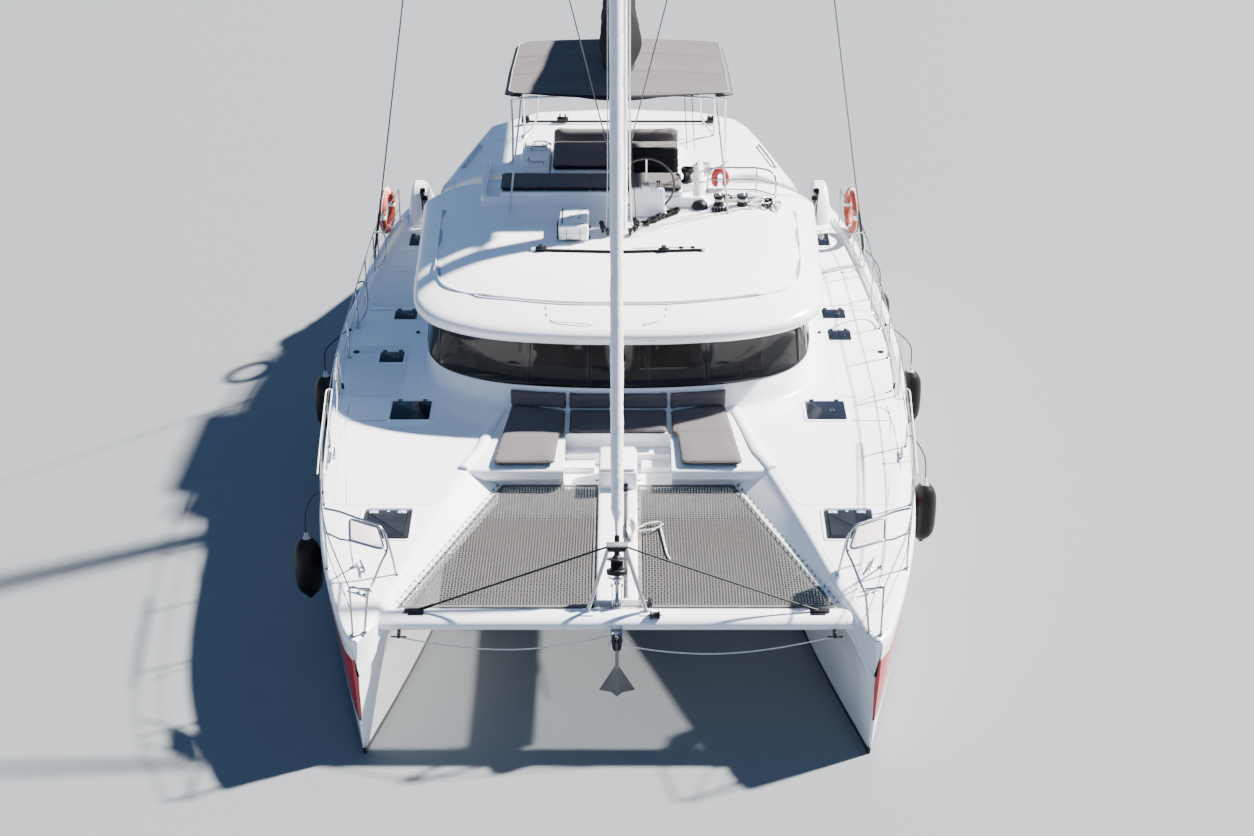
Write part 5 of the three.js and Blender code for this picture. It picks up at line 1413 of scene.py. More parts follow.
# Bimini frame
# Stainless tube: raked legs at the front and the back, three bows under the canopy, and a ladder-like
# brace on the aft legs, all on round deck plates.
bimini_legs = [
    # radius, then the points of the port tube: long front leg, short front leg, aft leg, brace
    (0.0165, [(1.60, 3.02, 3.40), (1.56, 2.50, 3.92), (1.53, 2.02, 4.42), (1.51, 1.55, 4.88),
              (1.50, 1.33, 5.060),
              (1.49, 1.40, 5.082), (1.48, 2.20, 5.086), (1.475, 3.0, 5.086), (1.47, 3.64, 5.082)]),
    (0.0145, [(1.56, 1.05, 3.40), (1.50, 1.40, 3.95), (1.42, 1.83, 4.62), (1.40, 1.95, 4.82),
              (1.34, 2.12, 5.06)]),
    (0.0165, [(1.46, 4.12, 3.42), (1.463, 3.97, 3.95), (1.467, 3.80, 4.55), (1.47, 3.65, 5.07)]),
    (0.0135, [(1.46, 4.09, 3.52), (1.36, 4.03, 3.62), (1.27, 4.015, 3.80), (1.25, 4.005, 3.93),
              (1.235, 3.84, 4.55),
              (1.23, 3.71, 5.03), (1.28, 3.66, 5.075), (1.40, 3.64, 5.08)]),
]
bimini = Form()
for side in (-1, 1):
    for radius, route in bimini_legs:
        bimini.tube(smooth_path(to_side(side, *route), 4), radius, 10)
    for t in (0.22, 0.45, 0.68, 0.90):
        y, z = 4.0 - 0.30 * t, 3.93 + 1.12 * t
        bimini.tube(to_side(side, (1.25 - 0.02 * t, y, z), (1.463, y - 0.01, z)), 0.010, 8)
    for x, y in ((1.60, 3.02), (1.56, 1.05), (1.46, 4.12)):
        top = 3.388 if y < 1.2 else between(hardtop_rows, x)[2]
        bimini.turned([(0.046, 0), (0.046, 0.007), (0.026, 0.014), (0.022, 0.045)], (x * side, y, top),
                      sides=18)
for y, half, rise in ((1.30, 1.50, 0.055), (2.15, 1.34, 0.075), (2.95, 1.475, 0.08), (3.64, 1.47, 0.055)):
    bimini.tube([(half * s, y, 5.080 + rise * (1 - s * s)) for s in (-1, -0.8, -0.5, 0, 0.5, 0.8, 1)], 0.015,
                10)
pole_steel = surface("bright tube steel", (0.60, 0.61, 0.63), 0.30, metal=0.55, mottle=0.05, mottle_scale=6,
                     grain=140, depth=0.0003)
bimini.piece("bimini_frame_tubes", [pole_steel], "steel", ["bimini_frame"])

# Bimini canopy
# One sheet of taupe canvas stretched over the bows, sagging a little between them. A dark bound edge with
# a valance runs round it, a lighter piping down the sides, and flat-felled seams cross it over the bows.
canopy_rows = [
    # y, half width, edge z, crown z
    (1.150, 1.480, 5.100, 5.150), (1.300, 1.600, 5.100, 5.180), (2.400, 1.590, 5.105, 5.200),
    (3.600, 1.540, 5.103, 5.180), (3.750, 1.440, 5.103, 5.150),
]
canopy_front = 1.150
canopy_length = 2.60
bows = (1.30, 2.15, 2.95, 3.64)


def canopy_point(u, v):
    """A point of the sheet: u runs from side to side, v from the front edge to the aft one."""
    y = canopy_front + canopy_length * v
    half, edge, crown = between(canopy_rows, y)
    round_off = min(1, (y - 1.148) / 0.16, (3.752 - y) / 0.16)
    half = half - 0.10 * (1 - max(0, round_off)) ** 2
    y += 0.17 * u * u * max(0, 1 - v * 1.6) ** 2
    z = edge + (crown - edge) * (1 - u * u) ** 0.8 if abs(u) < 1 else edge
    z += 0.05 * u * u * max(0, 1 - v * 1.6) ** 2
    gap = min(abs(y - bow) for bow in bows)
    sag = 0.020 * min(1, gap / 0.35) ** 1.3 * (1 - abs(u) ** 3)
    drop = 0.050 * max(0, abs(u) - 0.965) / 0.035
    drop += 0.040 * max(0, 1 - (y - 1.148) / 0.03) + 0.040 * max(0, 1 - (3.752 - y) / 0.03)
    crease = 0.0035 * math.sin(7.0 * y + 3.0 * abs(u)) * math.sin(5 * u + 1.3) * min(1, gap / 0.2)
    return Vector((half * u, y, z - sag - drop + crease))


canopy = Form()
across = [-1, -0.992, -0.98, -0.965, -0.94]
across += [-0.90 + 0.05 * k for k in range(37)] + [0.94, 0.965, 0.98, 0.992, 1]
down = [0, 0.006, 0.012, 0.025] + [0.045 + 0.91 * k / 52 for k in range(53)] + [0.975, 0.988, 0.994, 1]
sheet_rows = [[canopy_point(u, v) for u in across] for v in down]
canopy.skin(sheet_rows, loop=False, caps=False)
for i in range(len(canopy.faces)):
    row, column = divmod(i, len(across) - 1)
    at_edge = row < 3 or row > len(down) - 5 or column < 1 or column > len(across) - 3
    canopy.paints[i] = 1 if at_edge else 0
canopy_sheet = canopy.piece("bimini_canopy_cloth", [taupe_canvas, charcoal_canvas_and_painted_shade], "fabric",
                            ["bimini_canopy"], sharp=60)
thick = canopy_sheet.modifiers.new("cloth thickness", "SOLIDIFY")
thick.thickness = 0.003
thick.offset = 1
piping_paint = surface("pale piping", (0.30, 0.28, 0.28), 0.8, mottle=0.1, grain=200)
seam_thread = surface("seam thread", (0.17, 0.155, 0.155), 0.85, mottle=0.15, grain=300)
canopy_trim = Form()
canopy_seams = Form()


def along_canopy(form, route, rise, radius, count):
    """A thin round line on the sheet through the u and v of its route."""
    form.tube([canopy_point(u, v) + Vector((0, 0, rise)) for u, v in route], radius, count)


lengthwise = [0.03 + 0.94 * k / 40 for k in range(41)]
crosswise = [-0.94 + 1.88 * k / 40 for k in range(41)]
for u in (-0.962, 0.962):
    along_canopy(canopy_trim, [(u, v) for v in lengthwise], 0.006, 0.007, 6)
canopy_trim.piece("canopy_side_piping", [piping_paint], "fabric")
for bow in bows[1:3]:
    for shift in (-0.022, 0.022):
        v = (bow + shift - canopy_front) / canopy_length
        along_canopy(canopy_seams, [(u, v) for u in crosswise], 0.0035, 0.0022, 5)
for u in (0.32, -0.32):
    along_canopy(canopy_seams, [(u, v) for v in lengthwise], 0.0035, 0.0022, 5)
canopy_seams.piece("canopy_seams", [seam_thread], "fabric")

# Mast and spreaders
# A white painted aluminium tube, oval in section, stepped on the coachroof. It has a luff track up its aft
# side, swept spreaders, a foot casting with turning blocks, and jaws for the boom.
spar_white = surface("white painted aluminium", (0.82, 0.84, 0.86), 0.30, coat=0.25, mottle=0.03,
                     mottle_scale=1.5, grain=90, depth=0.0004)
mast_y = 0.50
boom_z = 5.43
mast = Form()


def oval_ring(z, scale):
    """The mast's section at a height."""
    wide, deep = 0.125 * scale, 0.175 * scale
    outline = squared_ring(32, (-wide, wide), (mast_y - deep, mast_y + deep), (0.9, 0.9))
    return [(x, y, z) for x, y in outline]


mast.skin([oval_ring(z, scale) for z, scale in (
    (3.472, 1.0), (6.0, 1.0), (9.0, 1.0), (12.0, 1.0), (16.0, 1.0), (19.3, 1.0), (20.2, 0.76), (20.79, 0.625),
    (20.80, 0.60))])
mast.block((-0.017, mast_y + 0.165, 3.75), (0.017, mast_y + 0.195, 19.2), soft=0.005, steps=1)
spreader_rows = [
    # share of the length, half width, half thickness
    (0, 0.060, 0.030), (0.15, 0.056, 0.027), (0.5, 0.046, 0.022), (0.9, 0.034, 0.017), (1.0, 0.024, 0.012),
]
for side in (-1, 1):
    spreader = []
    for t, wide, thin in spreader_rows:
        at = Vector((0.06 * side, 0.5, 12.24)).lerp(Vector((2.0 * side, 0.920, 12.30)), t)
        spreader.append([(at.x, at.y + wide * math.cos(a), at.z + thin * math.sin(a)) for a in circle(14)])
    mast.skin(spreader)
    mast.block((0.05 * side - 0.11, 0.40, 12.19), (0.05 * side + 0.11, 0.60, 12.29), soft=0.02)
mast.block((-0.188, mast_y - 0.228, 3.441), (0.188, mast_y + 0.228, 3.462), soft=0.006)
mast.skin([oval_ring(z, scale) for z, scale in (
    (3.460, 1.22), (3.478, 1.20), (3.486, 1.10), (3.530, 1.07), (3.538, 1.01))])
mast.piece("mast_tube", [spar_white], "alloy", ["mast"], sharp=34)
mast_gear = Form()
for side in (-1, 1):
    ear_z = boom_z + 0.0575 * side
    mast_gear.block((-0.030, 0.66, ear_z - 0.0125), (0.030, 0.845, ear_z + 0.0125), soft=0.006)
    mast_gear.turned([(0.026, -0.02), (0.026, 0.02), (0.018, 0.03), (0.006, 0.032)],
                     (1.99 * side, 0.918, 12.30), sides=14)
mast_gear.block((-0.06, 0.655, 5.27), (0.06, 0.685, 5.60), soft=0.008)
mast_gear.turned([(0.014, -0.080), (0.014, 0.071), (0.022, 0.072), (0.022, 0.082)], (0, 0.81, boom_z),
                 sides=14)
for x, y, z in ((0.10, 0.365, 8.4), (-0.10, 0.365, 8.2), (0.11, 0.385, 14.0), (-0.06, 0.335, 18.7)):
    mast_gear.block((x - 0.018, y - 0.012, z - 0.11), (x + 0.018, y + 0.012, z + 0.11), soft=0.009)
mast_gear.block((-0.05, 0.285, 18.62), (0.05, 0.345, 18.74), soft=0.012)
mast_gear.piece("mast_fittings", [steel], "steel")

# Turning blocks at the mast foot
# Black blocks stand on the foot casting on short shackles and lead the halyards aft along the roof.
foot_blocks = Form()
block_places = [(0.16, 0.26), (0.22, 0.34), (0.25, 0.43), (0.26, 0.53), (0.22, 0.64), (-0.15, 0.25),
                (-0.22, 0.36), (-0.24, 0.50)]
for x, y in block_places:
    out = Vector((x, y - mast_y, 0)).normalized()
    axle = Vector((-out.y, out.x, 0))
    foot_blocks.turned([(0.004, -0.019), (0.034, -0.019), (0.036, -0.015), (0.029, -0.008), (0.029, 0.008),
                        (0.036, 0.015), (0.034, 0.019), (0.004, 0.019)], (x, y, 3.545), axle, 16)
    foot_blocks.block((x - 0.02, y - 0.02, 3.462), (x + 0.02, y + 0.02, 3.53), soft=0.008)
foot_blocks.piece("mast_foot_blocks", [black_plastic], "black")

# Halyards and the lines led aft
# Braided halyards run down the port side of the mast to the foot blocks, and from there in a fan across
# the roof to the clutches by the winches. Their tails are coiled beside the clutches.
grey_rope = surface("grey flecked rope", (0.42, 0.43, 0.44), 0.85, mottle=0.35, mottle_scale=60, grain=260,
                    depth=0.0016)
black_rope = surface("black rope", (0.009, 0.009, 0.010), 0.8, shine=0.15, mottle=0.4, mottle_scale=60,
                     grain=260, depth=0.0018)
halyards = Form()
for i, (x, y, top) in enumerate([(0.150, 0.40, 18.6), (0.158, 0.47, 14.0), (0.156, 0.54, 19.0),
                                 (0.146, 0.61, 8.6)]):
    halyards.tube([(x + 0.03, y, 3.58), (x + 0.004, y, 4.2), (x, y, 8.0), (x * 0.9, y * 0.6 + 0.2, top)],
                  0.0075, 6, paint=i % 2)
halyards.tube([(-0.17, 0.30, 3.58), (-0.15, 0.36, 4.3), (-0.14, 0.38, 9.0), (-0.06, 0.36, 18.6)], 0.007, 6,
              paint=1)
halyards.tube([(0.24, 0.62, 3.58), (0.22, 0.66, 3.9), (0.155, 0.69, 5.0), (0.10, 0.70, 8.0)], 0.006, 6,
              paint=2)
halyards.piece("halyards", [rope_paint, grey_rope, black_rope], "rope")
led_lines = Form()
clutch_y = 1.225
fan = [
    # x and y at the mast's foot, x at the clutches, paint
    (0.19, 0.26, 1.335, 0), (0.25, 0.34, 1.375, 1), (0.28, 0.43, 1.415, 0), (0.29, 0.53, 1.455, 0),
    (0.25, 0.64, 1.495, 1), (0.20, 0.24, 1.70, 0), (0.30, 0.48, 1.74, 1), (0.31, 0.56, 1.78, 0),
]
for x, y, end, paint in fan:
    path = [(x, y, 3.52), (x + 0.12, y + 0.07, 3.462),
            (x * 0.4 + end * 0.6, y * 0.4 + clutch_y * 0.6 - 0.01, 3.455), (end, clutch_y, 3.475)]
    led_lines.tube(smooth_path(path, 5), 0.006, 6, paint)
led_lines.piece("lines_led_aft", [rope_paint, grey_rope], "rope")


def heap(form, middle, size, turns, thick, paint, seed, tilt=0.0):
    """A loose heap of rope: long uneven loops, one on the other, kept within size of the middle."""
    dice = random.Random(seed)
    path = []
    for k in range(turns * 12):
        a = 2 * math.pi * k / 12
        wide = 0.72 + 0.28 * dice.random()
        z = thick + size[2] * k / (turns * 12) + thick * 0.6 * dice.random()
        loop = Vector((size[0] * math.cos(a) * wide, size[1] * math.sin(a) * wide, z))
        path.append(Vector(middle) + Matrix.Rotation(tilt, 3, "Z") @ loop)
    form.tube(smooth_path(path, 3), thick, 6, paint)


black_coil = Form()
for k, (x, y) in enumerate([(0.36, 0.62), (0.47, 0.76), (0.58, 0.88), (0.69, 0.99), (0.79, 1.09)]):
    heap(black_coil, (x, y, 3.442), (0.115, 0.065, 0.055), 5, 0.008, 0, 20 + k, 0.85)
black_coil.piece("black_rope_on_roof", [black_rope], "rope")
tail_rows = [
    # x, y, half length, paint
    (1.66, 1.52, 0.13, 0), (1.86, 1.50, 0.15, 1), (1.98, 1.36, 0.13, 0), (2.13, 1.40, 0.14, 2),
    (2.27, 1.36, 0.11, 0), (1.56, 1.58, 0.10, 2),
]
tails = Form()
for k, (x, y, reach, paint) in enumerate(tail_rows):
    heap(tails, (x, y, 3.442 - 0.06 * max(0, x - 2.05)), (reach, reach * 0.6, 0.06), 6, 0.007, paint, 40 + k,
         0.4 * k)
for k, (x, y, z, reach) in enumerate([(1.24, 2.72, 3.50, 0.13), (1.30, 2.52, 3.50, 0.11)]):
    heap(tails, (x, y, z), (reach, reach * 0.8, 0.05), 6, 0.008, 1, 60 + k)
tails.piece("coiled_rope_tails", [rope_paint, grey_rope, black_rope], "rope")

# Boom
# A white extruded spar with rounded sides, end castings and a sheave box at its outer end.
boom_rows = [
    # y, size of the section
    (0.872, 0.68), (0.93, 0.84), (0.97, 0.98), (1.0, 1.0), (3.0, 1.0), (5.0, 1.0), (6.30, 1.0), (6.33, 1.01),
    (6.38, 0.97), (6.405, 0.80),
]
boom = Form()
boom_section = squared_ring(24, (-0.110, 0.110), (-0.130, 0.130), (0.75, 0.75))
boom.skin([[(x * scale, y, boom_z + z * scale) for x, z in boom_section] for y, scale in boom_rows])
boom.block((-0.0245, 0.787, 5.387), (0.0245, 0.92, 5.473), soft=0.012)
boom.piece("boom_spar", [spar_white], "alloy", ["boom"], body="boom", sharp=34)
boom_gear = Form()
for y in (2.6, 4.3, 5.9):
    boom_gear.block((-0.02, y - 0.06, 5.28), (0.02, y + 0.06, 5.315), soft=0.008)
    boom_gear.tube([(0.0, y - 0.02, 5.30), (0.0, y, 5.262), (0.0, y + 0.02, 5.30)], 0.006, 6)
for side in (-1, 1):
    boom_gear.turned([(0.045, 0), (0.045, 0.006), (0.02, 0.01)], (0.109 * side, 6.34, boom_z), (side, 0, 0),
                     16)
    boom_gear.turned([(0.035, 0), (0.035, 0.006), (0.015, 0.01)], (0.093 * side, 0.93, boom_z), (side, 0, 0),
                     16)
boom_gear.piece("boom_fittings", [steel], "steel", body="boom")

# Sail bag
# A long bag of dark canvas with a black lining, laced along the boom. Its two sides are stiffened by battens
# along their tops and fall open at the mast, where the folded sail and its straps show.
bag_cloth = surface("dark sail bag canvas", (0.008, 0.0075, 0.009), 0.86, mottle=0.12, mottle_scale=1.4,
                    grain=480, depth=0.0012, shine=0.12)
bag_inside = surface("black bag lining", (0.008, 0.007, 0.009), 0.8, shine=0.12, mottle=0.2, mottle_scale=6,
                     grain=480, depth=0.001)
bag_rows = [
    # y, half foot, half middle, middle z, top z above the boom's middle, gap between the tops
    (0.91, 0.100, 0.150, 0.42, 0.62, 0.125),
    (1.31, 0.190, 0.270, 0.46, 0.97, 0.165),
    (2.10, 0.186, 0.256, 0.44, 0.90, 0.110),
    (3.01, 0.180, 0.240, 0.42, 0.80, 0.075),
    (4.81, 0.160, 0.200, 0.37, 0.62, 0.050),
    (6.15, 0.110, 0.130, 0.29, 0.42, 0.035),
]
bag_start = 0.91
bag_length = 5.24
bag_steps = 66
bag_up = 12


def bag_sag(y):
    """How far the bag's top hangs down between two of its ties."""
    return 0.022 * abs(math.sin(math.pi * (y - bag_start) / 1.31))


bag = Form()
for side in (-1, 1):
    rows = []
    for k in range(bag_steps + 1):
        y = bag_start + bag_length * k / bag_steps
        foot, middle, level, top, gap = between(bag_rows, y)
        lean = 0.07 * side * max(0, 1 - abs(y - 1.5) / 0.9)
        low = Vector((foot, 0.131))
        bulge = Vector((middle * 1.42 + lean, level))
        high = Vector((gap, top - 0.006))
        column = []
        for j in range(bag_up + 1):
            t = j / bag_up
            at = low * (1 - t) ** 2 + bulge * 2 * t * (1 - t) + high * t * t
            crease = 0.010 * math.sin(9.1 * y + 5 * t) * math.sin(math.pi * t)
            crease += 0.006 * math.sin(23 * y - 8 * t) * t * (1 - t) * 3
            column.append(((at.x + crease) * side, y, boom_z + at.y - bag_sag(y) * t ** 3))
        rows.append(column)
    bag.skin(rows, loop=False, caps=False)
bag_skin = bag.piece("sail_bag_sides", [bag_cloth, bag_inside], "fabric", ["sail_bag"], body="boom", sharp=70)
cloth_wall = bag_skin.modifiers.new("cloth thickness", "SOLIDIFY")
cloth_wall.thickness = 0.004
cloth_wall.offset = -1
cloth_wall.material_offset = 1
bag_trim = Form()
for side in (-1, 1):
    edge = []
    for k in range(45):
        y = bag_start + bag_length * k / 44
        top, gap = between(bag_rows, y)[3:]
        edge.append((gap * side, y, boom_z + top - 0.004 - bag_sag(y)))
    bag_trim.tube(edge, 0.012, 8)
    foot_line = [((between(bag_rows, y)[0] + 0.002) * side, y, boom_z + 0.145)
                 for y in (0.93 + 5.2 * k / 30 for k in range(31))]
    bag_trim.tube(foot_line, 0.008, 6)
bag_trim.piece("sail_bag_battens", [bag_cloth], "fabric", body="boom")
folds = Form()
for k in range(9):
    rows = []
    for i in range(40):
        t = i / 39
        y = 1.0 + 0.012 * k + 5.0 * t
        foot, middle, level, top, gap = between(bag_rows, min(6.1, y))
        wide = (foot + 0.72 * (middle - foot)) * (0.92 - 0.055 * k)
        place = y + 0.05 * math.sin(2.2 * k) * (1 - t)
        height = boom_z + 0.14 + (top - 0.30) * k / 9
        fold = [(wide * s, place, height + 0.035 * (1 - s * s) + 0.008 * math.sin(6 * y + 2 * k + 3 * s))
                for s in (-1, -0.8, -0.4, 0, 0.4, 0.8, 1)]
        rows.append(fold + [(wide * s, place, height - 0.030) for s in (1, 0.4, -0.4, -1)])
    folds.skin(rows)
dark_sail = surface("dark sail cloth in the bag", (0.020, 0.018, 0.021), 0.7, shine=0.15, mottle=0.25,
                    mottle_scale=5, grain=300)
folds.piece("folded_mainsail", [dark_sail], "sail", body="boom")
straps = Form()
strap_rows = [
    # x and z of the upper end and of the lower end, from the boom's middle
    (-0.10, 0.55, -0.02, 0.16), (0.115, 0.62, 0.03, 0.16), (0.06, 0.50, 0.10, 0.14),
    (-0.05, 0.34, 0.09, 0.36),
]
for x0, z0, x1, z1 in strap_rows:
    straps.tube([(x0, 0.955, boom_z + z0), ((x0 + x1) / 2 + 0.01, 0.935, boom_z + (z0 + z1) / 2),
                 (x1, 0.96, boom_z + z1)], 0.011, 6, flat=0.35)
straps.tube([(-0.115, 0.93, 6.03), (-0.04, 0.90, 5.80), (0.05, 0.90, 5.78), (0.12, 0.93, 6.0)], 0.008, 6)
straps.piece("sail_bag_straps", [rope_paint], "rope", body="boom")

# Lines that hold the bag up
# Thin lazy jacks fan down from one point aft of the mast to both sides of the bag, and the topping lift
# runs from the masthead to the boom's end. All meet the mast on the line that the boom swings about.
jacks = Form()
for side in (-1, 1):
    for y in (1.75, 3.40, 5.20):
        top, gap = between(bag_rows, y)[3:]
        jacks.tube([(gap * side, y, boom_z + top - 0.01), (0.0, 0.81, 11.0)], 0.0035, 6)
jacks.tube([(0.0, 6.36, 5.55), (0.0, 3.6, 13.15), (0.0, 0.82, 20.68)], 0.004, 6)
jacks.piece("lazy_jacks_and_topping_lift", [grey_rope], "rope", body="boom")
jack_ring = Form()
jack_ring.tube([(0, 0.68, 11.0), (0, 0.81, 11.0)], 0.007, 6)
jack_ring.turned([(0.020, -0.012), (0.024, 0), (0.020, 0.012)], (0, 0.81, 11.0), sides=12)
jack_ring.piece("lazy_jack_strop", [steel], "steel")

# Furled headsail and its drum
# The genoa is rolled round the forestay foil: white cloth with a spiral edge, creases and a taper at both
# ends. Below it a black furling drum turns between stainless guard plates on the beam's tang.
stay_foot = Vector((0, -6.15, 1.93))
stay_run = Vector((0, 0.36043, 0.93278)).normalized()
sail_cloth = surface("white sail cloth", (0.80, 0.81, 0.82), 0.62, mottle=0.05, mottle_scale=3, grain=140,
                     depth=0.0015, sheen=0.1)
genoa_sizes = [
    # distance up the stay, radius
    (0.479, 0.022), (0.64, 0.030), (0.76, 0.070), (1.2, 0.076), (2.6, 0.081), (8.0, 0.073), (15.0, 0.052),
    (17.55, 0.020), (17.70, 0.014),
]
genoa_low = 0.479
genoa_high = 17.70
genoa_steps = 520
spiral_pitch = 0.62
side_way = Vector((1, 0, 0))
up_way = side_way.cross(stay_run)


def off_stay(a):
    """The direction away from the forestay at an angle."""
    return side_way * math.cos(a) + up_way * math.sin(a)


genoa = Form()
genoa_rings = []
for k in range(genoa_steps + 1):
    h = genoa_low + (genoa_high - genoa_low) * (k / genoa_steps) ** 1.15
    size = between(genoa_sizes, h)[0]
    ring = []
    for a in circle(26):
        wound = (a / (2 * math.pi) + h / spiral_pitch) % 1
        fold = 0.88 + 0.12 * wound ** 0.6
        crease = 0.030 * math.sin(38 * h + 3.0 * a) * math.sin(5.3 * h + a) + 0.018 * math.sin(71 * h - 4 * a)
        ring.append(stay_foot + stay_run * h + off_stay(a) * (size * (fold + crease)))
    genoa_rings.append(ring)
genoa.skin(genoa_rings)
genoa.piece("rolled_headsail", [sail_cloth], "sail", ["furled_genoa"], body="furler", sharp=75)
drum = Form()
drum.turned([(0.012, 0.010), (0.118, 0.012), (0.124, 0.066), (0.118, 0.074), (0.060, 0.078), (0.058, 0.182),
             (0.118, 0.186), (0.124, 0.192), (0.118, 0.201), (0.060, 0.206), (0.052, 0.225), (0.036, 0.240),
             (0.031, 0.30), (0.030, 0.470), (0.018, 0.478)], stay_foot, stay_run, 28)
for k in range(9):
    middle = stay_foot + stay_run * (0.090 + 0.0105 * k)
    drum.tube([middle + off_stay(a) * 0.070 for a in circle(20)], 0.0062, 6, paint=1, closed=True)
drum.piece("furling_drum", [black_plastic, black_rope], "black", ["furler_drum"], body="furler")

# Forestay tang and guard plates
# The stainless cage of the furler stays still: a ring plate above and below the drum joined by pins, link
# plates down to a toggle, and a forked plate bolted to the beam.
cage = Form()
for a in circle(6):
    out = off_stay(a + 0.3)
    cage.tube([stay_foot + stay_run * -0.045 + out * 0.05, stay_foot + stay_run * -0.02 + out * 0.115], 0.007,
              6)
cage.turned([(0.02, -0.055), (0.050, -0.055), (0.052, -0.030), (0.030, -0.020), (0.028, -0.004)], stay_foot,
            stay_run, 20)
for side in (-1, 1):
    cage.block((0.047 * side, -6.33, 1.56), (0.057 * side, -6.20, 1.86), soft=0.004, steps=1)
    for y, z in ((-6.27, 1.63), (-6.215, 1.83)):
        cage.turned([(0.020, 0), (0.020, 0.012), (0.012, 0.016)], (0.056 * side, y, z), (side, 0, 0), 12)
cage.turned([(0.026, -0.34), (0.030, -0.30), (0.022, -0.26), (0.022, -0.12), (0.034, -0.10), (0.034, -0.05),
             (0.02, -0.04)], stay_foot, stay_run, 16)
cage.piece("furler_tang", [steel], "steel")

# Crossbeam
# A white aluminium tube, oval in section, spans the bows, with a collar at each end. It carries the roller
# under its middle, the lugs of the bridles, and the seats of the striker.
beam_y = -6.42
beam_z = 1.50
beam = Form()


def beam_ring(x, scale=1.0):
    """The beam's section at x."""
    return [(x, beam_y + 0.165 * scale * math.cos(a), beam_z + 0.0995 * scale * math.sin(a))
            for a in circle(28)]


collar_rows = ((2.66, 1.004), (2.665, 1.010), (2.735, 1.010), (2.755, 0.98), (2.758, 0.5))
beam.skin([beam_ring(x) for x in (-2.74, -1.6, -0.5, 0.5, 1.6, 2.74)])
for side in (-1, 1):
    beam.skin([beam_ring(x * side, scale) for x, scale in collar_rows])
    beam.block((2.503 * side, beam_y - 0.232, 1.378), (2.54 * side, beam_y - 0.10, 1.458), soft=0.014,
               paint=1)
    beam.tube([(2.43 * side, beam_y - 0.215, 1.40), (2.61 * side, beam_y - 0.215, 1.40)], 0.010, 8, paint=1)
    beam.block((2.24 * side, beam_y - 0.06, 1.585), (2.42 * side, beam_y + 0.06, 1.606), soft=0.008, paint=1)
    beam.block((0.265 * side, beam_y - 0.075, 1.580), (0.415 * side, beam_y + 0.075, 1.606), soft=0.010)
beam.piece("crossbeam_tube", [spar_white, black_plastic], "alloy", ["crossbeam"], sharp=34)
cheek_outline = [(-6.745, 1.30), (-6.735, 1.25), (-6.69, 1.235), (-6.60, 1.25), (-6.52, 1.32), (-6.485, 1.42),
                 (-6.485, 1.515), (-6.60, 1.515), (-6.70, 1.47), (-6.745, 1.39)]
roller = Form()
for side in (-1, 1):
    roller.skin([[(x * side, y, z) for y, z in cheek_outline] for x in (0.0555, 0.0745)])
    roller.turned([(0.028, 0), (0.028, 0.010), (0.016, 0.015)], (0.0745 * side, -6.69, 1.33), (side, 0, 0),
                  16)
roller.tube([(-0.075, -6.69, 1.33), (0.075, -6.69, 1.33)], 0.0215, 12)
roller.tube([(-0.075, -6.52, 1.36), (0.075, -6.52, 1.36)], 0.012, 10)
roller.turned([(0.062, -0.10), (0.066, -0.095), (0.066, -0.03), (0.050, -0.02)], (0, -6.60, 1.475), (0, 0, 1),
              24)
roller.piece("anchor_roller_cheeks", [steel], "steel")
roller_wheel = Form()
roller_wheel.turned([(0.024, -0.046), (0.062, -0.046), (0.066, -0.040), (0.046, -0.012), (0.046, 0.012),
                     (0.066, 0.040), (0.062, 0.046), (0.024, 0.046)], (0, -6.665, 1.395), (1, 0, 0), 28)
for side in (-1, 1):
    roller_wheel.tube(to_side(side, (0.037, -6.735, 1.49), (0.042, -6.745, 1.42), (0.037, -6.748, 1.34),
                              (0.025, -6.74, 1.29)), 0.020, 8)
roller_wheel.piece("anchor_roller", [black_plastic], "black")
beam_winch = Form()
beam_winch.turned([(0.045, -0.06), (0.052, -0.05), (0.036, -0.03), (0.036, 0.03), (0.052, 0.05),
                   (0.045, 0.06)],
                  (0.44, -6.52, 1.625), (1, 0, 0), 18)
beam_winch.block((0.385, -6.53, 1.585), (0.50, -6.45, 1.62), soft=0.012)
beam_winch.tube([(0.36, -6.53, 1.63), (0.52, -6.53, 1.63)], 0.010, 8)
for x in (-0.30, 0.385):
    beam_winch.block((x - 0.028, -6.335, 1.565), (x + 0.028, -6.225, 1.675), soft=0.016)
    beam_winch.tube([(x, -6.33, 1.58), (x, -6.36, 1.55)], 0.014, 8)
beam_winch.piece("beam_clamps_and_block", [black_plastic], "black")
bar_grey = surface("grey anodised aluminium", (0.40, 0.40, 0.42), 0.4, metal=0.6, mottle=0.08, mottle_scale=6,
                   grain=160)
tie_bar = Form()
tie_bar.block((-0.27, -6.275, 1.585), (0.36, -6.262, 1.665), soft=0.004, steps=1)
tie_bar.block((-0.29, -6.285, 1.575), (0.38, -6.275, 1.587), soft=0.004, steps=1)
tie_bar.piece("walkway_tie_bar", [bar_grey], "alloy")

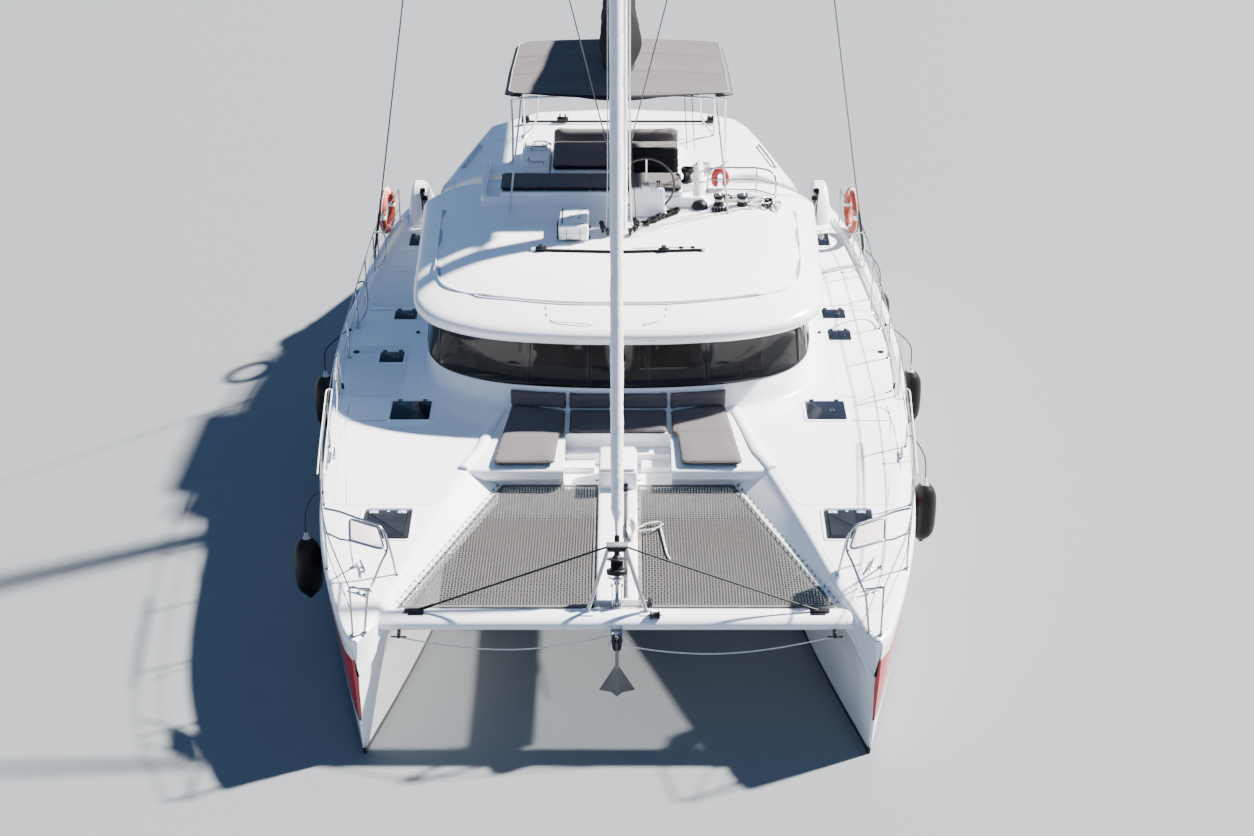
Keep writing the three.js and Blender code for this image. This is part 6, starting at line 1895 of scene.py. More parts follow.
# Striker over the crossbeam
# Two alloy legs and two black wire stays hold a cap plate above the beam, which takes the pull of the
# forestay. The wires end in flat black toggles on the beam.
striker = Form()
for side in (-1, 1):
    striker.tube(to_side(side, (0.34, beam_y + 0.01, 1.603), (0.215, beam_y + 0.015, 2.04),
                         (0.092, -6.40, 2.475)),
                 [0.026, 0.024, 0.023], 14)
    striker.turned([(0.040, -0.008), (0.040, 0.010), (0.026, 0.03)], (0.34 * side, beam_y + 0.01, 1.610),
                   (-0.27 * side, 0, 0.96), 16)
striker.block((-0.122, -6.445, 2.492), (0.122, -6.355, 2.512), soft=0.004)
leg_alloy = surface("dull grey alloy", (0.36, 0.37, 0.39), 0.38, metal=0.75, mottle=0.1, mottle_scale=8,
                    grain=160)
striker.piece("striker_legs", [leg_alloy], "alloy", ["striker"])
striker_dark = Form()
cap_outline = [(-0.118, 2.490), (0.118, 2.490), (0.092, 2.425), (-0.092, 2.425)]
striker_dark.skin([[(x, y, z) for x, z in cap_outline] for y in (-6.44, -6.36)])
for side in (-1, 1):
    foot, head = Vector((2.33 * side, beam_y + 0.01, 1.612)), Vector((0.11 * side, -6.40, 2.470))
    run = (head - foot).normalized()
    striker_dark.tube([foot + run * 0.15, head], 0.0125, 10)
    striker_dark.tube([foot + run * along for along in (0, 0.05, 0.18, 0.24)], [0.022, 0.020, 0.018, 0.013],
                      10)
    striker_dark.block((2.26 * side, beam_y - 0.03, 1.603), (2.47 * side, beam_y + 0.05, 1.628), soft=0.010)
striker_dark.piece("striker_wires_and_cap", [black_plastic], "black")

# Foredeck nets
# Open nets of pale woven webbing fill the space between the hulls. Strands run both ways, over and under
# each other, inside a wide grey border that is laced to eyes along the hull, the beam and the walkway.
webbing = surface("pale woven webbing", (0.090, 0.085, 0.082), 0.85, shine=0.2, mottle=0.10, mottle_scale=8,
                  grain=420, depth=0.0012)
border_cloth = surface("grey net border", (0.12, 0.12, 0.118), 0.85, shine=0.2, mottle=0.15, mottle_scale=5,
                       grain=420, depth=0.0012)
net_low_y, net_high_y = -6.250, -3.395
net_in_x = 0.255
edge_slope = (net_high_y - net_low_y) / (2.560 - 1.475)


def net_edge(y):
    """The outer edge of the net, along the hull."""
    return 1.475 + (net_high_y - y) / edge_slope


def net_sag(x, y):
    """How far the net hangs down between its edges."""
    wide = max(0.05, net_edge(y) - net_in_x)
    across = max(0, min(1, (x - net_in_x) / wide))
    along = (y - net_low_y) / (net_high_y - net_low_y)
    return -0.035 * math.sin(math.pi * across) * math.sin(math.pi * max(0, min(1, along)))


strand_x = 0.036
strand_y = 0.050
weave = 0.0032
border = 0.055
net_z = 1.5575
net_outline = [(net_in_x, net_low_y), (net_in_x, net_high_y), (net_edge(net_high_y), net_high_y),
               (net_edge(net_low_y), net_low_y)]
first_y = net_low_y + border * 0.6
first_x = net_in_x + border + 0.01
inner = [Vector(corner) for corner in inset_outline(net_outline, border)]
outer = [Vector(corner) for corner in inset_outline(net_outline, -0.004)]
for side_name, side in sides:
    net = Form()
    for i in range(int((net_edge(net_low_y) - first_x - border) / strand_x) + 1):
        x = first_x + strand_x * i
        top = min(net_high_y - border * 0.6, net_high_y - (x + border - net_edge(net_high_y)) * edge_slope)
        steps = int((top - first_y) / strand_y)
        if steps < 1:
            continue
        strand = []
        for j in range(steps + 2):
            y = min(top, first_y + strand_y * j)
            lift = weave if (i + j) % 2 else -weave
            strand.append(((x + 0.006 * math.sin(2.1 * y + 0.9 * x)) * side, y, net_z + net_sag(x, y) + lift))
        net.tube(strand, 0.0080, 4, flat=0.32)
    for j in range(int((net_high_y - first_y - border) / strand_y) + 1):
        y = first_y + strand_y * j
        edge = net_edge(y) - border * 0.8
        strand = []
        for i in range(int((edge - first_x) / strand_x) + 2):
            x = min(edge, first_x - 0.2 * border + strand_x * i)
            lift = -weave if (i + j) % 2 else weave
            strand.append((x * side, y, net_z + net_sag(x, y) + lift))
        net.tube(strand, 0.0088, 4, flat=0.32)
    for i in range(4):
        band = []
        for t in (k / 16 for k in range(17)):
            p = outer[i].lerp(outer[(i + 1) % 4], t)
            q = inner[i].lerp(inner[(i + 1) % 4], t)
            low = net_sag(q.x, q.y)
            band.append([(p.x * side, p.y, 1.566), (q.x * side, q.y, 1.565 + low),
                         (q.x * side, q.y, 1.552 + low), (p.x * side, p.y, 1.552)])
        net.skin(band, paint=1)
    net.piece(f"net_webbing_{side_name}", [webbing, border_cloth], "net", [f"net_{side_name}"], sharp=80)

# Net lacing
# A black line laces each net's border to pad eyes screwed along the hull's inner flange and the walkway.
lacing = Form()
eyes = Form()


def pad_eye(foot_x, top_x, y, z):
    """A small staple that stands on its two feet."""
    eyes.tube([(foot_x, y - 0.018, z), (top_x, y - 0.016, z + 0.012), (top_x, y + 0.016, z + 0.012),
               (foot_x, y + 0.018, z)], 0.0045, 6)


for side in (-1, 1):
    laced = []
    for k in range(25):
        y = net_high_y + (net_low_y - net_high_y) * (k + 0.5) / 25
        edge = net_edge(y)
        pad_eye((edge + 0.060) * side, (edge + 0.040) * side, y, 1.585)
        laced += [((edge - 0.025) * side, y - 0.03, 1.572), ((edge + 0.045) * side, y, 1.594)]
        if k % 2:
            pad_eye(0.246 * side, 0.262 * side, y, 1.560)
    lacing.tube(laced, 0.004, 6)
lacing.piece("net_lacing", [black_rope], "rope")
eyes.piece("net_lacing_eyes", [black_plastic], "black")

# Anchor and its chain
# A galvanised plough anchor hangs from the roller: a folded triangular blade with a sharp ridge, and a
# shank shackled to the chain that runs back along the walkway in a shallow grey trough.
galvanised = surface("dull galvanised steel", (0.17, 0.175, 0.18), 0.48, metal=0.85, mottle=0.14,
                     mottle_scale=14, grain=120, depth=0.0012, rough_play=0.15)
anchor = Form()
peak = Vector((0, -6.735, 1.09))
keel = Vector((0, -6.765, 0.66))
for side in (-1, 1):
    wing = Vector((0.206 * side, -6.615, 0.645))
    mid = Vector((0.105 * side, -6.672, 0.86))
    low_edge = Vector((0.060 * side, -6.735, 0.700))
    front = [peak, mid, wing, low_edge, keel]
    back = [p + Vector((0, 0.013, 0.0)) for p in front]
    anchor.skin([front, back])
    anchor.tube([peak + Vector((0.008 * side, 0, -0.01)), mid, wing], [0.006, 0.008, 0.005], 6)
    anchor.tube([wing, low_edge, keel], [0.005, 0.008, 0.008], 6)
anchor.tube([peak, keel], [0.008, 0.012], 8)
shank = [(-6.70, 1.02), (-6.76, 1.03), (-6.765, 1.20), (-6.755, 1.285), (-6.735, 1.305), (-6.71, 1.290),
         (-6.69, 1.20)]
anchor.skin([[(x, y, z) for y, z in shank] for x in (-0.021, 0.021)])
anchor.block((-0.018, -6.74, 0.68), (0.018, -6.62, 1.05), soft=0.008)
anchor.piece("plough_anchor", [galvanised], "galvanised", ["anchor"], sharp=30)
chain = Form()
link_wire = 0.0055
link_pitch = 0.027
link_outline = squared_ring(12, (-0.019, 0.019), (-0.011, 0.011), (0.8, 1))
chain_runs = [
    [Vector((0.0, -6.745, 1.30)), Vector((0.0, -6.742, 1.40)), Vector((0.0, -6.70, 1.465))],
    [Vector((0.105, -6.14, 1.622)), Vector((0.105, -3.70, 1.622))],
]
for path in chain_runs:
    for a, b in zip(path, path[1:]):
        run = (b - a).normalized()
        for k in range(max(1, int((b - a).length / link_pitch))):
            middle = a + run * link_pitch * (k + 0.5)
            across = run.cross(Vector((0, 0, 1)) if k % 2 else Vector((1, 0.2, 0.1))).normalized()
            link = [middle + run * along + across * out for along, out in link_outline]
            chain.tube(link, link_wire, 6, closed=True)
chain.piece("anchor_chain", [galvanised], "galvanised")
trough = Form()
trough.block((0.075, -6.15, 1.6085), (0.135, -3.64, 1.6145), soft=0.003, steps=1)
trough.block((0.080, -3.66, 1.61), (0.130, -3.57, 1.70), soft=0.015, paint=1)
trough.piece("chain_trough", [bar_grey, black_plastic], "alloy")
bow_rope = Form()
heap(bow_rope, (0.17, -4.62, 1.610), (0.060, 0.26, 0.05), 6, 0.007, 0, 81)
heap(bow_rope, (0.40, -4.50, 1.575), (0.20, 0.09, 0.03), 3, 0.006, 0, 82, 0.5)
bow_rope.tube(smooth_path([(0.52, -4.36, 1.58), (0.56, -4.70, 1.565), (0.60, -5.05, 1.56),
                           (0.64, -5.20, 1.555)], 5), 0.011, 8)
bow_rope.piece("furling_line_bundle", [rope_paint], "rope")

# Shrouds
# Stainless wire stays the mast on each side: a cap shroud from the chainplate over the spreader's tip to
# the hounds, and a diamond wire from the tip to the mast's foot. Dark sleeves cover the rigging screws.
sleeve_dark = surface("dark plastic sleeve", (0.012, 0.012, 0.014), 0.4, shine=0.25, mottle=0.2,
                      mottle_scale=6, grain=80)
wire_steel = surface("dull wire rope", (0.10, 0.105, 0.115), 0.42, metal=0.8, mottle=0.25, mottle_scale=20,
                     grain=300)
plate_rounding = {"port": 0.006, "starboard": 0}
for side_name, side in sides:
    wires = Form()
    foot, tip = Vector((3.768 * side, 2.900, 1.815)), Vector((2.020 * side, 0.924, 12.300))
    hounds, heel = Vector((0.143 * side, 0.500, 19.235)), Vector((0.153 * side, 0.460, 4.705))
    for start, end, radius in ((foot, tip, 0.0110), (tip, hounds, 0.0095), (tip, heel, 0.0090)):
        run = (end - start).normalized()
        wires.tube([start, end], radius, 8)
        wires.tube([start, start + run * 0.03, start + run * 0.20, start + run * 0.215],
                   [0.014, 0.012, 0.012, radius], 10)
        wires.tube([end - run * 0.215, end - run * 0.20, end - run * 0.02], [radius, 0.012, 0.012], 10)
    wires.turned([(0.012, -0.030), (0.024, -0.018), (0.026, 0), (0.024, 0.018), (0.012, 0.030)], tip,
                 sides=14)
    run = (tip - foot).normalized()
    wires.tube([foot + run * d for d in (0.16, 0.17, 0.95, 1.02)], [0.012, 0.021, 0.021, 0.010], 12, paint=1)
    wires.block((3.744 * side - 0.002, 2.866, 1.66), (3.792 * side + 0.002, 2.934, 1.838),
                plate_rounding[side_name])
    wires.tube([(3.735 * side, 2.90, 1.815), (3.800 * side, 2.90, 1.815)], 0.011, 10)
    wires.piece(f"shroud_wires_{side_name}", [wire_steel, sleeve_dark], "steel", [f"shroud_{side_name}"])

# Guard rails and bow seats
# Welded stainless tube: a pulpit with a moulded seat on each bow, stanchions in deck sockets, a rail and
# a wire through them to the stern, and a bent hoop beside each gate.
rail_rows = [
    # y, x, foot z
    (-6.90, 3.010, 1.600), (-5.65, 3.440, 1.708), (-4.30, 3.640, 1.794), (-2.90, 3.730, 1.846),
    (-1.50, 3.780, 1.860), (-0.35, 3.765, 1.860), (0.60, 3.750, 1.860), (1.60, 3.725, 1.860),
    (2.90, 3.680, 1.860), (4.30, 3.480, 1.860),
]
seat_board = surface("pale pink seat moulding", (0.66, 0.58, 0.56), 0.45, coat=0.15, mottle=0.03,
                     mottle_scale=3, grain=160)
seat_corners = [(3.175, -5.425), (2.823, -5.640), (2.683, -6.156), (3.110, -5.934)]
rail_bends = [
    # radius, then the points of the port tube: seat front, pulpit, the hoops beside the two gates
    (0.0145, [(2.616, -5.767, 1.694), (2.66, -5.74, 1.95), (2.72, -5.70, 2.20), (2.80, -5.655, 2.305),
              (2.90, -5.60, 2.318), (3.10, -5.48, 2.318), (3.30, -5.36, 2.325), (3.49, -5.30, 2.335)]),
    (0.0145, [(2.735, -5.71, 2.235), (2.66, -6.10, 2.262), (2.70, -6.40, 2.262), (2.768, -6.84, 2.222),
              (2.80, -6.905, 2.19), (2.83, -6.90, 2.00), (2.880, -6.860, 1.612)]),
    (0.0125, [(3.752, 0.60, 1.925), (3.735, 0.72, 1.905), (3.69, 0.90, 1.93), (3.655, 0.985, 2.03),
              (3.64, 0.97, 2.25), (3.645, 0.92, 2.42), (3.69, 0.86, 2.485), (3.742, 0.80, 2.490)]),
    (0.0125, [(3.695, 2.45, 1.925), (3.68, 2.57, 1.905), (3.61, 2.75, 1.93), (3.565, 2.83, 2.03),
              (3.55, 2.80, 2.25), (3.56, 2.74, 2.42), (3.62, 2.66, 2.485), (3.684, 2.60, 2.490)]),
]
rail_struts = [
    # radius, sides, then the points of the port bar
    (0.012, 10, [(2.780, -6.880, 2.210), (3.010, -6.900, 2.240)]),
    (0.012, 8, [(3.115, -5.93, 2.27), (3.23, -5.90, 2.272), (3.405, -5.78, 2.285)]),
    (0.012, 8, [(3.135, -5.633, 1.722), (3.125, -5.80, 2.02), (3.112, -5.935, 2.27)]),
    (0.012, 8, [(2.683, -6.15, 2.27), (2.672, -6.14, 2.262)]),
    (0.0125, 10, [(3.695, 2.45, 1.864), (3.695, 2.45, 2.49)]),
]
stanchion_base = [(0.033, 0.0), (0.034, 0.006), (0.022, 0.013), (0.0165, 0.02), (0.0155, 0.055),
                  (0.0125, 0.058)]
for side_name, side in sides:
    rail = Form()
    for y, x, z in rail_rows:
        rail.tube(to_side(side, (x, y, z + 0.004), (x, y, z + 0.632), (x, y, z + 0.640)),
                  [0.0125, 0.0125, 0.008], 10)
        rail.turned(stanchion_base, (x * side, y, z), sides=14)
        for share in (0.52, 0.985):
            rail.turned([(0.006, -0.018), (0.013, -0.012), (0.013, 0.012), (0.006, 0.018)],
                        (x * side, y, z + 0.64 * share), (0, 1, 0), 10)
    for height, radius in ((0.630, 0.0088), (0.333, 0.0060)):
        rail.tube(smooth_path([(x * side, y, z + height) for y, x, z in rail_rows], 4), radius, 8)
    for radius, route in rail_bends:
        rail.tube(smooth_path(to_side(side, *route), 5), radius, 10)
    for radius, count, route in rail_struts:
        rail.tube(to_side(side, *route), radius, count)
    for x, y, z in ((2.616, -5.767, 1.690), (3.135, -5.633, 1.718), (2.880, -6.860, 1.606)):
        rail.turned([(0.036, 0.0), (0.036, 0.007), (0.022, 0.014), (0.016, 0.03)], (x * side, y, z), sides=16)
    seat = rounded_outline([(x * side, y) for x, y in seat_corners], 0.055, 4)
    rail.plate(inset_outline(seat, 0.012), 2.262, 2.290, 0.010, 1)
    rail.tube([(x, y, 2.274) for x, y in seat], 0.0155, 10, closed=True)
    rail.turned([(0.033, 0), (0.034, 0.006), (0.018, 0.014), (0.0125, 0.02)], (3.695 * side, 2.45, 1.861),
                sides=14)
    rail.piece(f"guard_rail_{side_name}", [steel, seat_board], "steel", [f"rail_{side_name}"])
gate_bar = [(3.640, -4.66, 2.440), (3.690, -4.0, 2.462), (3.742, -3.2, 2.482), (3.782, -2.60, 2.492)]
gate_tails = [
    # radius, then the points of the port line
    (0.007, [(3.765, -1.45, 2.485), (3.77, -1.39, 2.30), (3.752, -1.36, 2.06), (3.74, -1.34, 1.90)]),
    (0.006, [(3.776, -1.49, 2.485), (3.79, -1.62, 2.25), (3.75, -1.90, 2.02), (3.70, -2.6, 1.93),
             (3.66, -3.45, 1.89)]),
]
gate_lines = Form()
for side in (1, -1):
    for shift in (0, 0.075):
        gate_lines.tube(smooth_path([((x - shift) * side, y, z) for x, y, z in gate_bar], 4), 0.0085, 8)
    gate_lines.tube(to_side(side, (3.782, -2.60, 2.492), (3.776, -2.55, 2.497), (3.745, -2.535, 2.499),
                            (3.713, -2.55, 2.497), (3.707, -2.60, 2.492)), 0.0085, 8)
    for radius, route in gate_tails:
        gate_lines.tube(smooth_path(to_side(side, *route), 4), radius, 6)
    gate_lines.tube(to_side(side, (3.745, -1.36, 1.98), (3.742, -1.335, 1.90), (3.738, -1.30, 1.885)),
                    [0.016, 0.020, 0.010], 8, paint=1)
gate_lines.piece("rail_lashings", [rope_paint, black_plastic], "rope")

# Deck hatches
# Flush hatches of smoked acrylic in white frames let light into the hulls. Each has a round lever with a
# paler ring, and hinges of black plastic.
smoked = surface("smoked acrylic", (0.008, 0.010, 0.016), 0.14, mottle=0.15, mottle_scale=4, grain=40,
                 depth=0.0003, rough_play=0.04, shine=0.25)
hatch_rows = [
    # middle x, y, width, length
    (2.770, -1.930, 0.560, 0.560), (-2.770, -1.930, 0.560, 0.560), (3.150, 0.360, 0.360, 0.360),
    (-3.175, -0.340, 0.370, 0.360), (3.125, 1.070, 0.370, 0.340), (-3.100, 1.040, 0.360, 0.340),
    (3.160, 3.755, 0.280, 0.450), (-3.160, 3.755, 0.280, 0.450),
]
hatches = Form()
for x, y, width, length in hatch_rows:
    corners = rectangle(x - width / 2, x + width / 2, y - length / 2, y + length / 2)
    outline = rounded_outline(corners, 0.045, 4)
    lever_x = x + width * 0.16
    hinge_y = y + length / 2
    rings = []
    for pull, z in ((-0.022, 1.855), (-0.022, 1.866), (-0.016, 1.871), (0.012, 1.874), (0.016, 1.872),
                    (0.016, 1.86)):
        rings.append([(px, py, z) for px, py in inset_outline(outline, pull)])
    hatches.skin(rings, caps=False)
    hatches.plate(inset_outline(outline, 0.018), 1.856, 1.877, 0.006, 1)
    hatches.turned([(0.034, 0), (0.034, 0.003), (0.027, 0.005)], (lever_x, y, 1.8755), sides=18, paint=2)
    hatches.turned([(0.026, 0), (0.026, 0.006), (0.020, 0.010)], (lever_x, y, 1.876), sides=18, paint=3)
    hatches.block((lever_x - 0.007, y - 0.05, 1.882), (lever_x + 0.007, y + 0.05, 1.889), 0.003, 3)
    for hinge_x in (x - 0.3 * width, x + 0.3 * width):
        hatches.block((hinge_x - 0.03, hinge_y - 0.012, 1.872), (hinge_x + 0.03, hinge_y + 0.020, 1.884),
                      0.004, 3)
hatches.piece("deck_hatches", [gelcoat, smoked, steel, black_plastic], "glass", sharp=35)

# Deck grooves, vents and fillers
# Narrow grooves divide the side decks, drawn as thin grey strips whose grey is painted shade, and small black
# vents and filler caps stand along the cabin.
deck_marks = Form()


def on_deck(x, y):
    """A point just above the side deck or its non-slip panel."""
    return (x, y, deck_top(y) + (0.0045 if abs(x) < sheer_x(y) - 0.2 else 0.001))


groove_routes = [
    [(3.64, 1.218), (3.30, 1.218)], [(3.655, -0.167), (3.37, -0.167)], [(3.45, 2.569), (3.00, 2.569)],
    [(3.58, -2.206), (3.07, -2.206)], [(3.615, -1.78), (3.59, -2.4), (3.43, -3.755), (3.36, -4.3)],
]
for route in groove_routes:
    for side in (1, -1):
        line = [on_deck(x * side, y) for x, y in route]
        deck_marks.tube(smooth_path(line, 6), 0.0065, 6, flat=0.35)
for x, y in ((2.875, 0.459), (2.480, -1.110), (-2.875, 0.459), (-2.480, -1.110)):
    deck_marks.turned([(0.028, 0), (0.030, 0.006), (0.022, 0.016), (0.008, 0.020)], (x, y, 1.868), sides=16,
                      paint=1)
for side in (1, -1):
    deck_marks.turned([(0.045, 0), (0.046, 0.006), (0.036, 0.010), (0.034, 0.007), (0.008, 0.007)],
                      (3.690 * side, -0.167, 1.8635), sides=20, paint=1)
deck_marks.piece("deck_grooves_and_vents", [painted_groove_shade, black_plastic], "black")

# Mooring cleats
# Cast stainless horn cleats on two feet are bolted to the bows, amidships and at the sterns.
cleat_rows = [
    # x, y, turn in degrees
    (-3.02, -5.67, 20), (-2.98, -6.13, 65), (-3.65, -3.15, 4), (3.02, -5.62, -20), (2.98, -6.13, -65),
    (3.65, -3.15, -4),
    (3.62, 4.55, 8), (-3.62, 4.55, -8),
]
cleat_horn = [(-0.150, 0.050), (-0.125, 0.060), (-0.070, 0.052), (0, 0.050), (0.070, 0.052), (0.125, 0.060),
              (0.150, 0.050)]
horn_sizes = [0.001 * min(14, 8 + k, 25 - k) for k in range(19)]
cleats = Form()
for x, y, degrees in cleat_rows:
    foot = Vector((x, y, deck_top(y)))
    turn = Matrix.Rotation(math.radians(degrees), 3, "Z")
    horn = [foot + turn @ Vector((0, along, rise)) for along, rise in cleat_horn]
    cleats.tube(smooth_path(horn, 3), horn_sizes, 10)
    for reach in (-0.045, 0.045):
        base = foot + turn @ Vector((0, reach, 0))
        cleats.turned([(0.030, -0.004), (0.030, 0.005), (0.015, 0.014), (0.013, 0.045)], base, sides=14)
cleats.piece("mooring_cleats", [steel], "steel")

# Bow locker lids
# A black moulded lid with rounded corners closes each anchor and fender locker: a thin top over a rim that
# drops into the opening, two grey latches at its aft edge. A white frame is bonded round the opening.
latch_grey = surface("grey moulded latch", (0.55, 0.56, 0.57), 0.35, coat=0.2, mottle=0.06, mottle_scale=12,
                     grain=90)
lid_black = surface("black lid laminate", (0.010, 0.011, 0.015), 0.35, mottle=0.25, mottle_scale=3, grain=120,
                    shine=0.2)
for side_name, side in sides:
    lid = Form()
    outline = rounded_outline(rectangle(2.546 * side, 3.124 * side, -5.044, -4.406), 0.055, 5)
    lid.plate(outline, 1.752, 1.775, 0.008)
    lid.plate(inset_outline(outline, 0.035), 1.731, 1.753)
    lid.plate(inset_outline(outline, 0.050), 1.774, 1.7775, 0.003)
    for x in (2.66, 3.01):
        lid.block((x * side - 0.055, -4.475, 1.775), (x * side + 0.055, -4.420, 1.785), 0.006, 1)
        lid.turned([(0.022, 0), (0.022, 0.005), (0.016, 0.008)], (x * side, -4.448, 1.784), sides=16, paint=1)
    lid.block((2.835 * side - 0.016, -4.440, 1.775), (2.835 * side + 0.016, -4.415, 1.781), 0.004, 1)
    lid.piece(f"bow_locker_lid_moulding_{side_name}", [lid_black, latch_grey], "black",
              [f"bow_locker_lid_{side_name}"], body=f"bow_locker_lid_{side_name}", sharp=30)
frames = Form()
for side in (1, -1):
    outer = rounded_outline(rectangle(2.500 * side, 3.170 * side, -5.090, -4.360), 0.075, 5)
    rings = []
    for pull, z in ((0.0, 1.755), (0.0, 1.776), (0.006, 1.782), (0.030, 1.782), (0.034, 1.776),
                    (0.034, 1.760)):
        rings.append([(x, y, deck_top(y) - 1.770 + z) for x, y in inset_outline(outer, pull)])
    frames.skin(rings, caps=False)
frames.piece("bow_locker_frames", [gelcoat], "gelcoat", sharp=35)

# Engine hatch lids
# White moulded lids lie flush in the aft decks over the engines, each with a non-slip top
# and a flush lift ring.
for side_name, side in sides:
    lid = Form()
    outline = rounded_outline(rectangle(2.446 * side, 2.894 * side, 4.106, 4.794), 0.045, 5)
    lid.plate(outline, 1.845, 1.8655, 0.006)
    lid.plate(inset_outline(outline, 0.03), 1.824, 1.846)
    lid.plate(inset_outline(outline, 0.06), 1.8645, 1.8675, 0.002, 1)
    lid.turned([(0.030, 0), (0.030, 0.003), (0.022, 0.003), (0.018, 0.001)], (2.67 * side, 4.71, 1.8655),
               sides=20, paint=2)
    lid.piece(f"engine_lid_moulding_{side_name}", [gelcoat, nonslip, steel], "gelcoat",
              [f"engine_lid_{side_name}"], body=f"engine_lid_{side_name}", sharp=30)

# Front cockpit cushions
# Three foam pads in taupe canvas line the seat ahead of the cabin, with low backs against the window band.
# Their sides are painted dark charcoal as painted shade, and creases show where people have sat.
front_corners = {
    "middle": [(-0.662, -1.990), (-0.662, -2.634), (0.662, -2.634), (0.662, -1.990)],
    "port": [(0.680, -2.02), (0.680, -2.640), (0.746, -2.700), (0.786, -3.415), (0.832, -3.462),
             (1.556, -3.472), (1.612, -3.418), (1.514, -2.500), (1.436, -1.815), (1.36, -1.79),
             (1.05, -1.90)],
}
front_corners["starboard"] = [(-x, y) for x, y in front_corners["port"][::-1]]
front_creases = {"middle": (0, 0.0, 0.012, 0.008), "port": (1, -2.66, 0.014, 0.012),
                 "starboard": (1, -2.66, 0.014, 0.012)}
back_ends = {"middle": (-0.655, 0.655), "port": (0.685, 1.435), "starboard": (-1.435, -0.685)}
back_rows = [
    # z, distance of the back's two faces from the wall
    (1.952, 0.012, 0.066), (1.975, 0.008, 0.076), (2.05, 0.008, 0.078), (2.13, 0.008, 0.074),
    (2.158, 0.012, 0.062),
]
back_steps = 14


def before_wall(x, z, reach):
    """The y of a point that stands off the front of the cabin's wall by a reach."""
    curve = wall_ring(z, reach)
    nearest = min(curve, key=lambda p: abs(p[0] - x) + (9 if p[1] > 0.5 else 0))
    after = curve[min(curve.index(nearest) + 1, len(curve) - 1)]
    before = curve[max(curve.index(nearest) - 1, 0)]
    other = after if (after[0] - x) * (nearest[0] - x) <= 0 else before
    t = 0 if abs(other[0] - nearest[0]) < 1e-6 else (x - nearest[0]) / (other[0] - nearest[0])
    return nearest[1] + (other[1] - nearest[1]) * max(0, min(1, t))


def back_pad(low_x, high_x):
    """The low back of a seat: a bent slab that stands off the cabin's wall."""
    form = Form()
    columns = []
    for k in range(back_steps + 1):
        x = low_x + (high_x - low_x) * k / back_steps
        near_face = [(x, before_wall(x, z, near), z) for z, near, far in back_rows]
        far_face = [(x, before_wall(x, z, far), z) for z, near, far in back_rows]
        columns.append(near_face + far_face[::-1])
    form.skin(columns)
    return form


for name, corners in front_corners.items():
    outline = rounded_outline(corners, 0.05, 4)
    pad = stuffed(f"front_cushion_pad_{name}", pad_shape(outline, 1.876, 1.938, 0.028, 0.013), pad_voxel,
                  0.014, 1.8655)
    pad_finish(pad, canvas_with_painted_shade_sides, [f"front_cushion_{name}"], [front_creases[name]], 0.45)
    welt(f"front_cushion_welt_{name}", pad, outline, 1.945, taupe_canvas, 0.0055)
    back = stuffed(f"front_cushion_back_{name}", back_pad(*back_ends[name]), pad_voxel, 0.010, 1.945)
    pad_finish(back, [taupe_canvas], [], [(2, 2.05, 0.012, 0.006)])

# Cockpit table and seats
# A varnished table stands on one column in the aft cockpit, with L-shaped cushions to port and
# across the stern.
table = Form()
table.plate(rounded_outline(rectangle(0.50, 1.50, 3.20, 4.40), 0.07), 1.791, 1.829, 0.010)
table.tube([(1.0, 3.20, 1.828), (1.0, 4.40, 1.828)], 0.004, 6, paint=1)
table.turned([(0.150, 0), (0.150, 0.008), (0.060, 0.016), (0.042, 0.030), (0.040, 0.60), (0.060, 0.66),
              (0.11, 0.685)],
             (1.0, 3.80, 1.1015), sides=24, paint=1)
table.piece("cockpit_table_top", [teak, steel], "wood", ["cockpit_table"])
side_shape = pad_shape(rounded_outline(rectangle(2.014, 2.244, 2.604, 5.326), 0.04, 4), 1.514, 1.606,
                       inset=0.012)
side_pad = stuffed("cockpit_side_cushion", side_shape, pad_voxel * 1.3, 0.013, 1.5045)
pad_finish(side_pad, canvas_with_painted_shade_sides, ["cockpit_cushions"], [(1, 3.50, 0.014, 0.012),
                                                              (1, 4.42, 0.014, 0.012)])
aft_shape = pad_shape(rounded_outline(rectangle(-1.896, 1.990, 5.374, 5.886), 0.05, 4), 1.553, 1.627,
                      inset=0.012)
aft_pad = stuffed("cockpit_aft_cushion", aft_shape, pad_voxel * 1.4, 0.013, 1.5440)
pad_finish(aft_pad, canvas_with_painted_shade_sides, [], [(0, x, 0.014, 0.012) for x in (-0.90, 0.05, 1.0)])

# Headsail track
# A curved black track crosses the roof ahead of the mast, with a car, end stops and turning blocks.
track_route = [(-1.180, -0.230), (-0.600, -0.262), (0.0, -0.290), (0.600, -0.262), (1.180, -0.230)]
track_path = smooth_path([(x, y, 3.455) for x, y in track_route], 8)
track = Form()
rings = []
for p in track_path:
    rings.append([(p.x, p.y + dy, p.z + dz) for dy, dz in (
        (-0.018, -0.013), (0.018, -0.013), (0.018, -0.004), (0.011, 0.002), (0.018, 0.010), (0.016, 0.018),
        (-0.016, 0.018),
        (-0.018, 0.010), (-0.011, 0.002), (-0.018, -0.004))])
track.skin(rings)
for x in (-1.17, 1.17):
    track.block((x - 0.03, -0.257, 3.445), (x + 0.03, -0.205, 3.492), 0.010, 1)
for x, y in ((-1.06, -0.236), (0.62, -0.260)):
    track.block((x - 0.075, y - 0.032, 3.468), (x + 0.075, y + 0.032, 3.497), 0.010)
    track.turned([(0.028, 0), (0.040, 0.008), (0.034, 0.022), (0.040, 0.036), (0.026, 0.044)], (x, y, 3.492),
                 (0, 0, 1), 18)
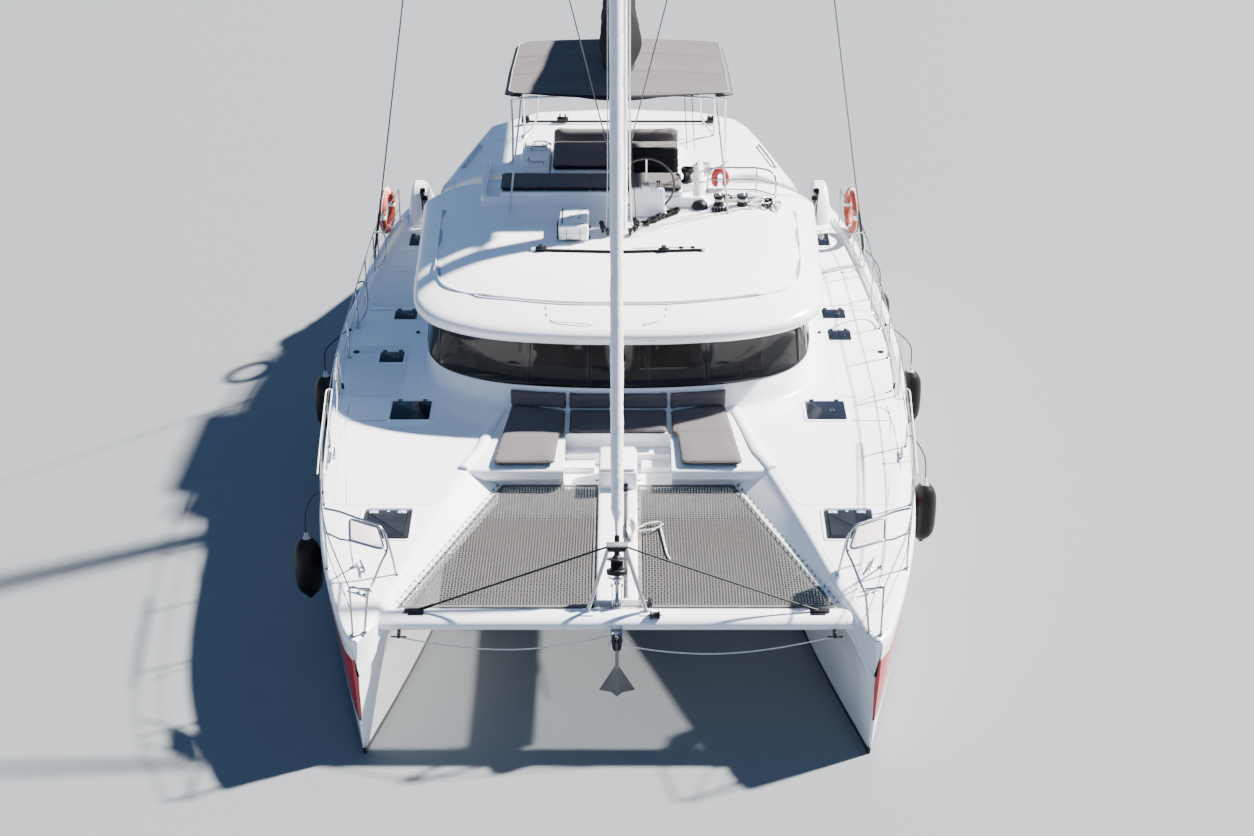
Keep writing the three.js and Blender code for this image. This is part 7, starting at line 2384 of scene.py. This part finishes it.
for x, y in ((0.86, -0.205), (1.02, -0.195), (-1.02, -0.19)):
    track.turned([(0.020, -0.016), (0.034, -0.012), (0.028, 0), (0.034, 0.012), (0.020, 0.016)],
                 (x, y, 3.482), (0, 0.3, 1), 16)
track.tube(smooth_path([(0.20, -0.16, 3.452), (0.55, -0.19, 3.470), (0.86, -0.205, 3.484),
                        (1.02, -0.195, 3.484)], 5), 0.006, 6,
           paint=2)
track.piece("headsail_track", [black_plastic, spar_white, black_rope], "black", ["jib_track"])

# Life raft
# A white glass-fibre canister in two halves lies in chocks ahead of the flybridge: a domed lid with a rolled
# front lip, a groove where the halves meet, a black strap underneath, clips on the lid and ropes at its side.
raft = Form()
raft_outline = rounded_outline(rectangle(-0.832, -0.414, 0.054, 0.711), 0.045)
raft_profile = [(0.020, 3.470), (0.006, 3.478), (0.0, 3.500), (0.0, 3.572), (0.008, 3.578), (0.008, 3.588),
                (0.0, 3.594), (0.0, 3.650), (0.006, 3.676), (0.022, 3.694), (0.060, 3.702)]
raft.skin([[(x, y, z) for x, y in inset_outline(raft_outline, pull)] for pull, z in raft_profile])
raft.tube([(-0.815, 0.060, 3.668), (-0.623, 0.0585, 3.672), (-0.431, 0.060, 3.668)], 0.020, 10)
for y in (0.17, 0.545):
    raft.block((-0.853, y, 3.4415), (-0.392, y + 0.05, 3.478), 0.006, 1)
for x, y in ((-0.70, 0.33), (-0.655, 0.40), (-0.55, 0.30), (-0.53, 0.44)):
    raft.block((x - 0.018, y - 0.008, 3.700), (x + 0.018, y + 0.008, 3.7075), 0.003, 1)
raft.tube([(-0.70, 0.33, 3.704), (-0.655, 0.40, 3.704)], 0.004, 6, paint=1)
raft.tube([(-0.55, 0.30, 3.704), (-0.53, 0.44, 3.704)], 0.004, 6, paint=1)
for x in (-0.72, -0.53):
    raft.tube([(x, 0.052, 3.476), (x, 0.0475, 3.50), (x, 0.0475, 3.66)], 0.004, 6, paint=2, flat=0.4)
raft.tube([(-0.72, 0.051, 3.482), (-0.53, 0.051, 3.482)], 0.010, 6, paint=1, flat=0.5)
for route in ([(-0.838, 0.12, 3.66), (-0.846, 0.13, 3.60), (-0.842, 0.10, 3.54), (-0.846, 0.14, 3.47)],
              [(-0.838, 0.24, 3.69), (-0.847, 0.22, 3.62), (-0.845, 0.17, 3.58), (-0.846, 0.19, 3.50)]):
    raft.tube(smooth_path(route, 4), 0.0085, 6, paint=2)
raft.piece("life_raft_canister", [gelcoat, black_plastic, black_rope], "gelcoat", ["life_raft"], sharp=30)

# Winches and clutches
# Two self-tailing winches with black drums and stainless tops stand on a base on the port side of the roof,
# beside a rank of clutches and a domed electric winch motor. A third winch stands by the helm.
winch = Form()
drum_profile = [(0.083, 0), (0.084, 0.018), (0.078, 0.034), (0.064, 0.046), (0.057, 0.075), (0.056, 0.110),
                (0.060, 0.125), (0.078, 0.134), (0.080, 0.142), (0.066, 0.148), (0.078, 0.156),
                (0.079, 0.166)]
cap_profile = [(0.058, 0.164), (0.056, 0.172), (0.034, 0.182), (0.030, 0.186), (0.014, 0.186), (0.012, 0.178)]
winch.plate(rounded_outline(rectangle(1.303, 1.897, 1.233, 1.447), 0.05), 3.4405, 3.468, 0.008, 2)
for x in (1.43, 1.77):
    winch.turned(drum_profile, (x, 1.34, 3.460), sides=28)
    winch.turned(cap_profile, (x, 1.34, 3.460), sides=28, paint=1)
    for turn in range(3):
        winch.turned([(0.060, 0.0), (0.068, 0.004), (0.068, 0.009), (0.060, 0.013)],
                     (x, 1.34, 3.536 + turn * 0.013), sides=24, paint=3)
winch.piece("roof_winches", [black_plastic, steel, gelcoat, rope_paint], "black", ["winches"])
clutches = Form()
for k in range(5):
    x = 1.325 + 0.045 * k
    clutches.block((x, 1.135, 3.440), (x + 0.034, 1.245, 3.488), 0.008)
    clutches.block((x + 0.006, 1.150, 3.484), (x + 0.028, 1.230, 3.500), 0.006, 1)
clutches.turned([(0.115, -0.004), (0.116, 0.030), (0.104, 0.070), (0.075, 0.100), (0.035, 0.114),
                 (0.004, 0.117)],
                (1.16, 1.30, 3.444), sides=26)
clutches.turned([(0.125, -0.006), (0.125, 0.004), (0.110, 0.010)], (1.16, 1.30, 3.444), sides=26, paint=2)
clutches.turned([(0.085, 0), (0.085, 0.020), (0.062, 0.045), (0.056, 0.110), (0.078, 0.140), (0.078, 0.165)],
                (0.99, 1.90, 3.60), sides=24)
clutches.turned([(0.056, 0.165), (0.034, 0.180), (0.010, 0.184)], (0.99, 1.90, 3.60), sides=24, paint=2)
clutches.block((0.90, 1.80, 3.46), (1.08, 2.00, 3.604), 0.02, 3)
heap(clutches, (0.99, 1.86, 3.765), (0.10, 0.08, 0.06), 6, 0.008, 0, 71)
for x, y in ((0.97, 3.10), (1.08, 3.14)):
    clutches.tube([(x + 0.05, y, 3.63), (x, y + 0.02, 4.47)], 0.006, 8)
    clutches.turned([(0.010, -0.02), (0.022, -0.01), (0.022, 0.03), (0.008, 0.04)], (x, y + 0.02, 4.47),
                    sides=12)
clutches.piece("clutches_and_helm_winch", [black_plastic, lid_black, steel, console_grey], "black")

# Fenders
# Long inflated fenders of dark vinyl hang from the wires: moulded eyes at both ends, a raised rib round each
# end, a seam down the body and a black line up to the rail. Their labels stay blank.
fender_black = surface("dark olive fender vinyl", (0.006, 0.006, 0.006), 0.42, mottle=0.25, mottle_scale=3,
                       grain=70, depth=0.0012, shine=0.2)
fender_eye = surface("pale fender eye", (0.40, 0.40, 0.39), 0.5, mottle=0.1, mottle_scale=10, grain=120)
fender_rows = [("starboard_middle", -1, -0.13), ("starboard_bow", -1, -4.55), ("port_stern", 1, 2.69),
               ("port_middle", 1, 0.03), ("port_bow", 1, -3.20)]
fender_profile = [(0.030, 0.612), (0.038, 0.640), (0.062, 0.655), (0.078, 0.668), (0.080, 0.676),
                  (0.100, 0.690), (0.132, 0.730), (0.158, 0.790), (0.169, 0.900), (0.172, 1.050),
                  (0.169, 1.210), (0.158, 1.320), (0.132, 1.385), (0.100, 1.432),
                  (0.082, 1.446), (0.078, 1.456), (0.060, 1.470)]
for name, side, y in fender_rows:
    afloat = hull_centre + eased(outer_table, y, 2)
    out = max(sheer_x(y), 0.4 * afloat + 0.6 * sheer_x(y)) + 0.178
    rope_x = eased(rail_rows, y, 1)
    rope_z = eased(rail_rows, y, 2) + 0.333
    fender = Form()
    fender.turned(fender_profile, (out * side, y, 0), sides=36)
    fender.turned([(0.058, 1.466), (0.040, 1.482), (0.030, 1.500), (0.028, 1.535), (0.016, 1.548)],
                  (out * side, y, 0), sides=20, paint=1)
    fender.turned([(0.158, 1.05), (0.1735, 1.052), (0.1735, 1.060), (0.158, 1.062)], (out * side, y, 0),
                  sides=36)
    hang = to_side(side, (out, y, 1.535), (out, y, 1.70), (out - 0.03, y, 1.88),
                   (rope_x * 0.5 + out * 0.5, y, 2.06), (rope_x + 0.02, y, rope_z + 0.004))
    fender.tube(smooth_path(hang, 5), 0.0075, 8, paint=2)
    for turn in (-0.012, 0.0, 0.012):
        loop = [((rope_x + 0.013 * math.cos(a)) * side, y + turn, rope_z + 0.013 * math.sin(a))
                for a in circle(10)]
        fender.tube(loop, 0.0055, 6, paint=2, closed=True)
    fender.tube([(out * side, y, 0.625), (out * side + 0.01, y, 0.612)], 0.012, 6, paint=2)
    fender.piece(f"fender_body_{name}", [fender_black, fender_eye, black_rope], "rubber", [f"fender_{name}"])

# Rescue rings and horseshoe buoy
# Orange foam rings with white bands and a pale grab line hang on the aft guard rails, and a red horseshoe
# buoy in a vinyl cover hangs on the flybridge rail.
ring_orange = surface("orange buoy shell", (0.35, 0.045, 0.018), 0.5, mottle=0.08, mottle_scale=8, grain=140)
buoy_red = surface("red buoy cover", (0.36, 0.010, 0.018), 0.6, mottle=0.12, mottle_scale=7, grain=300,
                   depth=0.001)
strap_white = surface("white webbing strap", (0.80, 0.80, 0.79), 0.7, mottle=0.08, mottle_scale=10, grain=300)
buoy_radius = 0.30
for side_name, side in sides:
    buoy = Form()
    axis = Vector((1, 0.1429 * side, 0)).normalized()
    centre = Vector((3.629 * side, 3.89, 2.32))
    across = Vector((0, 0, 1)).cross(axis).normalized()

    def on_buoy(a, b, thick):
        """A point of the ring: a runs round the hole and b round the foam."""
        ring_out = across * math.cos(a) + Vector((0, 0, 1)) * math.sin(a)
        return centre + ring_out * (buoy_radius + thick * math.cos(b)) + axis * thick * math.sin(b)

    for start in range(4):
        for paint, low, high, thick in ((0, 0.06, 1.44, 0.059), (1, 1.44, 1.63, 0.061)):
            rows = []
            for k in range(13):
                a = math.pi / 2 * start + low + (high - low) * k / 12
                rows.append([on_buoy(a, b, thick) for b in circle(20)])
            buoy.skin(rows, paint)
    grab = [on_buoy(a, 0, 0.060 + 0.012 * math.sin(2 * a + 0.1) ** 2) for a in circle(64)]
    buoy.tube(grab, 0.006, 6, paint=2, closed=True)
    buoy.piece(f"rescue_ring_{side_name}", [ring_orange, strap_white, rope_paint], "orange",
               [f"lifebuoy_{side_name}"])
shoe = Form()
shoe_rings = []
for k in range(31):
    a = math.radians(-62 + 304 * k / 30)
    end = min(k, 30 - k)
    thick = 0.050 * (0.55, 0.85, 0.97)[end] if end < 3 else 0.050
    middle = Vector((1.475 + 0.085 * math.cos(a), 2.0005, 3.615 + 0.085 * 1.45 * math.sin(a)))
    outward = Vector((math.cos(a), 0, 1.2 * math.sin(a))).normalized()
    shoe_rings.append([middle + outward * thick * math.cos(b) + Vector((0, 1, 0)) * thick * math.sin(b)
                       for b in circle(16)])
shoe.skin(shoe_rings)
shoe.piece("horseshoe_buoy_cover", [buoy_red], "red", ["horseshoe_buoy"])

# Engines and drive legs
# Each hull has a diesel in its aft bay over a drive leg: a faired strut, a gearbox pod and a small fin,
# painted dark against growth.
leg_paint = surface("dark grey leg paint", (0.05, 0.053, 0.058), 0.5, mottle=0.25, mottle_scale=4, grain=90)
engine_paint = surface("grey engine enamel", (0.16, 0.17, 0.18), 0.45, mottle=0.12, mottle_scale=5, grain=120)
bronze = surface("worn bronze", (0.50, 0.31, 0.13), 0.34, metal=1.0, mottle=0.25, mottle_scale=9, grain=120)
strut_rows = [
    # z, half width, front y, aft y
    (0.039, 0.058, 4.452, 4.748), (-0.30, 0.056, 4.455, 4.745), (-0.70, 0.050, 4.46, 4.742),
    (-0.86, 0.060, 4.455, 4.745),
]
fin_rows = [
    (-0.95, 0.030, 4.482, 4.718), (-1.02, 0.020, 4.50, 4.71), (-1.078, 0.008, 4.53, 4.70),
]
blade_rows = [
    # radius, chord, pitch in degrees
    (0.045, 0.080, 62), (0.09, 0.120, 48), (0.14, 0.150, 38), (0.19, 0.135, 31), (0.225, 0.085, 27),
    (0.239, 0.030, 26),
]
rudder_rows = [
    # z, half width, front y, aft y
    (-1.178, 0.012, 5.66, 5.99), (-1.15, 0.024, 5.642, 6.008), (-0.90, 0.031, 5.622, 6.034),
    (-0.60, 0.038, 5.598, 6.066), (-0.40, 0.043, 5.582, 6.088), (-0.382, 0.036, 5.59, 6.08),
]


def foil(rows, x, count, fullness, taper):
    """Rings of a streamlined section at several heights, fullest where the taper leaves it."""
    return [[(x + wide * math.sin(a) * (fullness - taper * math.cos(a)),
              (front + back) / 2 - (back - front) / 2 * math.cos(a), z) for a in circle(count)]
            for z, wide, front, back in rows]


for side_name, side in sides:
    x = hull_centre * side
    drive = Form()
    drive.block((x - 0.258, 4.162, 0.034), (x + 0.258, 4.738, 0.42), 0.03, 1)
    drive.block((x - 0.17, 4.22, 0.40), (x + 0.17, 4.68, 0.60), 0.035, 1)
    drive.block((x - 0.10, 4.27, 0.58), (x + 0.10, 4.63, 0.698), 0.03, 1)
    for y in (4.30, 4.42, 4.54, 4.66):
        drive.tube([(x + 0.15, y - 0.02, 0.54), (x + 0.235, y - 0.02, 0.50), (x + 0.245, y - 0.02, 0.30)],
                   0.022, 8, 1)
    drive.turned([(0.11, 0), (0.11, 0.03), (0.03, 0.035)], (x, 4.195, 0.30), (0, -1, 0), 20, 1)
    drive.skin(foil(strut_rows, x, 20, 1, 0.25))
    drive.turned([(0.010, 0), (0.050, 0.03), (0.075, 0.09), (0.085, 0.20), (0.085, 0.33), (0.072, 0.42),
                  (0.062, 0.4295)],
                 (x, 4.3505, -0.93), (0, 1, 0), 24)
    drive.skin(foil(fin_rows, x, 14, 1, 0))
    drive.piece(f"drive_leg_{side_name}", [leg_paint, engine_paint], "black", [f"engine_drive_{side_name}"])

    propeller = Form()
    propeller.turned([(0.058, 0), (0.060, 0.02), (0.060, 0.085), (0.052, 0.115), (0.036, 0.148),
                      (0.014, 0.164)],
                     (x, 4.781, -0.93), (0, 1, 0), 24)
    for spin in (0, -120, -240):
        turn = Matrix.Rotation(math.radians(spin), 3, "Y")
        rows = []
        for r, chord, pitch in blade_rows:
            c, s = math.cos(math.radians(90 - pitch)), math.sin(math.radians(90 - pitch))
            row = []
            for share, thick in ((-0.5, 0), (-0.2, 0.006), (0.2, 0.006), (0.5, 0), (0.2, -0.003),
                                 (-0.2, -0.003)):
                along, off = chord * share, thick * (1 - r * 2.5)
                point = Vector((along * s + off * c, along * c * 0.62 - off * s, r))
                row.append(Vector((x, 4.850, -0.93)) + turn @ point)
            rows.append(row)
        propeller.skin(rows)
    propeller.piece(f"propeller_blades_{side_name}", [bronze], "bronze", [f"propeller_{side_name}"],
                    body=f"propeller_{side_name}")

    rudder = Form()
    rudder.skin(foil(rudder_rows, x, 28, 0.806, -0.494))
    rudder.turned([(0.040, -0.42), (0.0405, 0.0), (0.0405, 0.31), (0.036, 0.3195)], (x, 5.75, 0), sides=24,
                  paint=1)
    rudder.piece(f"rudder_blade_{side_name}", [antifouling, steel], "gelcoat", [f"rudder_{side_name}"],
                 body=f"rudder_{side_name}")

# Stern straps
# Bundles of black webbing hang on the stern coamings.
straps = Form()
for side in (1, -1):
    for k, (x, y, z) in enumerate([(3.03, 4.42, 2.02), (3.06, 4.50, 2.12), (3.10, 4.60, 2.22),
                                   (3.14, 4.72, 2.30)]):
        heap(straps, (x * side, y - 0.02, z - 0.02), (0.045, 0.035, 0.07), 4, 0.009, 0, 80 + k)
    for k in range(3):
        route = to_side(side, (3.04 + 0.04 * k, 4.36 + 0.02 * k, 1.88),
                        (3.02 + 0.05 * k, 4.38 + 0.03 * k, 2.00), (3.06 + 0.04 * k, 4.44 + 0.05 * k, 2.16),
                        (3.12 + 0.03 * k, 4.62 + 0.06 * k, 2.30))
        straps.tube(smooth_path(route, 4), 0.010, 6, flat=0.5)
straps.piece("stern_strap_bundles", [black_rope], "rope")
